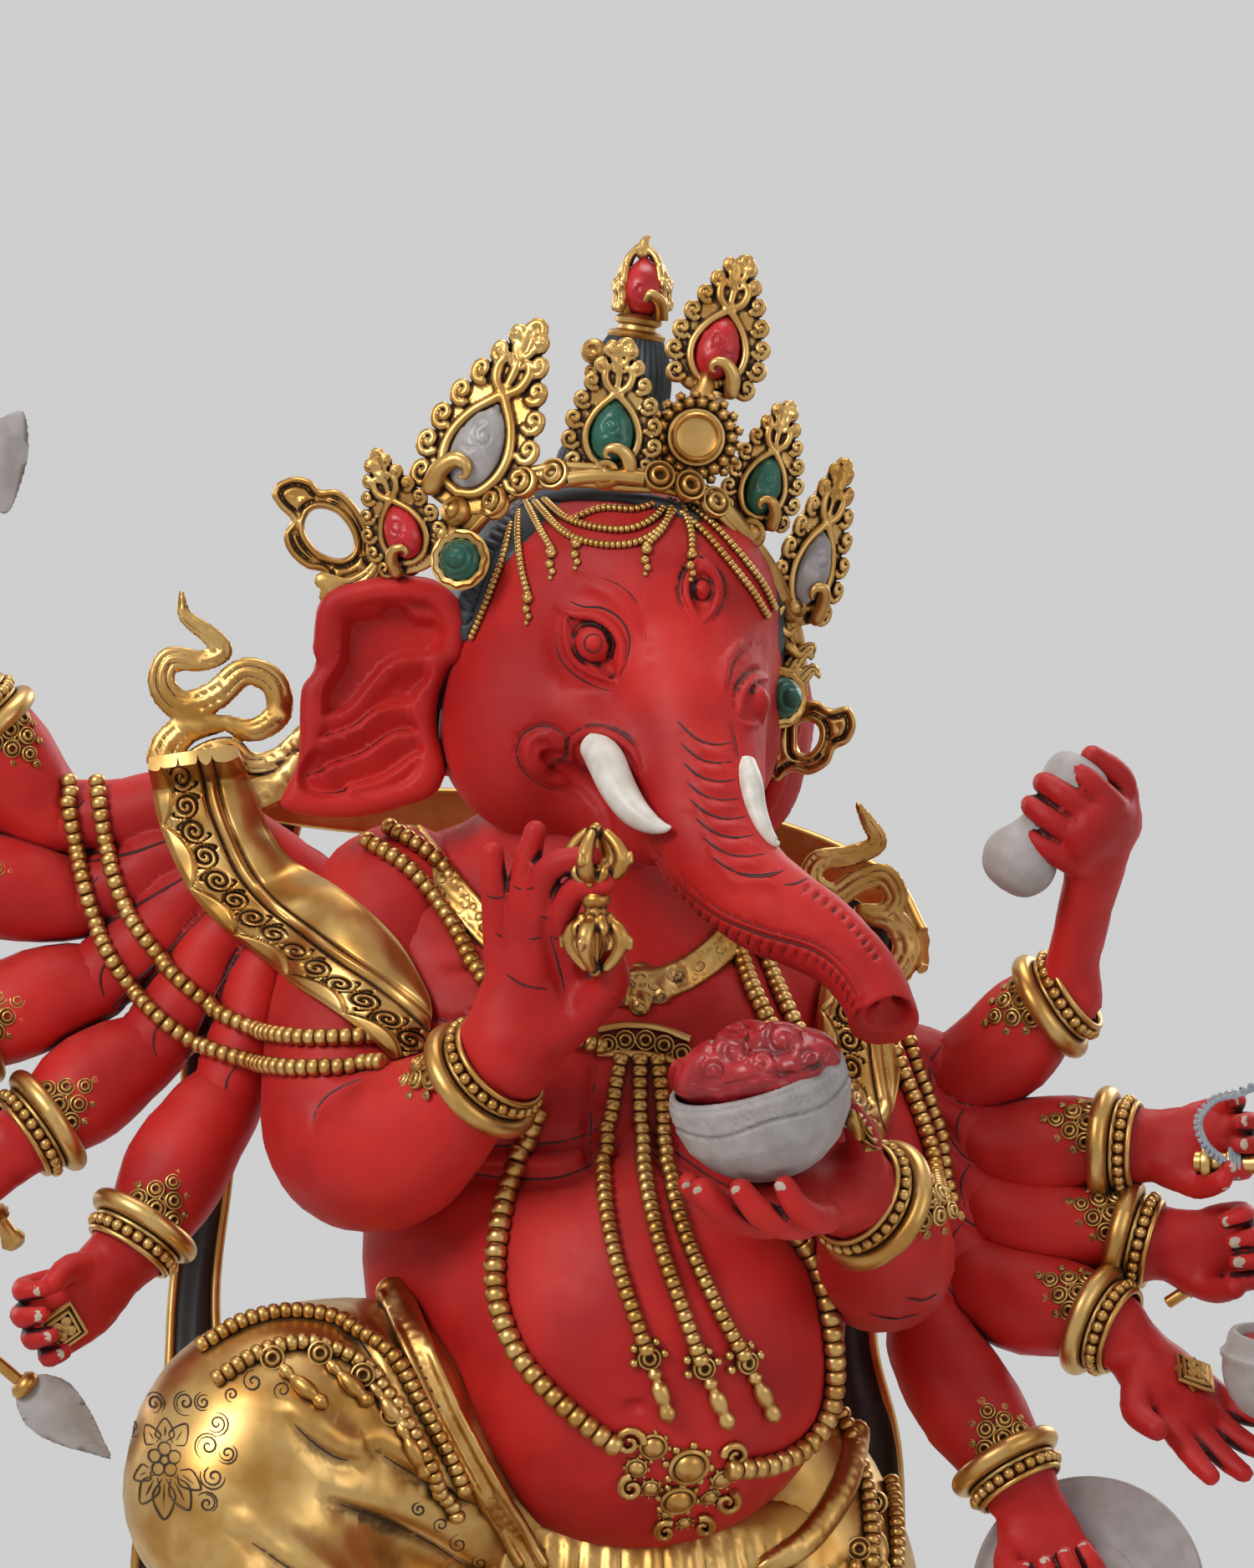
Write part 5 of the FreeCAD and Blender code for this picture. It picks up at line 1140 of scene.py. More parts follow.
def makeLeaf(name, foot, tip, width, facing, gemPaint, clawSide):
    foot, tip = np.array(foot, float), np.array(tip, float)
    height = np.linalg.norm(tip - foot)
    up = unit(tip - foot)
    back = unit(-np.array(facing) + up * (np.array(facing) @ up))
    across = np.cross(back, up)
    place = (foot, np.array([across, back, up]))
    sx, sz = width / 30.0, height / 40.0
    sm = (sx + sz) / 2 * 1.06

    def at(x, z):
        return (x * sx, z * sz)

    def bone(x, y, z, r):
        return (x * sx, y, z * sz, r * sm)

    c = Clay((-17.5 * sx, -9.5, -3.5 * sz), (17.5 * sx, 4.0, 43.5 * sz), 0.32)
    part, (x, y, z) = c.window([c.low, c.low + c.step * c.count], 0)
    half = [(6.5, -0.6), (11.0, 3.0), (13.3, 9.0), (13.2, 15.0), (11.6, 21.0), (9.0, 27.0), (6.4, 32.0),
        (3.8, 36.6), (1.6, 40.0)]
    outline = [at(*p) for p in [(0, -1.5)] + half + [(0, 41.4)] + [(-a, b) for a, b in half[::-1]]]
    outer = outlineDistance(x[:, 0], z[0], outline)[:, None, :]
    c.merge(part, softMax(outer + 0 * y, np.abs(y) - 1.3, 1.2).astype(np.float32), 0)
    curls = [((11.4, 3.6), 3.0, 200), ((13.4, 9.8), 2.9, 212), ((12.8, 16.0), 2.8, 222),
        ((10.8, 22.0), 2.7, 230), ((8.2, 27.6), 2.5, 236), ((5.6, 32.8), 2.2, 240),
        ((3.2, 37.4), 1.8, 250)]
    for side in (-1, 1):
        for (cx, cz), radius, start in curls:
            path = spiral((0, 0), start, 1.35, radius, 1, 0.12, 15)
            rows = [(*at(side * (cx + px), cz + pz), -1.2 - 0.10 * k, 1.20 - 0.04 * k)
                for k, (px, pz) in enumerate(path)]
            c.chain([(px, py, pz, r * sm) for px, pz, py, r in rows], 0.35, per=1)
        rib = [(0.6, 24.6, 1.0), (3.6, 27.0, 1.3), (4.4, 30.2, 1.2), (2.9, 32.4, 0.9), (1.7, 31.0, 0.6)]
        c.chain([bone(side * a, -1.9, b, r) for a, b, r in rib], 0.3)
        bud = [(0.5, 32.6, 0.8), (2.3, 34.6, 1.0), (1.7, 37.2, 0.8), (0.7, 36.2, 0.5)]
        c.chain([bone(side * a, -1.7, b, r) for a, b, r in bud], 0.3)
    tipCurl = spiral((1.2, 39.2), 215, 1.2, 2.6, clawSide, 0.15, 12)
    c.chain([bone(a, -1.2, b, 1.2) for a, b in [(0, 25), (0, 30), (-0.3, 35)]] + [bone(a, -1.3, b,
        1.3 - 0.05 * k) for k, (a, b) in enumerate(tipCurl)], 0.4, per=1)
    rim = [(0, 2.4), (5.0, 4.0), (8.2, 8.6), (8.4, 13.6), (6.0, 18.6), (2.6, 22.2), (0, 24.2),
        (-2.6, 22.2), (-6.0, 18.6), (-8.4, 13.6), (-8.2, 8.6), (-5.0, 4.0), (0, 2.4)]
    c.chain([bone(a, -1.9, b, 1.25) for a, b in rim], 0.3, per=4)
    k = clawSide
    claw = [(7.0, -3.0, 1.4, 2.3), (6.2, -4.6, 5.2, 2.2), (3.0, -6.0, 8.2, 1.8), (-0.6, -6.2, 8.0, 1.3),
        (-1.4, -5.8, 5.8, 0.8), (0.2, -5.8, 5.2, 0.4)]
    c.chain([bone(a * k, y, b, r) for a, y, b, r in claw], 0.4)
    c.skin("leaf_" + name, "gilt", leafNodes, merge=0.35, reach=0.9, place=place)

    g = Clay((-9 * sx, -8, 1 * sz), (9 * sx, 2, 25 * sz), 0.32)
    g.ball((0, -1.2, 11.8 * sz), (7.3 * sx, 4.6, 8.6 * sz))
    g.chain([(0, -1.8, 18.0 * sz, 2.8 * sm), (0, -1.6, 21.6 * sz, 0.9 * sm)], 3)
    swirl = spiral((-1.0 * k * sx, 15 * sz), 100, 1.3, 2.9 * sm, -k, 0.2, 12)
    g.line(swirl, 0.32, 0.08, True, 0.2, 2)
    g.line([(4.5 * k * sx, 12 * sz), (1.5 * k * sx, 11.4 * sz), (-1.5 * k * sx, 12.4 * sz),
        (-4.0 * k * sx, 10.6 * sz)], 0.3, 0.08, True, 0.2)
    g.skin("gem_" + name, gemPaint, ["crown_gems"], merge=0.35, reach=0.8, place=place)


def rosette(pile, centre, axis, size):
    # a double-ringed boss with a holed eye
    profile = [(-0.5, 0.86), (-0.1, 0.98), (0.14, 1.0), (0.30, 0.92), (0.32, 0.82), (0.16, 0.72),
        (0.12, 0.66), (0.34, 0.60), (0.50, 0.50), (0.52, 0.40), (0.40, 0.30), (0.06, 0.24), (-0.06, 0.05)]
    pile.turn(centre, axis, [(t * size, r * size) for t, r in profile], 28)


def makeCrown():
    for name, (foot, tip, width, facing, gemPaint, clawSide) in leafLook.items():
        makeLeaf(name, foot, tip, width, facing, gemPaint, clawSide)
    pile = Pile()
    band = smoothPath(bandPath, 8)
    pile.tube(thick(band, 2.9), 14)
    pile.tube(thick(band + (0, -1.6, 2.0), 1.15), 8)
    pile.tube(thick(band + (0, -1.9, -1.9), 1.0), 8)
    centre = np.array((0, -12, 488.0))
    for x, y, z in ((-31.8, -37.4, 519.6), (-24.8, -38.8, 524.0), (-17.4, -39.6, 526.0),
            (7.6, -39.6, 525.4), (14.8, -38.0, 523.2), (20.8, -34.8, 519.4)):
        rosette(pile, (x, y, z), unit(np.array((x, y, z)) - centre) * (0.7, 1, 0.25), 4.0)
    pile.tube([(x, -40.2 + 0.004 * (x + 5) ** 2, 525.6 - 0.01 * (x + 5) ** 2, 1.9)
        for x in np.linspace(-14, 4, 14)], 14)
    # socket rosette with its ring of small points
    socket, way = np.array((16.4, -34.5, 534.8)), np.array((0.10, -1, 0.08))
    ring = [(-2.0, 7.0), (0.2, 7.2), (1.1, 6.8), (1.2, 6.2), (2.4, 6.0), (2.9, 5.4), (2.5, 4.9),
        (0.6, 4.6), (0.2, 3.0), (0.5, 0.1)]
    pile.turn(socket, way, ring, 40)
    u = unit(np.cross(way, (0, 0, 1)))
    v = np.cross(unit(way), u)
    pile.turn(socket, way, [(-2.4, 8.6), (-1.6, 9.6), (-0.8, 9.6), (-0.4, 8.6), (-0.4, 6.0)], 40)
    for a in around(18):
        spot = socket + (u * math.cos(a) + v * math.sin(a)) * 8.5
        pile.turn(spot, way, [(-1.0, 1.75), (0.4, 1.75), (1.3, 1.0), (2.1, 0.15)], 5)
        spot = socket + (u * math.cos(a + 0.17) + v * math.sin(a + 0.17)) * 10.4
        pile.turn(spot, way, [(-1.6, 1.3), (-0.4, 1.4), (0.6, 0.8), (1.2, 0.15)], 5)
    pile.tube(smoothPath([(17, -31, 543, 2.6), (18.5, -28, 547, 2.4), (19, -25, 549, 2.6)], 5), 12)
    for t, r in ((0, 4.2), (2.4, 3.4)):
        pile.turn((19.2, -24.6, 545.4 + t), (0.2, 0.1, 1),
            [(-1.1, r - 1), (-0.7, r), (0.7, r), (1.1, r - 1)], 24)
    # small flames hanging along the far side of the band
    for k in range(6):
        t = k / 5
        spot = np.array((26, -24, 511)) * (1 - t) + np.array((39.5, -3, 486)) * t
        pile.tube(smoothPath([(*(spot + (-3.5, -2, 2.5)), 1.5), (*(spot + (-1, -4.4, -0.5)), 1.4),
            (*(spot + (2.0, -3.6, -2.5)), 1.0), (*(spot + (3.6, -2.6, -1.0)), 0.4)], 4), 8)
    # feet of the leaves wrapped round the band
    for x, y, z in ((-43.5, -34, 512), (-41, -35.5, 517.5), (-5, -39.5, 526), (29.6, -23.5, 512.5),
            (39.8, -8.5, 495)):
        pile.turn((x, y, z), (x * 0.02, -1, 0.3),
            [(-2, 3.6), (0.4, 3.9), (1.6, 3.0), (1.0, 2.0), (2.0, 1.5), (2.4, 0.1)], 20)
    pile.settle("crownBand", "gilt", "gilt", ["crown_band"])


makeCrown()


def makeEarStuds():
    gold, green = Pile(), Pile()
    for centre, way in (((-39.4, -36.5, 505.6), (-0.25, -0.96, 0.1)),
            ((36.5, -14, 473.2), (0.55, -0.83, 0.0))):
        cup = [(-2.5, 3.0), (-1.5, 5.6), (0.3, 6.5), (1.4, 6.7), (2.0, 6.2), (1.7, 5.2), (1.0, 4.9)]
        gold.turn(centre, way, cup, 44, flutes=(11, 0.035))
        gold.turn(np.array(centre) + unit(way) * 0.4, way, [(-1, 6.0), (0, 7.2), (0.6, 7.3), (0.8, 6.6)],
            36)
        cone = [(0.2, 4.9), (1.8, 5.0), (2.9, 4.5), (3.3, 3.9), (4.1, 3.95), (5.0, 3.2), (5.3, 2.6),
            (6.0, 2.6), (6.9, 1.7), (7.6, 0.9), (7.9, 0.1)]
        green.turn(centre, way, cone, 36)
    gold.settle("studCups", "gilt", "gilt", ["crown_studs"])
    green.settle("studCones", "greenGem", "gem_paint", ["crown_studs"])


makeEarStuds()


def makeScarfWork(name, paths, low, high, y, nodes, flat=0.42):
    # cast scarf ends: flattened ribbons wound through (x, z, radius) stations, grooved along the middle
    c = Clay(low, high, 0.5)
    for path in paths:
        rows = smoothPath([(a, y + dy, b, r) for a, b, r, dy in path], 6)
        c.chain(rows, 0.25, per=1, flat=((0, 1, 0), flat))
    for path in paths:
        rows = smoothPath([(a, b, r) for a, b, r, dy in path], 6)
        heading = np.gradient(rows[:, :2], axis=0)
        heading /= np.maximum(np.linalg.norm(heading, axis=1), 1e-9)[:, None]
        beside = np.stack([-heading[:, 1], heading[:, 0]], 1)
        for side in (-1, 1):
            c.line((rows[:, :2] + beside * rows[:, 2:] * side * 0.36)[2:-2], 0.36, 0.05, True, 0.4, 1)
    return c.skin(name, "giltSmooth", nodes, merge=0.3, reach=1.2)


def ribbons(path, radii, dy=0.0):
    return [(*p, r, dy * k / max(len(path) - 1, 1)) for k, (p, r) in enumerate(zip(path, radii))]


loopLook = {
    "near": {"outline": [(-83.9, 524.2), (-79.7, 526.0), (-75.4, 525.0), (-73.2, 522.8), (-69.0, 522.8),
        (-64.4, 518.7), (-61.3, 512.4), (-60.6, 506.4), (-56.4, 505.6), (-50.4, 507.0), (-49.0, 503.6),
        (-54.4, 500.8), (-60.4, 499.4), (-65.4, 497.4), (-70.6, 495.6), (-73.6, 498.2), (-72.4, 502.8),
        (-76.6, 504.0), (-80.7, 507.6), (-82.2, 512.2), (-80.2, 515.4), (-83.0, 518.3), (-85.0, 521.6)],
        "hole": [(-76.2, 517.0), (-73.5, 518.3), (-69.3, 517.0), (-66.0, 512.8), (-65.4, 508.6),
        (-68.2, 506.4), (-73.2, 507.8), (-76.5, 511.7), (-77.0, 514.8)], "depth": -22, "lean": 0.05},
    "far": {"outline": [(33.8, 464.6), (36.8, 468.8), (41.0, 472.0), (45.8, 472.6), (49.0, 470.6),
        (53.4, 471.2), (55.2, 466.8), (53.4, 462.4), (50.2, 460.8), (48.6, 457.2), (43.8, 454.6),
        (39.4, 455.4), (36.0, 452.6), (33.4, 455.0), (32.8, 460.0)],
        "hole": [(41.0, 466.2), (43.8, 467.6), (46.2, 466.0), (46.0, 462.6), (43.6, 459.8),
        (41.0, 461.0)], "depth": -3, "lean": -0.25},
}


def makeLoop(name, outline, hole, depth, lean):
    flat = np.array(outline)
    middle = flat.mean(0)
    c = Clay((flat[:, 0].min() - 1.5, depth - 12, flat[:, 1].min() - 1.5),
        (flat[:, 0].max() + 1.5, depth + 12, flat[:, 1].max() + 1.5), 0.4)
    part, (x, y, z) = c.window([c.low, c.low + c.step * c.count], 0)
    outer = outlineDistance(x[:, 0], z[0], outline)[:, None, :]
    inner = -outlineDistance(x[:, 0], z[0], hole)[:, None, :]
    edge = softMax(outer, inner, 0.6)
    rise = 1.8 + 0.7 * np.exp(-((edge + 0.9) / 0.6) ** 2) - 0.9 * np.exp(-((edge + 2.0) / 0.35) ** 2) \
        + 0.7 * np.exp(-((edge + 3.3) / 0.9) ** 2)
    sheet = np.abs(y - depth - (x - middle[0]) * lean) - rise
    c.merge(part, softMax(edge + 0 * y, sheet, 1.2).astype(np.float32), 0)
    c.skin(name, "gilt", ["ribbon_loops"], merge=0.3, reach=1.2)


makeLoop("ribbonLoopNear", **loopLook["near"])
makeLoop("ribbonLoopFar", **loopLook["far"])
pleats = [ribbons([(-72.5, 501.0), (-67.0, 499.4), (-62.0, 501.6), (-58.6, 506.4)], [2.2, 2.4, 2.2, 1.4]),
    ribbons([(-71.4, 497.2), (-65.0, 496.4), (-59.0, 499.0), (-54.4, 503.6)], [2.2, 2.6, 2.4, 1.6])]
makeScarfWork("ribbonPleats", pleats, (-78, -32, 490), (-46, -16, 512), -25.5, ["ribbon_loops"])
tuft = [ribbons([(34.5, 476), (38.5, 479.5), (41.5, 483.5), (44.6, 485.6), (44.4, 482.6)],
    [2.4, 2.4, 1.9, 1.2, 0.6]), ribbons([(36, 474), (41.0, 476.8), (44.6, 480.2), (46.4, 478.2)],
    [2.2, 2.0, 1.4, 0.6]), ribbons([(34, 479), (36.0, 483.4), (39.4, 485.8), (40.6, 483.4)],
    [2.0, 1.8, 1.3, 0.6])]
makeScarfWork("ribbonTuft", tuft, (28, -14, 468), (52, 4, 490), -5, ["ribbon_loops"], flat=0.7)

# hair, topknot and finial
def makeHair():
    c = Clay((-50, -42, 440), (48, 44, 540), 0.8)
    c.ball((-3, -4, 490), (41.8, 40, 38.2))
    c.ball((-2, 6, 524), (15.5, 15, 14), 4)
    c.cutPlane((-3, -31, 520), (0.10, -0.90, -0.20), 1)
    c.cutPlane((0, 0, 452), (0, -0.3, -1), 2)
    c.skin("hairCap", "hairPaint", ["hair_and_topknot"], merge=0.2)

    strip = Clay((-44, -46, 482), (-20, -14, 522), 0.4)
    path = head.drape(smoothPath([(-25.5, 518, 2.6), (-30.5, 511.5, 3.6), (-34.5, 504, 3.9),
        (-37.2, 496, 3.6), (-38.6, 488.5, 2.4)], 5), -0.6)
    strip.chain(path[path[:, 1] < skinLimit], 0.6, per=1)
    for k in range(13):
        t = k / 12
        x, z = np.array((-26.5, 517.5)) * (1 - t) + np.array((-38.4, 490)) * t + (3.2 * t * (1 - t),
            6 * t * (1 - t))
        for side in (-1, 1):
            strip.line([(x, z), (x + side * 2.0 - 0.6, z + 1.6), (x + side * 4.0 - 1, z + 2.4)], 0.34,
                0.0, True, 0.3, 3)
    strip.skin("hairTemple", "hairPaint", ["hair_and_topknot"], reach=0.8)

    brow = Clay((-30, -46, 508), (20, -18, 526), 0.4)
    path = head.drape(smoothPath([(-27, 517.5, 1.6), (-20, 520.2, 2.2), (-10, 521.2, 2.5),
        (0, 520.6, 2.5), (9, 518.6, 2.2), (16, 515.4, 1.6)], 5), -0.4)
    brow.chain(path[path[:, 1] < skinLimit], 0.6, per=1)
    brow.skin("hairBrow", "hairPaint", ["hair_and_topknot"], reach=0.8)

    pile = Pile()
    foot, way = np.array((-3, 2, 523.0)), unit((0.14, -0.02, 1))
    mound = [(-6, 15), (2, 15.6), (8, 14.6), (13, 12.2), (16, 9.6), (18, 8.6)]
    pile.turn(foot, way, mound, 160, flutes=(40, 0.018))
    bun = [(17, 7.5), (18.5, 9.0), (22, 9.9), (27, 9.9), (32, 9.0), (36.5, 7.2), (39, 5.5)]
    pile.turn(foot, way, smoothPath(bun, 3), 144, flutes=(36, 0.024))
    pile.turn(foot, way, [(14.6, 9.2), (15.5, 10.2), (17.3, 10.4), (18.4, 9.4)], 48, flutes=(24, 0.03))
    pile.settle("topknot", "hairPaint", "hair_paint", ["hair_and_topknot"])

    gold = Pile()
    for (x, z), r in (((-8.0, 556.5), 3.2), ((-4.2, 553.2), 2.2), ((-8.6, 551.6), 1.8),
            ((-3.4, 557.6), 1.8), ((-5.0, 549.8), 1.7)):
        gold.turn((x, -8.5, z), (-0.2, -1, 0.1),
            [(-r, r * 0.4), (-r * 0.7, r * 0.85), (0, r), (r * 0.55, r * 0.8), (r * 0.7, r * 0.45),
            (r * 0.45, r * 0.2)], 16)
    top = foot + way * 38
    base = [(-1.5, 6.0), (-0.6, 7.0), (0.4, 7.1), (1.0, 6.2), (1.4, 4.7), (2.4, 4.5), (3.0, 5.6),
        (4.0, 5.8), (4.8, 4.8), (5.2, 3.9)]
    gold.turn(top, way, base, 36)
    gold.settle("topknotGold", "gilt", "gilt", ["topknot_finial"])

    jewel = top + way * 10.5
    gem = Clay(jewel - 8, jewel + (8, 8, 10), 0.35)
    gem.ball(jewel + (0.4, -0.6, 0.4), (6.0, 5.8, 6.8))
    gem.chain([(*(jewel + (0.3, 0, 4)), 2.6), (*(jewel + (0.6, 0, 8)), 0.9)], 2.5)
    gem.line(spiral((jewel[0], jewel[2]), 60, 1.1, 3.2, -1), 0.30, 0.05, True, 0.25, 2)
    gem.skin("finialGem", "redGem", ["topknot_finial"], reach=0.8)
    flames = Clay(jewel - (10, 9, 7), jewel + (10, 9, 15), 0.35)
    for a in np.radians((-158, -22, 38, 90, 142)):
        out = np.array((math.cos(a), math.sin(a), 0))
        side = np.array((-out[1], out[0], 0))
        for s in (-1, 1):
            stem = [(*(jewel + out * 3.6 + (0, 0, -5.6)), 1.5),
                (*(jewel + out * 5.6 + side * s * 1.4 + (0, 0, -2)), 1.3),
                (*(jewel + out * 5.4 + side * s * 1.6 + (0, 0, 2.5)), 1.1),
                (*(jewel + out * 4.6 + side * s * 0.8 + (0, 0, 6)), 1.0)]
            flames.chain(stem, 0.3)
            curl = spiral((0, 0), 190, 1.1, 1.7, 1, 0.15, 9)
            for lift, push in ((-2.6, 1.6), (2.0, 1.4)):
                flames.chain([(*(jewel + out * 6.3 + side * s * (push + a1) + (0, 0, lift + b1)), 0.8)
                    for a1, b1 in curl], 0.2, per=1)
        flames.chain([(*(jewel + out * 4.8 + (0, 0, 5)), 1.0), (*(jewel + out * 3.6 + (0, 0, 8.4)), 1.0),
            (*(jewel + out * 1.2 + (0, 0, 11.0)), 0.8)], 0.3)
    flames.chain([(*(jewel + (4.6, -3.0, -6.4)), 1.7), (*(jewel + (4.4, -5.8, -2.8)), 1.6),
        (*(jewel + (2.0, -7.0, -0.6)), 1.2), (*(jewel + (0.6, -7.0, -2.2)), 0.6)], 0.4)
    flames.chain([(*(jewel + (0, 0, 9.5)), 1.7), (*(jewel + (0.4, 0, 12.2)), 1.1),
        (*(jewel + (1.4, 0, 13.6)), 0.6)], 0.5)
    flames.skin("finialFlames", "gilt", ["topknot_finial"], merge=0.35, reach=0.9)


makeHair()
print("crown and hair ready")

# strings of beads
beadLook = {"long": 2.75, "short": 2.1, "arm": 2.2, "brow": 1.0, "hip": 2.1}


class Behind:
    # a skin that counts only where it lies behind a given depth, so that strings pass behind a hand
    def __init__(self, clay, depth):
        self.clay = clay
        self.depth = depth
        self.normal = clay.normal

    def front(self, places):
        y = self.clay.front(places)
        return np.where(y < self.depth, noSkin, y)


def stringOf(pile, clays, places, size, ease=3, smooth=8):
    path = smoothPath(places, smooth)
    rows = layOn(clays, path, size * 0.62, ease)
    if len(rows) > 1:
        pile.beads(evenPath(rows, size * 1.34), size)
    return rows


def makeBrowBeads():
    pile = Pile()
    skins = [head]
    size = beadLook["brow"]
    swags = [[(-20, 520.5), (-14.5, 515.5), (-8, 513.2), (0, 512.6), (6, 515), (10, 519.5)],
        [(-20.5, 518), (-14.5, 511.8), (-7, 509.2), (1, 509.2), (7, 512), (11, 517)],
        [(-25.5, 519), (-25.6, 511), (-24.6, 503), (-23.2, 497.5)],
        [(-23.8, 519.5), (-20.5, 513), (-17.6, 508)], [(-22.5, 520.5), (-17, 514), (-11.8, 510.2)],
        [(11, 519), (8.5, 513), (4.6, 508.8)], [(13, 518.5), (15, 512), (15.2, 507.5)],
        [(-26.6, 519), (-28.6, 508), (-31.4, 500), (-34.4, 492.5), (-36.6, 487.5)],
        [(-13, 515), (-6, 517.6), (2, 517.4), (8, 519.4)],
        [(14, 519), (20, 514), (26, 507.5), (31.5, 500.5), (34.6, 494.5)],
        [(13, 516.5), (18.5, 511.5), (24, 505), (29.5, 498), (32.8, 492.5)]]
    ends = []
    for places in swags:
        rows = stringOf(pile, skins, places, size, 0, 10)
        if len(rows):
            ends.append(rows[-1])
    for k in (2, 3, 4, 5, 6):
        if k < len(ends):
            x, y, z = ends[k]
            for dx, dz, r in ((0, -1.0, 1.5), (-0.4, -3.6, 1.2), (0.2, -5.4, 1.0), (-0.3, -6.9, 0.7)):
                spot = head.front([(x + dx, z + dz)])[0]
                pile.turn((x + dx, min(spot, y + 2) - r * 0.4, z + dz), (0, -1, 0),
                    [(-r, r * 0.5), (-r * 0.5, r * 0.9), (0, r), (r * 0.6, r * 0.75), (r * 0.8, r * 0.3),
                    (r * 0.6, 0.05)], 12)
    pile.settle("browBeads", "gilt", "gilt", ["crown_band"])


def makeNecklaces():
    longBeads = Pile()
    skins = [torso]
    size = beadLook["long"]
    stringOf(longBeads, skins, [(-21, 374), (-26, 362), (-29.5, 346), (-30, 332), (-26, 320), (-20, 312),
        (-11, 303.5), (-3, 297.5)], size)
    stringOf(longBeads, skins, [(24.5, 291.2), (34, 292), (42, 296), (46.6, 303), (48, 312), (47, 324),
        (44, 337), (37, 347), (29, 353)], size)
    longBeads.settle("necklaceLong", "gilt", "gilt", ["necklace_long"])

    jewel = Pile()
    for (x, z), r in (((14.5, 291.5), 5.0), ((12.0, 283.2), 4.4), ((6.2, 296.4), 3.4),
            ((2.2, 291.2), 2.6), ((22.4, 288.0), 2.8), ((5.6, 286.2), 2.4), ((19.6, 283.6), 2.2),
            ((13.6, 277.2), 2.0), ((9.2, 279.6), 1.6)):
        y = torso.front([(x, z)])[0]
        way = torso.normal([(x, y, z)])[0]
        spot = np.array((x, y, z)) - way * 0.4
        dome = [(0, r), (r * 0.25, r), (r * 0.34, r * 0.86), (r * 0.22, r * 0.74), (r * 0.42, r * 0.66),
            (r * 0.62, r * 0.42), (r * 0.68, 0.05)]
        jewel.turn(spot, way, dome, 28)
        for a in around(8):
            jewel.turn(spot + unit(np.cross(way, (0.1, 0, 1))) * math.cos(a) * r * 1.12 + np.cross(way,
                unit(np.cross(way, (0.1, 0, 1)))) * math.sin(a) * r * 1.12, way,
                [(-0.4, r * 0.2), (0.5, r * 0.22), (1.1, r * 0.1)], 8)
    for path in (spiral((0.5, 297.5), 0, 1.3, 3.6, 1), spiral((25.5, 294.0), 180, 1.3, 3.0, -1),
            spiral((1.0, 286.5), 90, 1.3, 3.0, 1), spiral((23.4, 282.5), 60, 1.3, 3.0, -1),
            spiral((9.0, 275.5), 60, 1.2, 2.6, 1), spiral((18.0, 276.5), 120, 1.2, 2.6, -1)):
        rows = layOn(skins, path, 0.6)
        jewel.tube(np.column_stack([rows, np.linspace(1.1, 0.6, len(rows))]), 8)
    jewel.settle("pendantJewel", "gilt", "gilt", ["necklace_long"])

    strands = Pile()
    size = beadLook["short"]
    for path, (endX, endZ) in (([(-1.5, 387), (-3.5, 376), (-5.4, 360), (-3.4, 344), (1.2, 329),
            (4.6, 319.5)], (10.2, 302)), ([(3.2, 387), (3.0, 374), (4.0, 360), (7.5, 344), (13.4, 327),
            (17, 317)], (24, 300.5)), ([(7.4, 387), (8.4, 376), (9.4, 362), (13.4, 346), (21, 329),
            (27, 318)], (35.0, 301.5))):
        stringOf(strands, skins, path, size)
        x, z = path[-1]
        way2 = unit((endX - x, endZ - z))
        for along, r in ((0.6, 2.9), (-2.6, 1.8)):
            px, pz = x + way2[0] * (along + 1.5), z + way2[1] * (along + 1.5)
            y = torso.front([(px, pz)])[0]
            normal = torso.normal([(px, y, pz)])[0]
            rosette(strands, np.array((px, y, pz)) + normal * 0.8, normal, r)
            for side in (-1, 1):
                sx, sz = px - way2[1] * side * (r + 0.9), pz + way2[0] * side * (r + 0.9)
                y = torso.front([(sx, sz)])[0]
                strands.turn((sx, y - 0.6, sz), torso.normal([(sx, y, sz)])[0],
                    [(-1, 1.0), (0.4, 1.2), (1.2, 0.7), (1.4, 0.1)], 10)
        drop = np.array([(x + way2[0] * d, z + way2[1] * d) for d in np.linspace(4.6, 18, 10)])
        rows = layOn(skins, drop, 1.0, 2)
        radii = np.array([1.1, 1.9, 1.1, 2.0, 2.2, 2.1, 1.5, 2.1, 2.0, 0.4])
        rows = smoothPath(np.column_stack([rows, radii[:len(rows)]]), 4)
        strands.tube(rows, 12)
    # pairs over both shoulders, and the neck chain
    chest = [torso, Behind(nearArmClay, -38), Behind(farArmClay, -38), fans["right"], fans["left"]]
    for path in ([(-62, 438), (-52, 431.5), (-43, 420.5), (-36.5, 409), (-30, 399.5)],
            [(-57, 441), (-47, 434.5), (-38, 424.5), (-31.5, 413.5), (-27.4, 406.5)],
            [(25.5, 414), (28.6, 405), (32.4, 397), (36, 390)],
            [(31.5, 414), (34.4, 405), (38, 397), (41, 391)], [(-14, 392.5), (-10, 391), (-6, 390.4)]):
        stringOf(strands, chest, path, beadLook["arm"])
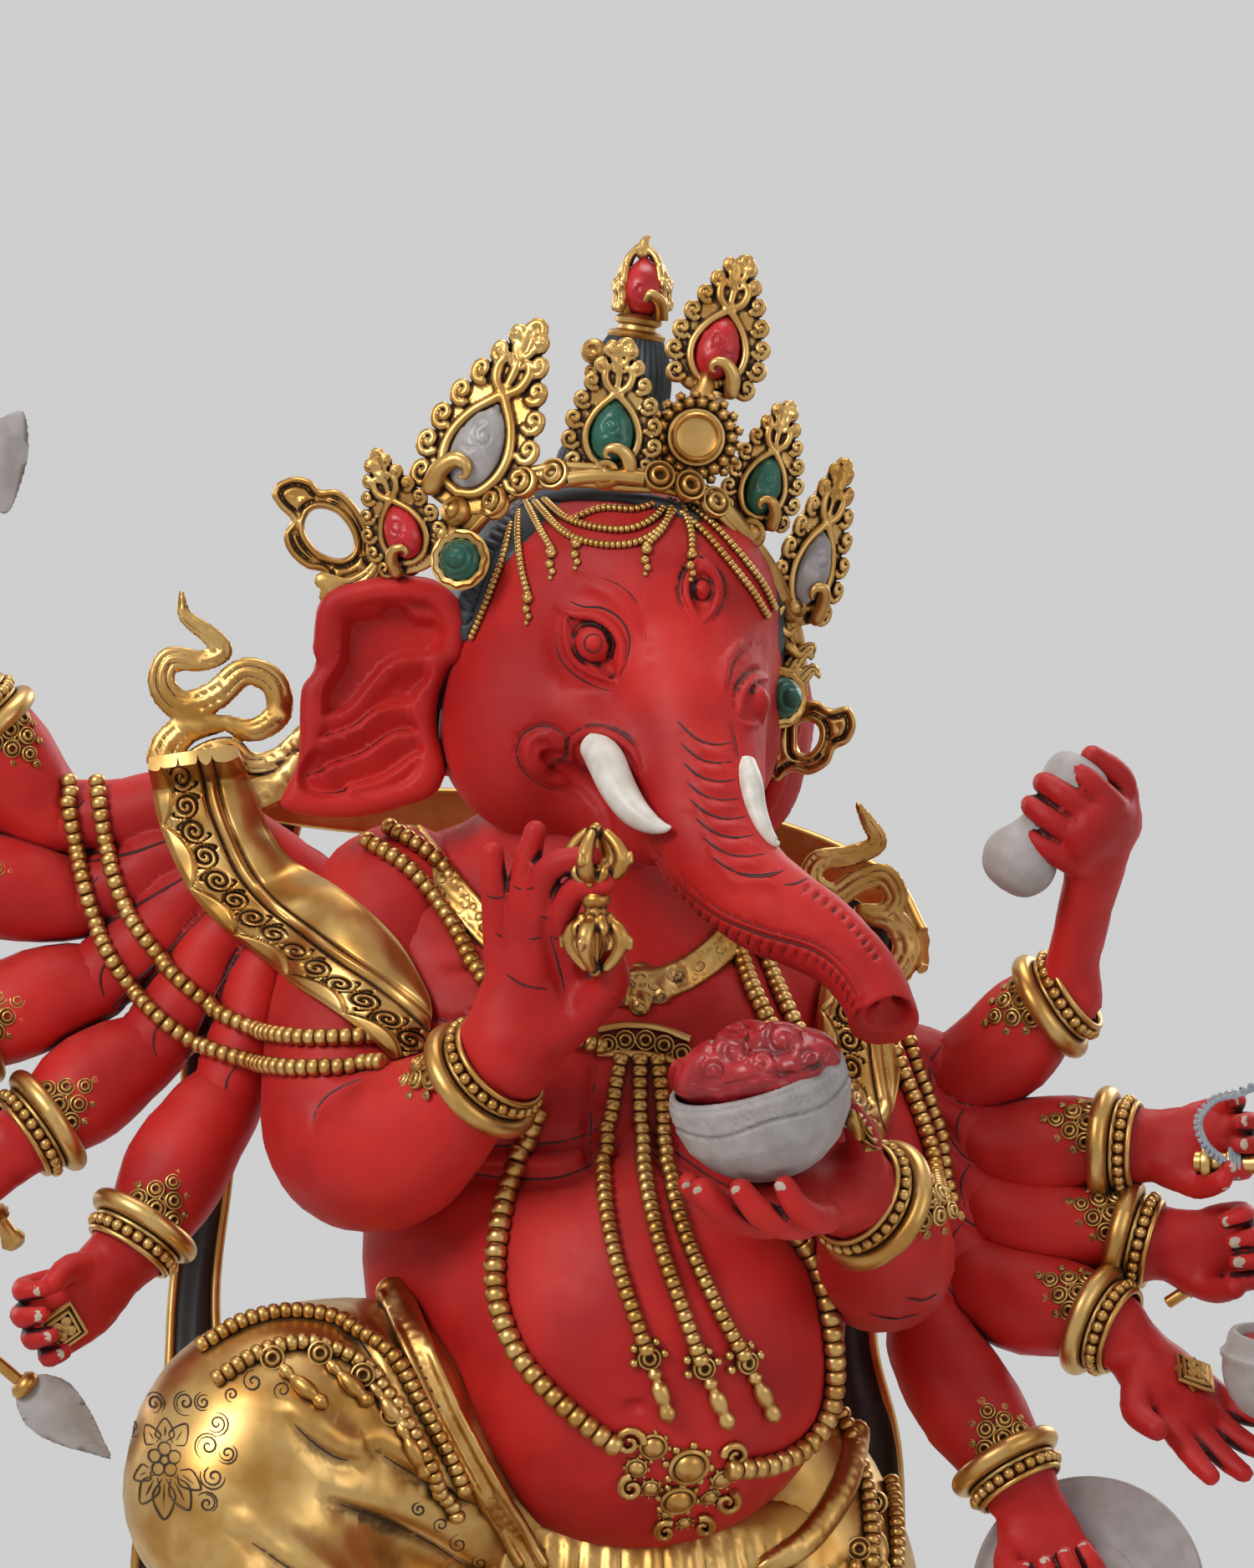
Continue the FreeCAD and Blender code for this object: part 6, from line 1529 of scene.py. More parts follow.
    # scrolled bar over the breastbone
    for x, z in ((-4.6, 390.6), (-0.4, 391.6), (4.4, 391.6), (8.8, 390.4), (13.0, 388.4)):
        y = torso.front([(x, z)])[0]
        rosette(strands, (x, y - 0.8, z), (0, -1, 0.1), 2.6)
    bar = layOn(skins, [(-7, 388.6), (0, 388.4), (8, 387.6), (14, 385.6)], 0.8)
    strands.tube(thick(smoothPath(bar, 5), 1.1), 8)
    bar = layOn(skins, [(-7, 394), (0, 395), (8, 394.2), (15, 391.6)], 0.8)
    strands.tube(thick(smoothPath(bar, 5), 1.0), 8)
    strands.settle("necklaceShort", "gilt", "gilt", ["necklace_short"])

    arms = Pile()
    for path in ([(-136, 453), (-133.5, 440), (-130, 425), (-125, 412), (-118, 402), (-108, 393),
            (-96, 387.5), (-82, 385), (-70, 385), (-58, 385.6)],
            [(-128, 452), (-126, 440), (-123, 428), (-118, 418), (-110, 408), (-101, 400), (-91, 394.4),
            (-79, 392), (-67, 392), (-56, 392.6)],
            [(66.5, 394), (70, 384), (74, 373), (76.6, 362), (77.6, 352)],
            [(61.5, 393), (65, 384), (69, 374), (72.4, 363), (73.6, 352)]):
        stringOf(arms, trunkOfSkins, path, beadLook["arm"], 4)
    arms.settle("armBeads", "gilt", "gilt", ["arm_beads"])


makeBrowBeads()
makeNecklaces()


def makeCollar():
    c = Clay((-66, -88, 392), (40, 20, 452), 0.6)
    skins = [torso]
    band = [(-54, 441), (-47, 433), (-39, 423.5), (-30, 414), (-20, 408), (-8, 405), (3, 404), (12, 406),
        (20, 411), (26.5, 418.5), (30, 427)]
    rows = layOn(skins, smoothPath(band, 8), 0.8, 6)
    c.chain(thick(rows, 3.0), 0.5, per=1, flat=((0, 1, 0), 0.7))
    heading = np.gradient(rows[:, [0, 2]], axis=0)
    heading /= np.linalg.norm(heading, axis=1)[:, None]
    beside = np.stack([-heading[:, 1], heading[:, 0]], 1)
    for side in (1, -1):
        edge = rows + np.stack([beside[:, 0] * side * 2.9, np.full(len(rows), -1.0),
            beside[:, 1] * side * 2.9], 1)
        c.chain(thick(edge, 1.2), 0.3, per=1)
    flat = rows[:, [0, 2]]
    for k in range(4, len(flat) - 4, 5):
        c.line(spiral(flat[k], 90 + 25 * (k % 3), 1.2, 1.9, 1 if k % 2 else -1, 0.2, 12), 0.30, 0.1, True,
            0.2, 1)
    for (x, z), r in (((3, 406), 4.2), ((-6, 405), 3.4), ((12, 407), 3.4), ((3, 399.6), 2.8),
            ((-2, 401.5), 2.4), ((8, 402), 2.4)):
        spot = layOn(skins, [(x, z)], 0.6)[0]
        c.ball(spot, (r, 2.4, r), 1.2)
        c.line(spiral((x, z), 60, 1.5, r * 0.8, 1 if x > 2 else -1, 0.1, 14), 0.4, 0.1, True, 0.3, 1)
    c.skin("neckCollar", "gilt", ["collar"], merge=0.3, reach=1.0)
    nape = Pile()
    ring = [(-10 + 30 * math.cos(a), 6 + 30 * math.sin(a), 436 - 4 * math.cos(a), 2.4)
        for a in np.linspace(-0.2, math.pi + 0.2, 31)]
    nape.tube(ring, 12)
    nape.settle("collarBack", "gilt", "gilt")


makeCollar()
print("beads ready")

# bracelets
def makeBracelet(rings, centre, axis, inner, ornament=1.0, showing=(0, -1, 0)):
    # axis points to the hand; the ornament sits on the elbow side, towards showing
    axis, centre = unit(axis), np.array(centre, float)
    u = unit(np.array(showing, float) - axis * (axis @ np.array(showing, float)))
    v = np.cross(axis, u)
    angles = around(48)
    circle = np.cos(angles)[:, None] * u + np.sin(angles)[:, None] * v
    wire = 2.55
    rings.tube(thick(centre - axis * 2.4 + circle * (inner + wire * 0.75), wire), 16, closed=True)
    for lift, push, r in ((0.9, 0.7, 0.8), (5.0, 0.5, 0.8)):
        rings.tube(thick(centre + axis * lift + circle * (inner + push), r), 8, closed=True)
    count = int(2 * math.pi * (inner + 1.2) / 2.9)
    for a in around(count):
        out = math.cos(a) * u + math.sin(a) * v
        spot = centre + axis * 2.9 + out * (inner + 0.9)
        rings.turn(spot, out, [(-0.8, 1.2), (0.5, 1.45), (1.3, 1.15), (1.7, 0.5), (1.75, 0.05)], 10)
    # three-cornered ornament of bosses on a scrolled plate
    s = ornament
    spots = [(0.0, 5.6, 2.6), (0.44, 5.6, 2.5), (-0.44, 5.6, 2.5), (0.22, 9.9, 2.3), (-0.22, 9.9, 2.3),
        (0.0, 13.9, 2.0), (0.0, 8.6, 1.4), (0.62, 8.8, 1.0), (-0.62, 8.8, 1.0), (0.40, 13.2, 0.9),
        (-0.40, 13.2, 0.9), (0.0, 17.2, 1.0)]
    for turn, along, r in spots:
        out = math.cos(turn) * u + math.sin(turn) * v
        spot = centre - axis * along * s + out * (inner + 0.9 + along * 0.06)
        rosette(rings, spot, out, r * s * 1.1)


def makeBracelets():
    rings = Pile()
    for side, number in rearArms:
        arm = fanLook[side]["arms"][number - 1]
        elbow, wrist = np.array(arm["elbow"], float), np.array(arm["wrist"], float)
        showing = {"right": (0.25, -1, 0.35), "left": (-0.05, -1, 0.55)}[side]
        makeBracelet(rings, wrist - unit(wrist - elbow) * 2.0, wrist - elbow, 9.9, 0.92, showing)
    makeBracelet(rings, (-33.0, -59.6, 384.2), (7, -5.6, 6.6), 11.9, 1.0, (-0.9, -0.7, 0.9))
    makeBracelet(rings, (57.0, -57.2, 354.2), (-5, -5, 3.2), 12.1, 1.0, (0.55, -1.0, 0.5))
    rings.settle("bracelets", "gilt", "gilt", ["bracelets"], sharp=60)


makeBracelets()
print("bracelets ready")

# vajra, bowl, pestle and cup
def makeVajra():
    middle, way = np.array((-7.2, -82.5, 425.5)), unit((0.0, -0.06, 1))
    c = Clay(middle - (11, 11, 20), middle + (11, 11, 20), 0.36)
    u = unit(np.cross(way, (0.35, -0.9, 0)))
    v = np.cross(way, u)

    def at(radial, lift, a):
        return middle + way * lift + (u * math.cos(a) + v * math.sin(a)) * radial

    for lift, r in ((0, 3.6), (3.0, 2.9), (-3.0, 2.9), (4.8, 4.0), (-4.8, 4.0), (6.2, 3.0), (-6.2, 3.0)):
        c.ball(middle + way * lift, (r, r, 1.6 if lift else 2.6), 0.4)
    for end in (-1, 1):
        c.chain([(*at(0, end * 4, 0), 1.3), (*at(0, end * 13, 0), 1.1), (*at(0, end * 17, 0), 0.8)], 0.3,
            per=1)
        c.ball(at(0, end * 16.6, 0), 1.6, 0.3)
        for k in range(4):
            a = math.pi / 4 + k * math.pi / 2
            c.chain([(*at(2.2, end * 5.4, a), 1.9), (*at(5.4, end * 6.8, a), 2.0),
                (*at(6.6, end * 9.8, a), 1.9), (*at(5.2, end * 13.0, a), 1.6),
                (*at(2.8, end * 15.6, a), 1.2)], 0.3)
            c.chain([(*at(6.4, end * 8.6, a), 1.5), (*at(8.4, end * 9.4, a), 1.2),
                (*at(8.8, end * 11.0, a), 0.6)], 0.4, per=1)
            c.chain([(*at(3.0, end * 4.6, a + 0.78), 1.5), (*at(5.0, end * 6.4, a + 0.78), 1.3),
                (*at(5.2, end * 8.0, a + 0.78), 0.6)], 0.3)
        for a in around(8):
            c.ball(at(3.6, end * 3.9, a), 1.0, 0.2)
    c.skin("vajra", "gilt", ["vajra"], merge=0.3, reach=1.2)


def makeBowl():
    foot, way = np.array((36.6, -79, 361.5)), unit((-0.30, -0.25, 1))
    c = Clay(foot + (-32, -30, -3), foot + (26, 26, 34), 0.5)
    part, (x, y, z) = c.window([c.low, c.low + c.step * c.count], 0)
    px, py, pz = x - foot[0], y - foot[1], z - foot[2]
    lift = px * way[0] + py * way[1] + pz * way[2]
    radial = np.sqrt(np.maximum(px * px + py * py + pz * pz - lift * lift, 0))
    profile = ([0, 2, 6, 12, 18, 23, 26], [5, 10.5, 15.6, 19.8, 21.4, 21.4, 20.6])
    outerR = np.interp(lift, *profile)
    skinOut = (radial - outerR) * 0.82
    shell = softMax(softMax(skinOut, lift - 25.5, 1.2), -lift, 1.5)
    c.merge(part, shell.astype(np.float32), 0)
    hollow = softMax(radial - (outerR - 2.0), -(lift - 9), 2)
    c.merge(part, hollow.astype(np.float32), 0.8, True)
    # incised line and engraved scroll under the rim
    u = unit(np.cross(way, (0, 1, 0)))
    v = np.cross(way, u)

    def onBowl(angle, lift, out=0.0):
        r = np.interp(lift, *profile) + out
        return foot + way * lift + (u * math.cos(angle) + v * math.sin(angle)) * r

    c.chain([(*onBowl(a, 18.4 + 0.7 * math.sin(5 * a)), 0.55) for a in np.linspace(0, 2 * math.pi, 90)],
        0.3, True, 1)
    c.chain([(*onBowl(a, 24.3), 0.42) for a in np.linspace(0, 2 * math.pi, 90)], 0.3, True, 1)
    for k in range(22):
        a = k * 2 * math.pi / 22
        for hand, lift0 in ((1, 21.6), (-1, 20.4)):
            path = spiral((0, 0), 120 * hand, 1.1, 1.7, hand, 0.2, 9)
            c.chain([(*onBowl(a + p / 21.0 + (0.07 if hand < 0 else -0.05), lift0 + q), 0.34)
                for p, q in path], 0.2, True, 1)
    c.skin("skullBowl", "greyPaint", ["skull_bowl"], merge=0.25, reach=1.0)

    top = foot + way * 24
    m = Clay(foot + (-32, -30, 8), foot + (26, 26, 48), 0.5)
    m.ball(top + way * -1.5, (19.4, 19.0, 8.0), 0)
    for (dx, dy, dz), r in (((-8, -8, 3.0), 9), ((5, -5, 6.5), 9.5), ((-1, 6, 7), 9), ((13, -6, 5.5), 7),
            ((-13.5, 0, 1), 7), ((-1, -14, 1.6), 7.4), ((12, 4, 7), 7), ((-13, -8, -0.5), 6),
            ((10, -13, 3.4), 5.6)):
        m.ball(top + (dx, dy, dz), (r, r, r * 0.75), 2.2)
    for centre, r, start, hand in (((24.5, 391.5), 5.2, 200, -1), ((36.0, 393.5), 5.4, 330, 1),
            ((30.0, 398.5), 4.2, 60, 1), ((19.5, 386.5), 3.4, 120, 1), ((42.5, 389.6), 3.6, 60, -1),
            ((31, 388.8), 3.2, 0, 1)):
        m.line(spiral(centre, start, 1.5, r, hand, 0.12, 20), 0.62, 0.1, True, 0.7, 1)
    m.line([(14, 384), (20, 382.4), (27, 383.8), (33, 385.6), (39, 385.4), (46, 388.6)], 0.55, 0.1, True,
        0.7)
    m.skin("offeringFlesh", "bloodPaint", ["offering"], merge=0.25, reach=1.4)


def makePestle():
    pile = Pile()
    profile = smoothPath([(0, 0.5), (0.6, 4.2), (2.6, 7.2), (6.6, 9.1), (10.6, 8.8), (14, 7.0), (18, 5.8),
        (22, 5.7), (26, 6.8), (30, 8.2), (34, 7.8), (36.6, 5.2), (37.6, 0.5)], 4)
    pile.turn((89.6, -12.5, 427.5), unit((20.5, 0, 29)), profile, 56)
    pile.turn((89.6, -12.5, 427.5), unit((20.5, 0, 29)),
        [(17.6, 5.6), (18.2, 6.3), (19.0, 6.3), (19.6, 5.6)], 48)
    pile.settle("pestle", "greyPaint", "grey_paint", ["pestle"])


def makeCup():
    pile, blood = Pile(), Pile()
    way, foot = unit((0.1, -0.15, 1)), np.array((156.6, -25, 299.6))
    profile = [(0, 4.0), (0.6, 6.5), (3, 11), (6, 13.6), (9, 15.2), (12, 16.0), (15, 16.2), (15.6, 16.8),
        (16.6, 16.9), (17.2, 16.2), (18.2, 15.7), (20.6, 15.4), (21.8, 14.8), (21.8, 13.6), (20.2, 12.8),
        (18.0, 12.6), (17.6, 11.0), (17.4, 0.1)]
    pile.turn(foot, way, profile, 64)
    pile.settle("bloodCup", "greyPaint", "grey_paint", ["blood_cup"])
    blood.turn(foot, way, [(17.8, 12.5), (19.4, 12.4), (20.2, 11.2), (20.0, 9.4), (20.8, 7.4),
        (21.2, 4.4), (20.6, 2.2), (21.0, 0.1)], 60, flutes=(7, 0.03))
    blood.settle("cupBlood", "bloodPaint", "offering_paint", ["offering"])


makeVajra()
makeBowl()
makePestle()
makeCup()
print("hand vessels ready")

# shawl
curlNear = [ribbons([(-107.6, 498.5), (-106.6, 493), (-101, 488.6), (-97.6, 484.6), (-103, 482.2),
    (-110.4, 482.6), (-112.4, 476.6), (-107.6, 471.4), (-99.6, 473.8), (-92.4, 479.6), (-85.4, 477.0),
    (-84.2, 469.6), (-90.4, 465.4), (-97.0, 467.4)],
    [0.8, 1.8, 2.4, 2.5, 2.7, 3.1, 3.5, 3.8, 3.8, 3.5, 3.5, 3.4, 2.9, 2.0]),
    ribbons([(-99, 467), (-107, 465.4), (-111.4, 459.6), (-108, 452.8), (-100, 449.4), (-91, 449.6),
    (-83.4, 452.2), (-79.6, 457.6)], [2.4, 3.9, 4.7, 5.0, 4.8, 4.4, 3.8, 2.8]),
    ribbons([(-107, 453), (-103, 459), (-96, 461), (-91, 457.4), (-84, 458.6), (-78, 465)],
    [3.6, 3.0, 3.0, 2.8, 3.0, 2.2], 2)]
makeScarfWork("shawlCurlNear", curlNear, (-120, -8, 440), (-70, 14, 502), 2, ["shawl"])
curlFar = [ribbons([(56.2, 447.4), (58.8, 443), (61.0, 438.0), (54, 435.0), (46.5, 433.6), (45, 428.4),
    (50.4, 425.2), (56, 428.6), (62.4, 430.0), (65.6, 424.6), (61.4, 420.2), (56.8, 421.8)],
    [0.9, 1.9, 2.4, 2.7, 2.9, 3.1, 3.2, 3.1, 3.2, 3.0, 2.7, 1.8]),
    ribbons([(58, 421), (64.6, 419.4), (68.4, 412.8), (64.6, 406.4), (57, 406), (50.6, 411.6)],
    [2.6, 3.4, 3.9, 4.0, 3.6, 3.0])]
makeScarfWork("shawlCurlFar", curlFar, (38, 12, 400), (76, 32, 452), 22, ["shawl"])


def reliefStrip(name, paint, nodes, outer, inner, clays, height, count=(200, 60), lift=2.6, ease=12,
        depth=3.2, swell=0.0):
    # a band between two (x, z) edges laid over the skins, worked with a height function of (along, across)
    a, b = smoothPath(outer, 10), smoothPath(inner, 10)
    s, t = np.linspace(0, 1, count[0]), np.linspace(0, 1, count[1])
    edgeA = np.stack([np.interp(s, np.linspace(0, 1, len(a)), a[:, k]) for k in range(2)], 1)
    edgeB = np.stack([np.interp(s, np.linspace(0, 1, len(b)), b[:, k]) for k in range(2)], 1)
    xz = edgeA[:, None] * (1 - t[None, :, None]) + edgeB[:, None] * t[None, :, None]
    y = np.stack([c.front(xz.reshape(-1, 2)) for c in clays]).min(0).reshape(count)
    level = np.where(y < skinLimit, y, np.nan)
    fallback = np.nanmean(level, axis=1)
    fallback = np.where(np.isnan(fallback), np.nanmean(fallback), fallback)
    y = np.where(y < skinLimit, y, fallback[:, None])
    for _ in range(ease):
        padded = np.pad(y, 1, mode="edge")
        y = np.minimum(y, (padded[:-2, 1:-1] + padded[2:, 1:-1] + padded[1:-1, :-2] + padded[1:-1, 2:]) / 4)
    if swell:
        y = np.minimum(y, y[:, :1] * (1 - t) + y[:, -1:] * t) - swell * np.sin(t * math.pi)
        window = np.ones(25) / 25
        padded = np.pad(y, ((12, 12), (0, 0)), mode="edge")
        y = np.stack([np.convolve(padded[:, k], window, "valid") for k in range(count[1])], 1)
    grid = np.stack([xz[..., 0], y - lift, xz[..., 1]], -1)
    du, dv = np.gradient(grid, axis=0), np.gradient(grid, axis=1)
    normal = np.cross(du, dv)
    normal /= np.maximum(np.linalg.norm(normal, axis=-1), 1e-9)[..., None]
    if normal[..., 1].mean() > 0:
        normal = -normal
    width = np.linalg.norm(edgeB - edgeA, axis=1)
    run = np.concatenate([[0], np.cumsum(np.linalg.norm(np.diff((edgeA + edgeB) / 2, axis=0), axis=1))])
    rise = height(np.broadcast_to(run[:, None], count), t[None, :] * width[:, None],
        width[:, None] + 0 * t[None, :])
    rim = np.minimum(np.minimum(t, 1 - t)[None, :] * width[:, None], 1.6) / 1.6
    front = grid + normal * (rise * rim)[..., None]
    rear = grid - normal * depth
    points = np.concatenate([front.reshape(-1, 3), rear.reshape(-1, 3)])
    n, m = count
    i, j = np.meshgrid(np.arange(n - 1), np.arange(m - 1), indexing="ij")
    q = np.stack([i * m + j, i * m + j + 1, (i + 1) * m + j + 1, (i + 1) * m + j], -1).reshape(-1, 4)
    total = n * m
    borders = []
    for line in (np.arange(n) * m, np.arange(n) * m + m - 1, np.arange(m), (n - 1) * m + np.arange(m)):
        borders.append(np.stack([line[:-1], line[1:], line[1:] + total, line[:-1] + total], 1))
    a0, b0, c0 = points[q[:, 0]], points[q[:, 1]], points[q[:, 2]]
    if (np.cross(b0 - a0, c0 - a0)[:, 1]).sum() > 0:
        q = q[:, ::-1]
        borders = [borders[0], borders[1][:, ::-1], borders[2][:, ::-1], borders[3]]
    else:
        borders = [borders[0][:, ::-1], borders[1], borders[2], borders[3][:, ::-1]]
    quads = np.concatenate([q, q[:, ::-1] + total] + borders)
    hollows = np.clip(-rise / 1.0, 0, 1).reshape(-1)
    piece = makeMesh(name, points, quads, [], paint, None, np.concatenate([hollows, hollows * 0]), 55)
    return settle(piece, nodes)


def scrollHeight(run, across, field, cell, depth):
    # engraved scrolls in the strip of the band between field[0] and field[1] millimetres from its first edge
    low, high = field
    middle, half = (low + high) / 2, (high - low) / 2
    index = np.floor(run / cell)
    side = np.where(index % 2 > 0, 1, -1)
    x = run - (index + 0.5) * cell
    z = (across - middle) * side
    r = np.sqrt(x * x + z * z) + 1e-6
    angle = np.arctan2(z, x)
    reach = min(cell / 2, half) * 0.98
    # arms of a winding scroll, closer together towards the eye
    turn = angle / (2 * math.pi) + r / reach * 1.9
    arms = np.abs(turn - np.round(turn)) / 1.9 * reach
    cut = np.exp(-(arms / 0.42) ** 2) * (r < reach)
    stem = np.abs(z + np.sin(x / cell * 2 * math.pi) * half * 0.8)
    cut = np.maximum(cut, np.exp(-(stem / 0.4) ** 2) * (r >= reach))
    inside = (across > low) & (across < high)
    return np.where(inside, -depth * cut + 0.25 * (1 - cut), 0)


def shawlHeight(run, across, width):
    # plain border with a cusped inner edge, scrolls, a double ridge and a plain swelling
    cusp = 1.0 + 4.0 * np.abs(np.sin(run / 15.5 * math.pi + 0.5)) ** 0.75
    ogee = 12.4 + 0.5 * np.sin(run / 9.0)
    scrolls = scrollHeight(run, across, (3.0, 11.8), 6.4, 0.85)
    rise = np.where(across > cusp + 0.5, scrolls, 0.7)
    for at, depth, spread in ((cusp, 0.9, 0.42), (ogee, 0.9, 0.45), (ogee + 3.4, 0.8, 0.42)):
        rise = rise - depth * np.exp(-((across - at) / spread) ** 2)
    rise = rise + 0.9 * np.exp(-((across - ogee - 1.7) / 0.9) ** 2)
    return rise + 0.8 * np.sin(np.clip((across - 15.5) / np.maximum(width - 16, 1), 0, 1) * math.pi)


def makeShawl():
    skins = [torso, fans["right"], nearArmClay] + [rearArms[("right", k)] for k in (1, 2, 3)]
    reliefStrip("shawlNear", "giltSmooth", ["shawl"],
        [(-115.0, 456), (-113.4, 445), (-109.6, 435), (-104.4, 425.6), (-97.2, 418), (-88.6, 411.4),
        (-80, 405.2), (-71.8, 400.2), (-63.3, 394.2), (-55.6, 387.2)],
        [(-93, 459), (-89.4, 450), (-85.6, 440.6), (-80.2, 434), (-70.4, 428.6), (-62.0, 422.6),
        (-54.8, 415.4), (-50.0, 408), (-46.4, 399.6), (-47.6, 389.4)], skins, shawlHeight, (340, 120),
        3.2, 70, swell=3.0)
    skins = [torso, fans["left"], farArmClay]
    reliefStrip("shawlFar", "giltSmooth", ["shawl"],
        [(52, 371), (48, 379), (46, 389), (46, 400), (48, 409)],
        [(61, 366), (64, 375), (66, 386), (65, 398), (62, 408)], skins, shawlHeight, (150, 80), 3.0, 20,
        swell=2.0)


makeShawl()


def makeShawlBack():
    # the stiff band behind the neck and the two scarf tails
    pile, cloth = Pile(), Pile()
    back = smoothPath([(-100, 16, 452), (-86, 30, 449), (-60, 39, 446), (-25, 43, 445), (12, 44, 443),
        (42, 42, 436), (64, 34, 425), (72, 22, 412)], 8)
    for lift, r in ((4.6, 1.5), (-4.6, 1.5)):
        pile.tube(thick(back + (0, 0, lift), r), 10)
    slab = []
    for p, q in zip(back, np.gradient(back, axis=0)):
        n = unit(np.cross(q, (0, 0, 1)))
        outline = [(-1.4, -4.6), (-1.9, -2.4), (-1.6, 0), (-2.1, 2.4), (-1.4, 4.6), (1.4, 4.6), (1.6, 0),
            (1.4, -4.6)]
        slab.append([p + n * a + np.array((0, 0, b)) for a, b in outline])
    pile.sweep(slab)
    pile.settle("shawlBack", "giltSmooth", "gilt", ["shawl"])
    trim = Pile()
    for stations in ([(-88, 36, 446, 8), (-98, 38, 410, 6.5), (-103, 36, 370, 5.5),
            (-104.5, 33, 335, 5.0), (-107, 30, 300, 6.5), (-110, 27, 262, 9), (-106, 24, 226, 11),
            (-100, 22, 200, 10)], [(58, 40, 428, 9), (53, 42, 392, 9), (50, 42, 350, 8), (53, 40, 318, 8),
            (57, 38, 290, 8), (60, 34, 245, 9), (66, 32, 204, 9)]):
        path = smoothPath(stations, 10)
        rings = []
        left, right = [], []
        for k, (x, y, z, half) in enumerate(path):
            ripple = math.sin(k * 0.35)
            y = y + 2.6 * math.sin(k * 0.27) * min(1, k / 12)
            outline = []
            for a in around(32):
                wave = 1.3 * math.sin(a) + 1.1 * math.sin(3 * half * math.cos(a) / 4 + k * 0.12)
                outline.append((x + half * math.cos(a) + ripple, y + wave, z))
            rings.append(outline)
            left.append((x - half + ripple, y, z, 1.3))
            right.append((x + half + ripple, y, z, 1.3))
        cloth.sweep(rings)
        trim.tube(left, 8)
        trim.tube(right, 8)
    cloth.settle("scarfTails", "darkCloth", "hair_paint", ["shawl"])
    trim.settle("scarfEdges", "gilt", "gilt", ["shawl"])


makeShawlBack()
print("shawl ready")

# trousers, feet, base and mouse
legLook = {
    "thigh": [(0, 12, 266, 30), (-28, 6, 280, 34), (-56, -12, 293, 35.5), (-82, -30, 294, 33.5),
        (-92, -38, 288, 27)],
    "shin": [(-92, -40, 280, 25), (-74, -50, 256, 21.5), (-50, -55, 238, 17), (-30, -56, 228, 12.4)],
    "standing": [(28, 10, 282, 31), (38, 6, 256, 33), (39, -5, 226, 27.5), (36, -10, 198, 23),
        (26, -4, 166, 19.4), (14, 0, 134, 14.6), (11, 0, 112, 12.4)],
}


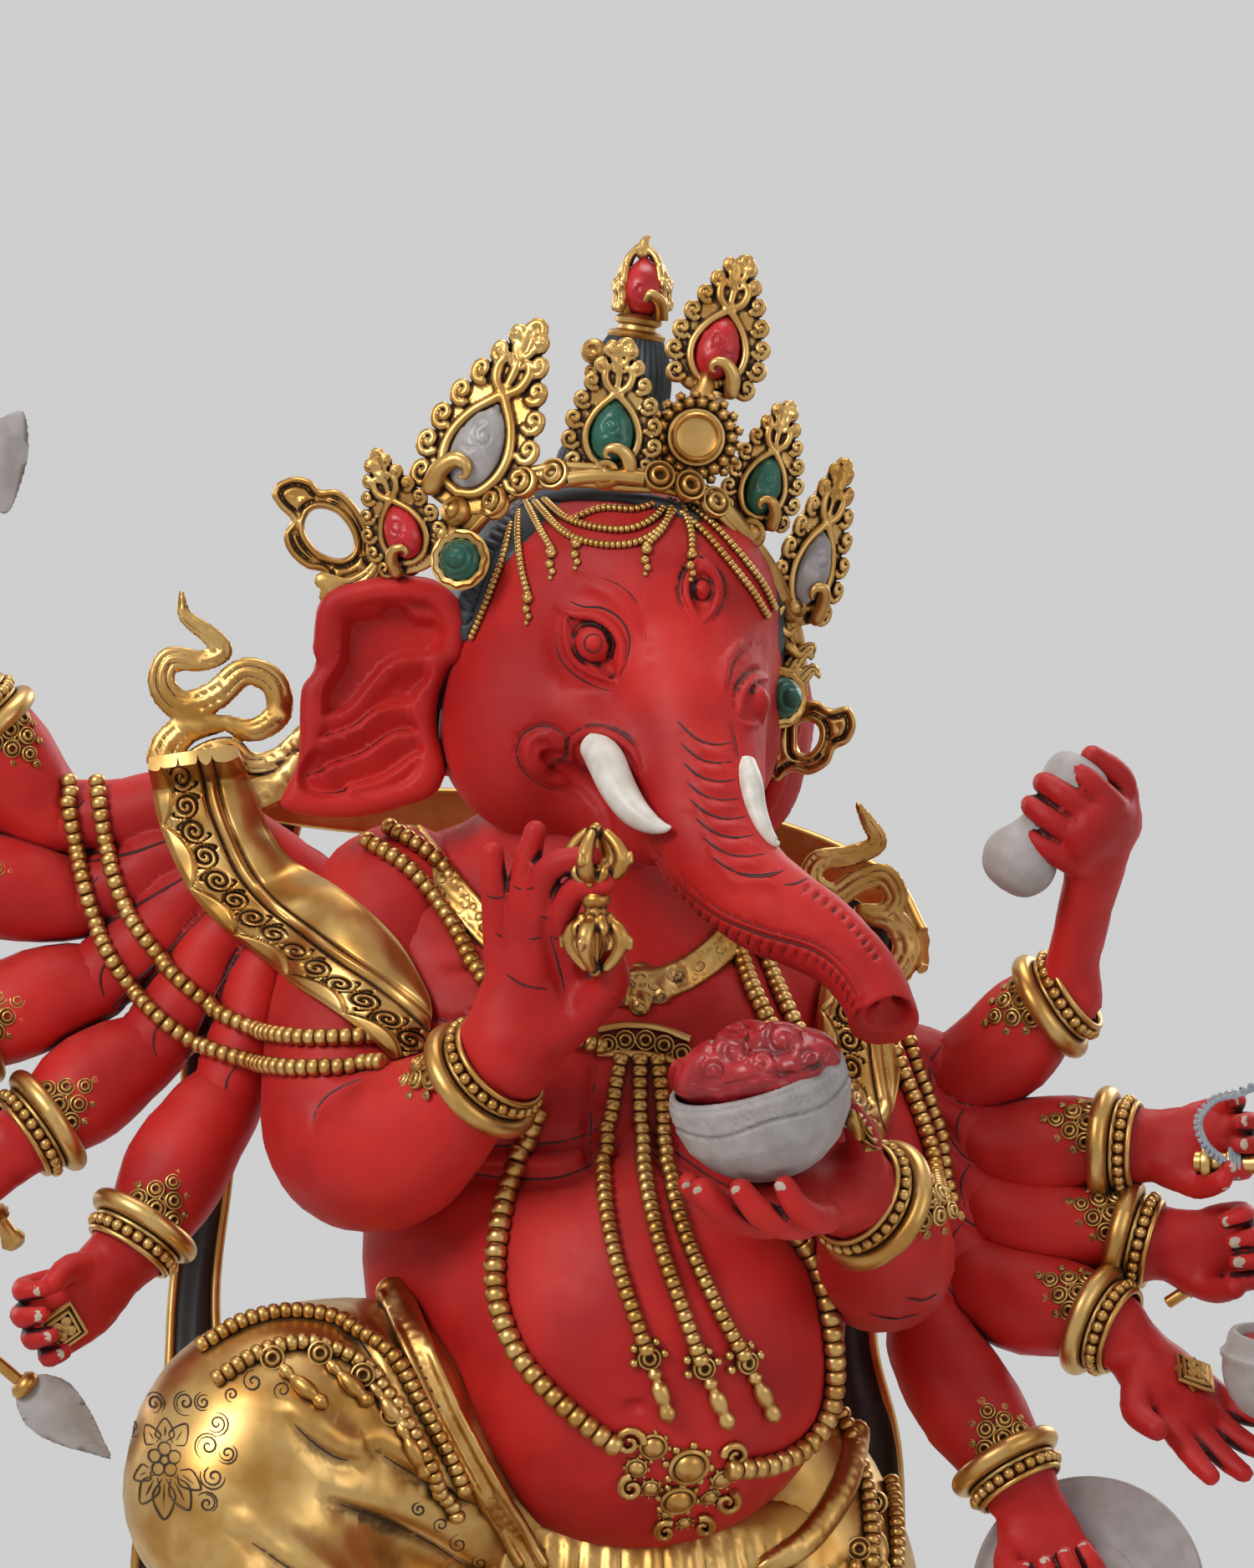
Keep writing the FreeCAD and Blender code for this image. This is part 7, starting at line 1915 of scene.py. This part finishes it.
def makeTrousers():
    c = Clay((-126, -78, 208), (34, 52, 340), 0.7)
    c.chain(legLook["thigh"], 0, per=5)
    c.chain(legLook["shin"], 8, per=5)
    # creases in the cloth, cut and then swelled on one side
    creases = [[(-79, 303), (-74.5, 298.5), (-69, 294.5), (-64, 293)],
        [(-60, 296), (-52, 290.5), (-42, 284), (-31, 280)],
        [(-70, 284), (-58, 279), (-46, 272), (-36, 264)], [(-90, 276), (-78, 268), (-66, 260)],
        [(-52, 318), (-46, 310), (-42, 300)], [(-66, 324), (-60, 316), (-57, 308)]]
    for path in creases:
        c.line(path, 1.2, 0.5, True, 3.0)
        c.line([(x + 1.5, z + 3.4) for x, z in path], 2.2, -1.3, False, 5.0)
    # engraved lotus with scrolls on the knee
    mid = np.array((-109.0, 293.5))
    for k in range(5):
        a = math.radians(90 + 72 * k)
        c.engrave(spiral(mid + 2.6 * np.array((math.cos(a), math.sin(a))), 0, 1.0, 1.6, 1, 0.95, 10),
            0.26, 1)
    c.engrave(spiral(mid, 0, 1.0, 1.1, 1, 0.95, 10), 0.26, 1)
    for turn, size, half in ((-90, 14, 2.8), (-62, 13, 2.6), (-118, 12, 2.4), (-36, 11, 2.3),
            (-146, 9, 2.0), (90, 9.5, 2.4), (58, 10, 2.4), (122, 9, 2.2)):
        out = np.array((math.cos(math.radians(turn)), math.sin(math.radians(turn))))
        side = np.array((-out[1], out[0]))
        c.engrave([mid + out * 4.4 + side * 0.5, mid + out * size * 0.62 + side * half, mid + out * size,
            mid + out * size * 0.62 - side * half, mid + out * 4.4 - side * 0.5], 0.27)
        c.engrave([mid + out * 5.5, mid + out * size * 0.8], 0.2, 2)
    for (dx, dz), r, start, hand in (((10.6, 3.6), 2.6, 200, -1), ((12.6, 8.8), 2.3, 220, 1),
            ((12.0, -3.4), 2.6, 120, 1), ((10.4, -9.8), 2.2, 100, -1), ((-3.0, 12.6), 2.2, 270, 1),
            ((4.8, 13.4), 2.4, 250, -1), ((9.2, 13.6), 1.8, 60, 1), ((-8.2, 6.6), 1.8, 300, -1),
            ((15.2, 2.0), 2.0, 180, 1)):
        c.engrave(spiral(mid + (dx, dz), start, 1.5, r, hand, 0.12, 18), 0.27, 1)
        c.engrave(spiral(mid + (dx, dz), start + 40, 0.55, r * 1.3, hand, 0.8, 9), 0.22, 1)
    # engraved clouds along the waist
    for x, z, r, hand in ((-88, 312, 2.6, 1), (-81, 310, 2.3, -1), (-40, 272, 2.4, 1),
            (-44, 277, 2.0, -1), (-35, 267, 2.2, 1), (-49, 281, 1.8, 1), (-93, 309, 1.8, -1),
            (-30, 262, 1.8, -1)):
        c.engrave(spiral((x, z), 90 * hand, 1.5, r, hand, 0.12, 18), 0.27, 1)
    c.skin("trousersNear", "giltSmooth", ["leg_right"], merge=0.15, reach=2.2)

    far = Clay((-12, -48, 104), (84, 52, 318), 1.0)
    far.chain(legLook["standing"], 0, per=5)
    for z, lean in ((262, 8), (248, 10), (232, 9), (214, 8), (196, 7), (178, 6), (160, 5), (144, 4)):
        far.line([(18 - lean * 0.4, z + lean), (28, z + 1), (38, z - 2), (50, z + 2), (60, z + lean + 2)],
            0.9, 0.3, True, 2.6)
    far.skin("trousersFar", "giltSmooth", ["leg_left"], merge=0.15, reach=2.5)

    skirt = Clay((-62, -60, 226), (68, 58, 286), 1.0)
    skirt.chain([(-22, 2, 262, 33), (4, 2, 256, 36), (30, 4, 262, 33)], 4)
    skirt.cutPlane((4, 0, 282), (0, 0, 1), 2)
    for k in range(15):
        x = -34 + k * 5.4
        skirt.line([(x * 0.9, 272), (x, 256), (x * 1.02, 242), (x * 0.98, 230)], 0.9, 0.2, True, 2.4)
    skirt.skin("skirtCloth", "giltSmooth", ["skirt"], merge=0.15, reach=2.5)
    return c, far, skirt


trousers, standingLeg, skirtCloth = makeTrousers()
lowerSkins = [torso, trousers, standingLeg, skirtCloth]


def makeHipWork():
    c = Clay((-64, -74, 256), (80, 20, 336), 0.6)
    hem = [(-56, 331), (-52, 323), (-47, 313), (-42, 302), (-36, 290), (-29, 278), (-23, 267)]
    rows = layOn(lowerSkins, smoothPath(hem, 6), 0.4, 4)
    c.chain(thick(rows, 4.0), 1.0, per=1, flat=((0, 1, 0), 0.7))
    c.chain(thick(rows + (3.0, -2.4, 0), 1.5), 0.6, per=1)
    c.chain(thick(rows + (-2.6, -3.4, 0), 1.1), 0.6, per=1)
    hem = [(54, 306), (55, 296), (52, 284), (44, 273), (34, 266)]
    rows = layOn(lowerSkins, smoothPath(hem, 6), 0.4, 4)
    c.chain(thick(rows, 3.4), 1.0, per=1, flat=((0, 1, 0), 0.7))
    c.chain(thick(rows + (-2.2, -2.2, 0), 1.3), 0.6, per=1)
    c.skin("waistHem", "gilt", (), merge=0.25, reach=1.2)

    pile = Pile()
    skins = [torso, trousers, standingLeg, skirtCloth]
    for path in ([(-100, 319), (-90, 324.5), (-78, 326.5), (-66, 324), (-57, 318), (-51, 309), (-45, 298),
            (-39, 286)], [(-96, 312), (-86, 318), (-75, 320), (-65, 316.5), (-57.5, 310), (-52, 301),
            (-46, 290), (-41, 279)], [(56, 302), (60, 293), (63, 282), (64, 270), (63, 258)],
            [(51, 300), (55, 290), (57.5, 279), (58, 266)]):
        stringOf(pile, skins, path, beadLook["hip"])
    for (x, z), way in (((-84, 317), (0.75, -0.66)), ((-73, 318), (0.72, -0.7)),
            ((-63, 313), (0.62, -0.78)), ((-56, 304), (0.5, -0.86)), ((59, 280), (0.1, -1)),
            ((55, 270), (-0.1, -1))):
        way = unit(way)
        spot = layOn(skins, [(x + way[0] * 0.5, z + way[1] * 0.5)], 0.8)[0]
        rosette(pile, spot, (0, -1, 0.15), 3.1)
        line = np.array([(x + way[0] * d, z + way[1] * d) for d in np.linspace(3.4, 17.5, 9)])
        rows = layOn(skins, line, 1.0, 2)
        radii = np.array([1.0, 1.6, 1.0, 1.8, 2.1, 2.0, 1.4, 2.0, 0.5])
        pile.tube(smoothPath(np.column_stack([rows, radii[:len(rows)]]), 4), 12)
    # fringe of drops round the skirt
    for k in range(11):
        x = -34 + 7.2 * k
        rows = layOn([skirtCloth, trousers, standingLeg],
            [(x, 258 - 3 * math.cos(k)), (x, 250), (x, 243)], 0.8)
        if len(rows) == 3:
            pile.tube(smoothPath(np.column_stack([rows, (1.0, 1.9, 0.6)]), 4), 10)
            rosette(pile, rows[0] + (0, -0.6, 2), (0, -1, 0), 2.6)
    stringOf(pile, [skirtCloth, trousers, standingLeg],
        [(-40, 262), (-20, 256), (0, 258), (20, 256), (42, 262)], beadLook["hip"])
    pile.settle("hipBeads", "gilt", "gilt")


makeHipWork()


def makeFeet():
    c = Clay((-44, -76, 194), (34, -32, 246), 0.7)
    c.chain([(-34, -56, 229, 12), (-26, -55, 227, 11.6), (-18, -54, 223, 11)], 0)
    c.chain([(-22, -54, 221, 9.5), (-10, -54, 218, 10), (2, -55, 214.5, 9.6), (10, -56.5, 212, 8.0)], 3,
        flat=((0.3, 0, 1), 0.72))
    tips = []
    for k in range(5):
        y = -49.6 - k * 3.7
        reach = (7.5, 8.2, 8.0, 7.0, 5.6)[4 - k]
        size = (2.3, 2.4, 2.5, 2.6, 3.4)[k]
        c.chain([(9, y, 211.5, size), (14 + reach * 0.5, y, 210, size),
            (12 + reach, y, 208, size * 0.85)], 0.7, per=3)
        tips.append(((12.6 + reach, y, 208.6), unit((1, 0, -0.3)), np.array((0.35, -0.1, 0.9)), 2.5))
    c.skin("footLifted", "redPaint", ["foot_right"], merge=0.2)
    f = Clay((-10, -42, 90), (28, 22, 122), 0.7)
    f.chain([(11, 0, 116, 11.8), (10, 2, 108, 10.5), (9, 5, 102, 9.5)], 0)
    f.chain([(8.5, 13, 100, 7.5), (8.5, 4, 102, 9.5), (8.5, -8, 101, 9.8), (9, -19, 99, 9.0),
        (9, -25, 97.5, 7.5)], 3, flat=((0, 0, 1), 0.75))
    for k in range(5):
        x = 1.4 + k * 3.9
        reach = (5.4, 6.6, 7.2, 7.4, 7.0)[k]
        size = (2.3, 2.4, 2.5, 2.6, 3.3)[k]
        f.chain([(x, -24, 97.5, size), (x, -27 - reach * 0.5, 97.2, size),
            (x, -26 - reach, 96, size * 0.85)], 0.7, per=3)
        tips.append(((x, -26.6 - reach, 96.8), unit((0, -1, -0.3)), np.array((0, -0.35, 0.9)), 2.5))
    f.cutPlane((8, 0, 94.05), (0, 0, -1), 0.6)
    f.skin("footStanding", "redPaint", ["foot_left"], merge=0.2)
    toes = Pile()
    for point, way, back, radius in tips:
        toes.turn(np.array(point) + back * radius * 0.55, way,
            [(-1.4, 0.2), (-1.0, 0.9), (0, 1.35), (1.0, 1.2), (1.8, 0.3)], 12, squash=(back, 0.5))
    toes.settle("toeNails", "nailPaint", "ivory_paint")
    rings = Pile()
    for centre, axis, inner in (((11, 0, 116), (0, 0, -1), 12.6),
            ((-27.5, -55.4, 227.4), (16, 0.5, -6), 12.6)):
        makeBracelet(rings, centre, axis, inner, 0.9, (0, -1, 0.2))
    rings.settle("anklets", "gilt", "gilt", ["anklets"], sharp=60)


makeFeet()
print("legs and feet ready")


def petal(pile, angle, foot, tip, width, bulge, curl, rows=9, columns=9):
    # foot and tip are (radius, height); the petal is domed outwards and its tip turns over
    out = np.array((math.cos(angle), math.sin(angle), 0))
    side = np.array((-out[1], out[0], 0))
    sheets = []
    for inner in (0, 1):
        points = []
        for v in np.linspace(0, 1, rows):
            radius = foot[0] + (tip[0] - foot[0]) * v + bulge * math.sin(v * math.pi) + curl * max(v
                - 0.7, 0) / 0.3
            height = foot[1] + (tip[1] - foot[1]) * v
            half = width * (0.62 + 0.55 * math.sin(v * 2.2)) * math.sqrt(max(1 - v ** 4, 0))
            for u in np.linspace(-1, 1, columns):
                dome = 2.2 * math.cos(u * math.pi / 2) * (1 - 0.4 * v) - 1.6 * u * u
                ridge = 0.7 * math.exp(-(u / 0.16) ** 2) + 0.8 * math.exp(-((abs(u) - 0.86) / 0.14) ** 2)
                points.append(out * (radius + dome + ridge - 2.4 * inner) + side * half * u + np.array((0,
                    0, height)))
        sheets.append(points)
    n = rows * columns
    i, j = np.meshgrid(np.arange(rows - 1), np.arange(columns - 1), indexing="ij")
    q = np.stack([i * columns + j, i * columns + j + 1, (i + 1) * columns + j + 1, (i + 1) * columns + j],
        -1)
    q = q.reshape(-1, 4)
    if tip[1] < foot[1]:
        q = q[:, ::-1]
    edge = np.concatenate([np.arange(columns), np.arange(1, rows) * columns + columns - 1,
        n - 2 - np.arange(columns - 1), np.arange(rows - 2, 0, -1) * columns, [0]])
    borders = np.stack([edge[:-1], edge[:-1] + n, edge[1:] + n, edge[1:]], 1)
    if tip[1] < foot[1]:
        borders = borders[:, ::-1]
    pile.add(np.vstack(sheets), np.concatenate([q, q[:, ::-1] + n, borders]))


baseLook = {"petals": 20}


def makeBase():
    core = Pile()
    core.turn((0, 0, 0), (0, 0, 1), [(0.2, 108), (0.6, 111.5), (5.4, 111.8), (6.6, 110.4), (8.2, 107),
        (9.6, 104), (16, 99), (26, 90), (31, 86.5), (36, 86.5), (44, 90), (54, 94.5), (57.2, 96.6),
        (58.4, 99.2), (60.6, 99.6), (61.6, 98.4), (62.0, 95.5), (61.7, 93), (61.9, 91.4), (62, 60)], 128)
    for radius, height, size, count in ((111.2, 7.9, 1.9, 150), (98.6, 56.6, 1.7, 150),
            (88.4, 33.4, 1.9, 120)):
        for a in around(count):
            out = np.array((math.cos(a), math.sin(a), 0))
            core.turn(out * (radius - size * 0.4) + (0, 0, height), out,
                [(-size * 0.6, size * 0.8), (0, size), (size * 0.6, size * 0.8), (size, 0.1)], 8)
    count = baseLook["petals"]
    for k in range(count):
        a = 2 * math.pi * k / count - math.pi / 2
        half = math.pi / count
        petal(core, a + half, (89, 35), (98, 56.5), 9.6, 2.4, 1.0)
        petal(core, a, (90, 35), (100, 57.5), 11.4, 5.4, 2.6, 11, 11)
        petal(core, a + half, (89, 32), (103, 10.5), 10.2, 3.0, 1.0)
        petal(core, a, (90, 32), (105, 9.6), 12.2, 6.2, 2.4, 11, 11)
    core.settle("lotusBase", "gilt", "gilt", ["lotus_base"], sharp=60)


makeBase()


def makeMouse():
    c = Clay((-66, -30, 58), (58, 30, 102), 0.8)
    c.chain([(-32, 0, 77, 14), (-16, 0, 79, 18.5), (2, 0, 80, 19.6), (20, 0, 79, 17.6), (34, 0, 76, 13),
        (44, 0, 72.5, 8.5), (50, 0, 70.5, 4.6)], 0)
    for side in (-1, 1):
        c.ball((-24, side * 12, 72), (15, 9, 11), 5)
        c.ball((22, side * 12, 70), (10, 7, 9), 4)
        c.chain([(-18, side * 17, 66, 4.2), (-8, side * 19, 64.2, 3.4)], 2)
        c.chain([(26, side * 14, 66, 3.6), (35, side * 15, 64.0, 3.0)], 2)
        for k in range(3):
            c.chain([(-8, side * (17.4 + 1.6 * k), 63.6, 1.4), (-3, side * (17.2 + 2.0 * k), 63.2, 1.0)],
                0.4)
            c.chain([(35, side * (13.4 + 1.6 * k), 63.6, 1.3), (40, side * (13.2 + 2.0 * k), 63.2, 0.9)],
                0.4)
        c.ball((29, side * 10.5, 88), (4.6, 2.6, 6.0), 1.5)
        c.ball((30.5, side * 11.8, 88), (3.0, 2.0, 4.2), 0.6, True)
        c.ball((40, side * 7.6, 77), 2.1, 0.3)
        c.chain([(37.5, side * 8.2, 79.2, 0.9), (40.5, side * 8.2, 80.0, 1.0),
            (43, side * 6.8, 78.4, 0.8)], 0.4)
        for k in range(3):
            c.chain([(48, side * 3.5, 71.5 - k, 0.6), (52, side * 8.5, 72.5 - 2.2 * k, 0.45)], 0.2)
    c.ball((52.4, 0, 71.6), (2.4, 2.6, 2.2), 0.8)
    c.cutPlane((0, 0, 62.05), (0, 0, -1), 0.4)
    c.cutPlane((8, 0, 94.0), (0, 0, 1), 0.6)
    for k in range(34):
        x = -40 + 2.3 * k
        for row in range(4):
            z = 68 + row * 6 + (k % 2) * 3
            c.line([(x, z), (x - 2.2, z - 1.2), (x - 4.2, z - 1.4)], 0.5, 0.0, True, 0.8, 2)
    c.skin("mouseBody", "greyPaint", ["mouse"], merge=0.2)
    tail = Pile()
    path = evenPath(smoothPath([(-42, 0, 70, 3.6), (-50, -2, 66.6, 3.0), (-58, -7, 64.8, 2.4),
        (-65, -19, 64.4, 2.0), (-64, -32, 64.2, 1.6), (-58, -40, 64.0, 1.1)], 10), 0.8)
    path[:, 3] *= 1 + 0.06 * np.sin(np.arange(len(path)) * 2.1)
    tail.tube(path, 14)
    tail.settle("mouseTail", "greyPaint", "grey_paint", ["mouse_tail"])
    cloth = Pile()
    angles = np.linspace(-1.25, 1.25, 25)
    inner = 20.3
    rings = []
    for x in np.linspace(-10, 22, 18):
        arc = [(x, (inner + 0.5 * math.sin(9 * a)) * math.sin(a), min(79.5 + inner * math.cos(a), 93.6))
            for a in angles]
        back = [(x, (inner - 2.5) * math.sin(a), min(79.5 + (inner - 2.5) * math.cos(a), 92.6))
            for a in angles[::-1]]
        rings.append(arc + back)
    cloth.sweep(rings)
    for x in (-10, 22):
        line = [(x, 20.8 * math.sin(a), min(79.5 + 20.8 * math.cos(a), 93.4), 1.2)
            for a in np.linspace(-1.25, 1.25, 40)]
        cloth.tube(line, 8)
    for side in (-1, 1):
        cloth.tube([(x, side * 19.9, 85.2, 1.2) for x in np.linspace(-10, 22, 20)], 8)
        for k in range(9):
            rosette(cloth, (-8 + k * 3.6, side * 20.4, 81.5), (0, side, 0.1), 1.7)
    cloth.settle("saddleCloth", "gilt", "gilt")


makeMouse()
print("base and mouse ready")


# what the outer hands hold
def makeBlade(name, outline, origin, way, facing, depth, bevel, node, rides):
    # outline is (across, along) from origin; the blade is bevelled to its edge
    way = unit(way)
    back = -unit(np.array(facing, float) - way * (way @ np.array(facing, float)))
    across = np.cross(back, way)
    flat = np.array(outline, float)
    low, high = flat.min(0) - 2, flat.max(0) + 2
    c = Clay((low[0], -depth, low[1]), (high[0], depth, high[1]), 0.4)
    part, (x, y, z) = c.window([c.low, c.low + c.step * c.count], 0)
    outer = outlineDistance(x[:, 0], z[0], outline)[:, None, :]
    rise = depth / 2 * np.clip(-outer / bevel, 0.12, 1)
    c.merge(part, softMax(outer + 0 * y, (np.abs(y) - rise) * 0.9, 0.3).astype(np.float32), 0)
    place = (np.array(origin, float), np.array([across, back, way]))
    c.skin(name, "greyPaint", [node], rides, merge=0.3, reach=1.2, place=place)


def shaftProfile(start, end, r, bands=()):
    # a plain shaft with turned bands at the given places
    rows = [(start, r * 0.6), (start + 0.4, r)]
    for at in bands:
        rows += [(at - 1.6, r), (at - 1.2, r * 1.5), (at - 0.5, r * 1.25), (at, r * 1.7),
            (at + 0.5, r * 1.25), (at + 1.2, r * 1.5), (at + 1.6, r)]
    return rows + [(end - 0.4, r), (end, r * 0.6)]


def makeHeld():
    axeWay, axePalm = unit((0.12, -0.22, 0.97)), np.array((-168, 5, 484.0))
    pile = Pile()
    pile.turn(axePalm, axeWay, [(-24, 0.5), (-23.4, 1.7), (-22, 2.1), (-20.6, 1.8)] + shaftProfile(-20,
        61, 1.55, (26, 40, 46))[1:-1] + [(61, 2.2), (62.2, 2.6), (63.4, 1.6), (64.4, 0.3)], 20)
    pile.settle("axeShaft", "gilt", "gilt", (), "axe_body")
    makeBlade("axeBlade", [(-4, -5), (2, -6.5), (8, -11), (14.5, -14), (17.6, -4), (18, 4), (15.5, 12),
        (9, 9), (2, 6), (-4, 5), (-9, 7), (-7, 0), (-9, -7)], axePalm + axeWay * 50, axeWay, (0.1, -1, 0),
        3.4, 7, "axe", "axe_body")

    pile = Pile()
    way, palm = unit((-0.30, -0.30, 0.90)), np.array((-186, 6, 434.0))
    pile.turn(palm, way, shaftProfile(-22, 46, 1.5, (-16, 40)), 16)
    pile.turn(palm, way, [(45, 1.8), (47, 3.2), (50, 3.0), (58, 0.3)], 4)
    for a in around(3):
        u = unit(np.cross(way, (math.cos(a), math.sin(a), 0.2)))
        pile.sweep([[palm + way * t + u * w + np.cross(way, u) * s
            for w, s in ((0.8, -0.35), (r, -0.2), (r, 0.2), (0.8, 0.35))]
            for t, r in ((-27, 3.4), (-26, 3.8), (-20, 3.6), (-17, 1.2))])
    pile.settle("arrow", "gilt", "gilt", ["arrow"])

    pile = Pile()
    way, palm = unit((-0.38, -0.50, 0.78)), np.array((-177, 0, 384.0))
    pile.turn(palm, way, shaftProfile(-14, 31, 1.6, (-10, 16, 26)), 18)
    pile.turn(palm, way, [(29, 2), (30.6, 3.1), (32, 2.2), (35, 2.0), (43, 0.3)], 14)
    across = unit(np.cross(way, (0, 1, 0)))
    hook = [(*(palm + way * (32 + 6 * math.sin(a)) + across * 6 * (1 - math.cos(a))), 1.5 - 0.3 * a)
        for a in np.linspace(0, 3.6, 16)]
    pile.tube(hook, 12)
    pile.settle("elephantHook", "gilt", "gilt", ["elephant_hook"])

    pile = Pile()
    way, palm = unit((-0.50, -0.38, 0.78)), np.array((-158, -8, 358.0))
    pile.turn(palm, way, [(-22, 0.4), (-21.4, 2.4), (-20, 3.3), (-18.4, 2.6)] + shaftProfile(-18, 14, 2.1,
        (-12, 8))[1:-1] + [(14, 3), (15, 5.2), (16.2, 5.2), (17, 3)], 24)
    pile.settle("swordGrip", "gilt", "gilt", (), "sword_body")
    makeBlade("swordBlade", [(3.6, 0), (4.4, 18), (4.2, 38), (2.6, 47), (0, 54), (-2.6, 47), (-4.2, 38),
        (-4.4, 18), (-3.6, 0)], palm + way * 16.4, way, (0, -1, 0), 2.6, 4, "sword", "sword_body")

    pile = Pile()
    way, palm = unit((0.76, 0.07, -0.65)), np.array((-153.5, -23, 317.0))
    pile.turn(palm, way, [(-66, 0.4), (-65, 2.2), (-63.6, 2.8), (-62, 1.9)] + shaftProfile(-61.6, 11,
        1.55, (-30, -14))[1:-1] + [(10.6, 2.6), (12, 3.8), (13.4, 3.8), (14.4, 2.6)], 18)
    pile.settle("spearShaft", "gilt", "gilt", (), "spear_body")
    makeBlade("spearBlade", [(3.4, 0), (6.6, 4.4), (7.3, 9), (5.4, 16), (2.4, 22.5), (0, 27),
        (-2.4, 22.5), (-5.4, 16), (-7.3, 9), (-6.6, 4.4), (-3.4, 0)], palm + way * 12.8, way,
        (0.05, -1, 0.1), 6.4, 6.6, "spear", "spear_body")

    pile = Pile()
    bow = smoothPath([(137, -6, 361.6, 2.6), (146, -9, 361.4, 2.5), (156, -12, 362.4, 2.5),
        (176, -16, 372, 2.7), (190, -19, 392, 2.6), (198, -21, 410, 2.2), (196.4, -20, 424, 1.3)], 8)
    pile.tube(bow, 14)
    for centre, way, r in (((145.5, -9.4, 361.2), (1, -0.2, 0), 3.6),
            ((139.6, -7, 361.4), (1, -0.2, 0), 4.2), ((176, -16, 372), (0.7, -0.1, 0.6), 3.6),
            ((190, -19, 392), (0.4, -0.1, 0.9), 3.4)):
        pile.turn(centre, way, [(-1.6, r * 0.6), (-1.0, r * 0.95), (0, r), (1.0, r * 0.95),
            (1.6, r * 0.6)], 20)
    pile.settle("bow", "gilt", "gilt", ["bow"])
    wire = Pile()
    for turn in (0, math.pi):
        line = smoothPath([(143, -12.4, 362), (138.6, -13.4, 366), (137, -13.6, 372), (141, -13.4, 377),
            (148, -13.6, 379), (158, -14.5, 385), (172, -16, 397), (186, -18.4, 411),
            (193.6, -20.4, 417.6)], 24)
        run = np.arange(len(line)) * 0.55 + turn
        twist = np.column_stack([np.cos(run) * 0.7, np.zeros(len(line)), np.sin(run) * 0.7])
        wire.tube(thick(line + twist, 0.62), 6)
    for k in range(3):
        loop = [(145 + 0.9 * k, -9.2 + 3.4 * math.cos(a), 361.4 + 3.4 * math.sin(a), 0.6)
            for a in around(24)]
        wire.tube(loop, 6, closed=True)
    wire.settle("bowString", "wirePaint", "wire_paint", ["bow_string"])

    pile = Pile()
    way, palm = unit((0.84, -0.04, 0.54)), np.array((143, 5, 335.0))
    pile.turn(palm, way, shaftProfile(-15, 45, 1.55, (-8, 30)), 18)
    pile.turn(palm, way, smoothPath([(44, 1.8), (46, 4.6), (48.6, 4.4), (50, 2.8), (52, 5.8), (56, 7.2),
        (60, 6.9), (63, 5.0), (65, 2.6), (68, 2.2), (72, 1.5), (78, 0.2)], 3), 40, flutes=(8, 0.09))
    pile.settle("staff", "gilt", "gilt", ["staff"], "staff_body")

    pile = Pile()
    centre, way = np.array((111, -7, 258.0)), unit((0.05, 1, -0.12))
    pile.turn(centre, way, [(3.4, 1), (3.4, 26.6), (2.2, 28.0), (0.6, 28.1), (-0.2, 27.4), (0.2, 26.2),
        (0.5, 25.4), (0.2, 24.8), (0.2, 12.6), (-0.3, 12.2), (-0.9, 10), (-1.6, 6), (-2.0, 0.1)], 96)
    pile.settle("shield", "greyPaint", "grey_paint", ["shield"])
    pile = Pile()
    way, palm = unit((0.22, 0.05, -0.97)), np.array((101, -24, 252.0))
    pile.turn(palm, way, [(-12, 0.6), (-11.4, 1.7), (-9.8, 2.4), (-8, 2.2), (-6.6, 1.8),
        (-5.4, 1.6)] + shaftProfile(-5, 59, 1.55, (30, 50))[1:-1] + [(58, 2), (60, 4.4), (62.4, 4.8),
        (76, 0.3)], 20)
    pile.settle("lance", "gilt", "gilt", ["lance"], "lance_body")

    # engraved lozenges set in the open palms
    pile = Pile()
    for clay, x, z, lean in ((rearArms[("left", 4)], 136, 311, -0.35),
            (rearArms[("right", 5)], -134.6, 322.8, 0.2)):
        spot = layOn([clay], [(x, z)], 0.2)
        if not len(spot):
            continue
        normal = clay.normal(spot)[0]
        up = unit(np.array((lean, 0, 1)) - normal * normal[2])
        side = np.cross(normal, up)
        for scale, lift in ((5.6, 0.2), (3.9, 0.7)):
            corners = [spot[0] + normal * lift + up * scale * 1.15 * a + side * scale * b
                for a, b in ((1, 0), (0, 1), (-1, 0), (0, -1))]
            loop = np.array([corners[k % 4] * (1 - t) + corners[(k + 1) % 4] * t for k in range(4)
                for t in (0, 0.25, 0.5, 0.75)])
            pile.tube(thick(loop, 0.62), 6, closed=True)
        pile.turn(spot[0] - normal * 0.6, normal, [(0, 5.4), (0.7, 5.2), (0.9, 0.1)], 4)
        for a, b in ((1, 0), (0, 1), (-1, 0), (0, -1), (0, 0)):
            pile.turn(spot[0] + up * a * 1.9 + side * b * 1.7, normal,
                [(0.2, 1.5), (1.3, 1.3), (1.5, 0.1)], 8)
    pile.settle("palmLozenges", "gilt", "gilt")


makeHeld()
for node in ("base_plate", "figure_bolt", "figure_nut"):
    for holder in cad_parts[node].material_slots:
        holder.material = paints["copper" if node == "base_plate" else "steel"]
print("implements ready")

# dark lines of painted shade in the skin creases and cloth folds, with patina in the gilt engravings
shadeAndPatinaLines["redPaint"].settle("skinCreaseShade", "creaseShadePaint", "red_paint")
# on the cloth: painted shade in the folds, patina in the engraved ornament
shadeAndPatinaLines["giltSmooth"].settle("clothCreaseShadeAndPatina", "patinaAndCreaseShadePaint", "gilt")
shadeAndPatinaLines["gilt"].settle("castingCreases", "patinaAndCreaseShadePaint", "gilt")
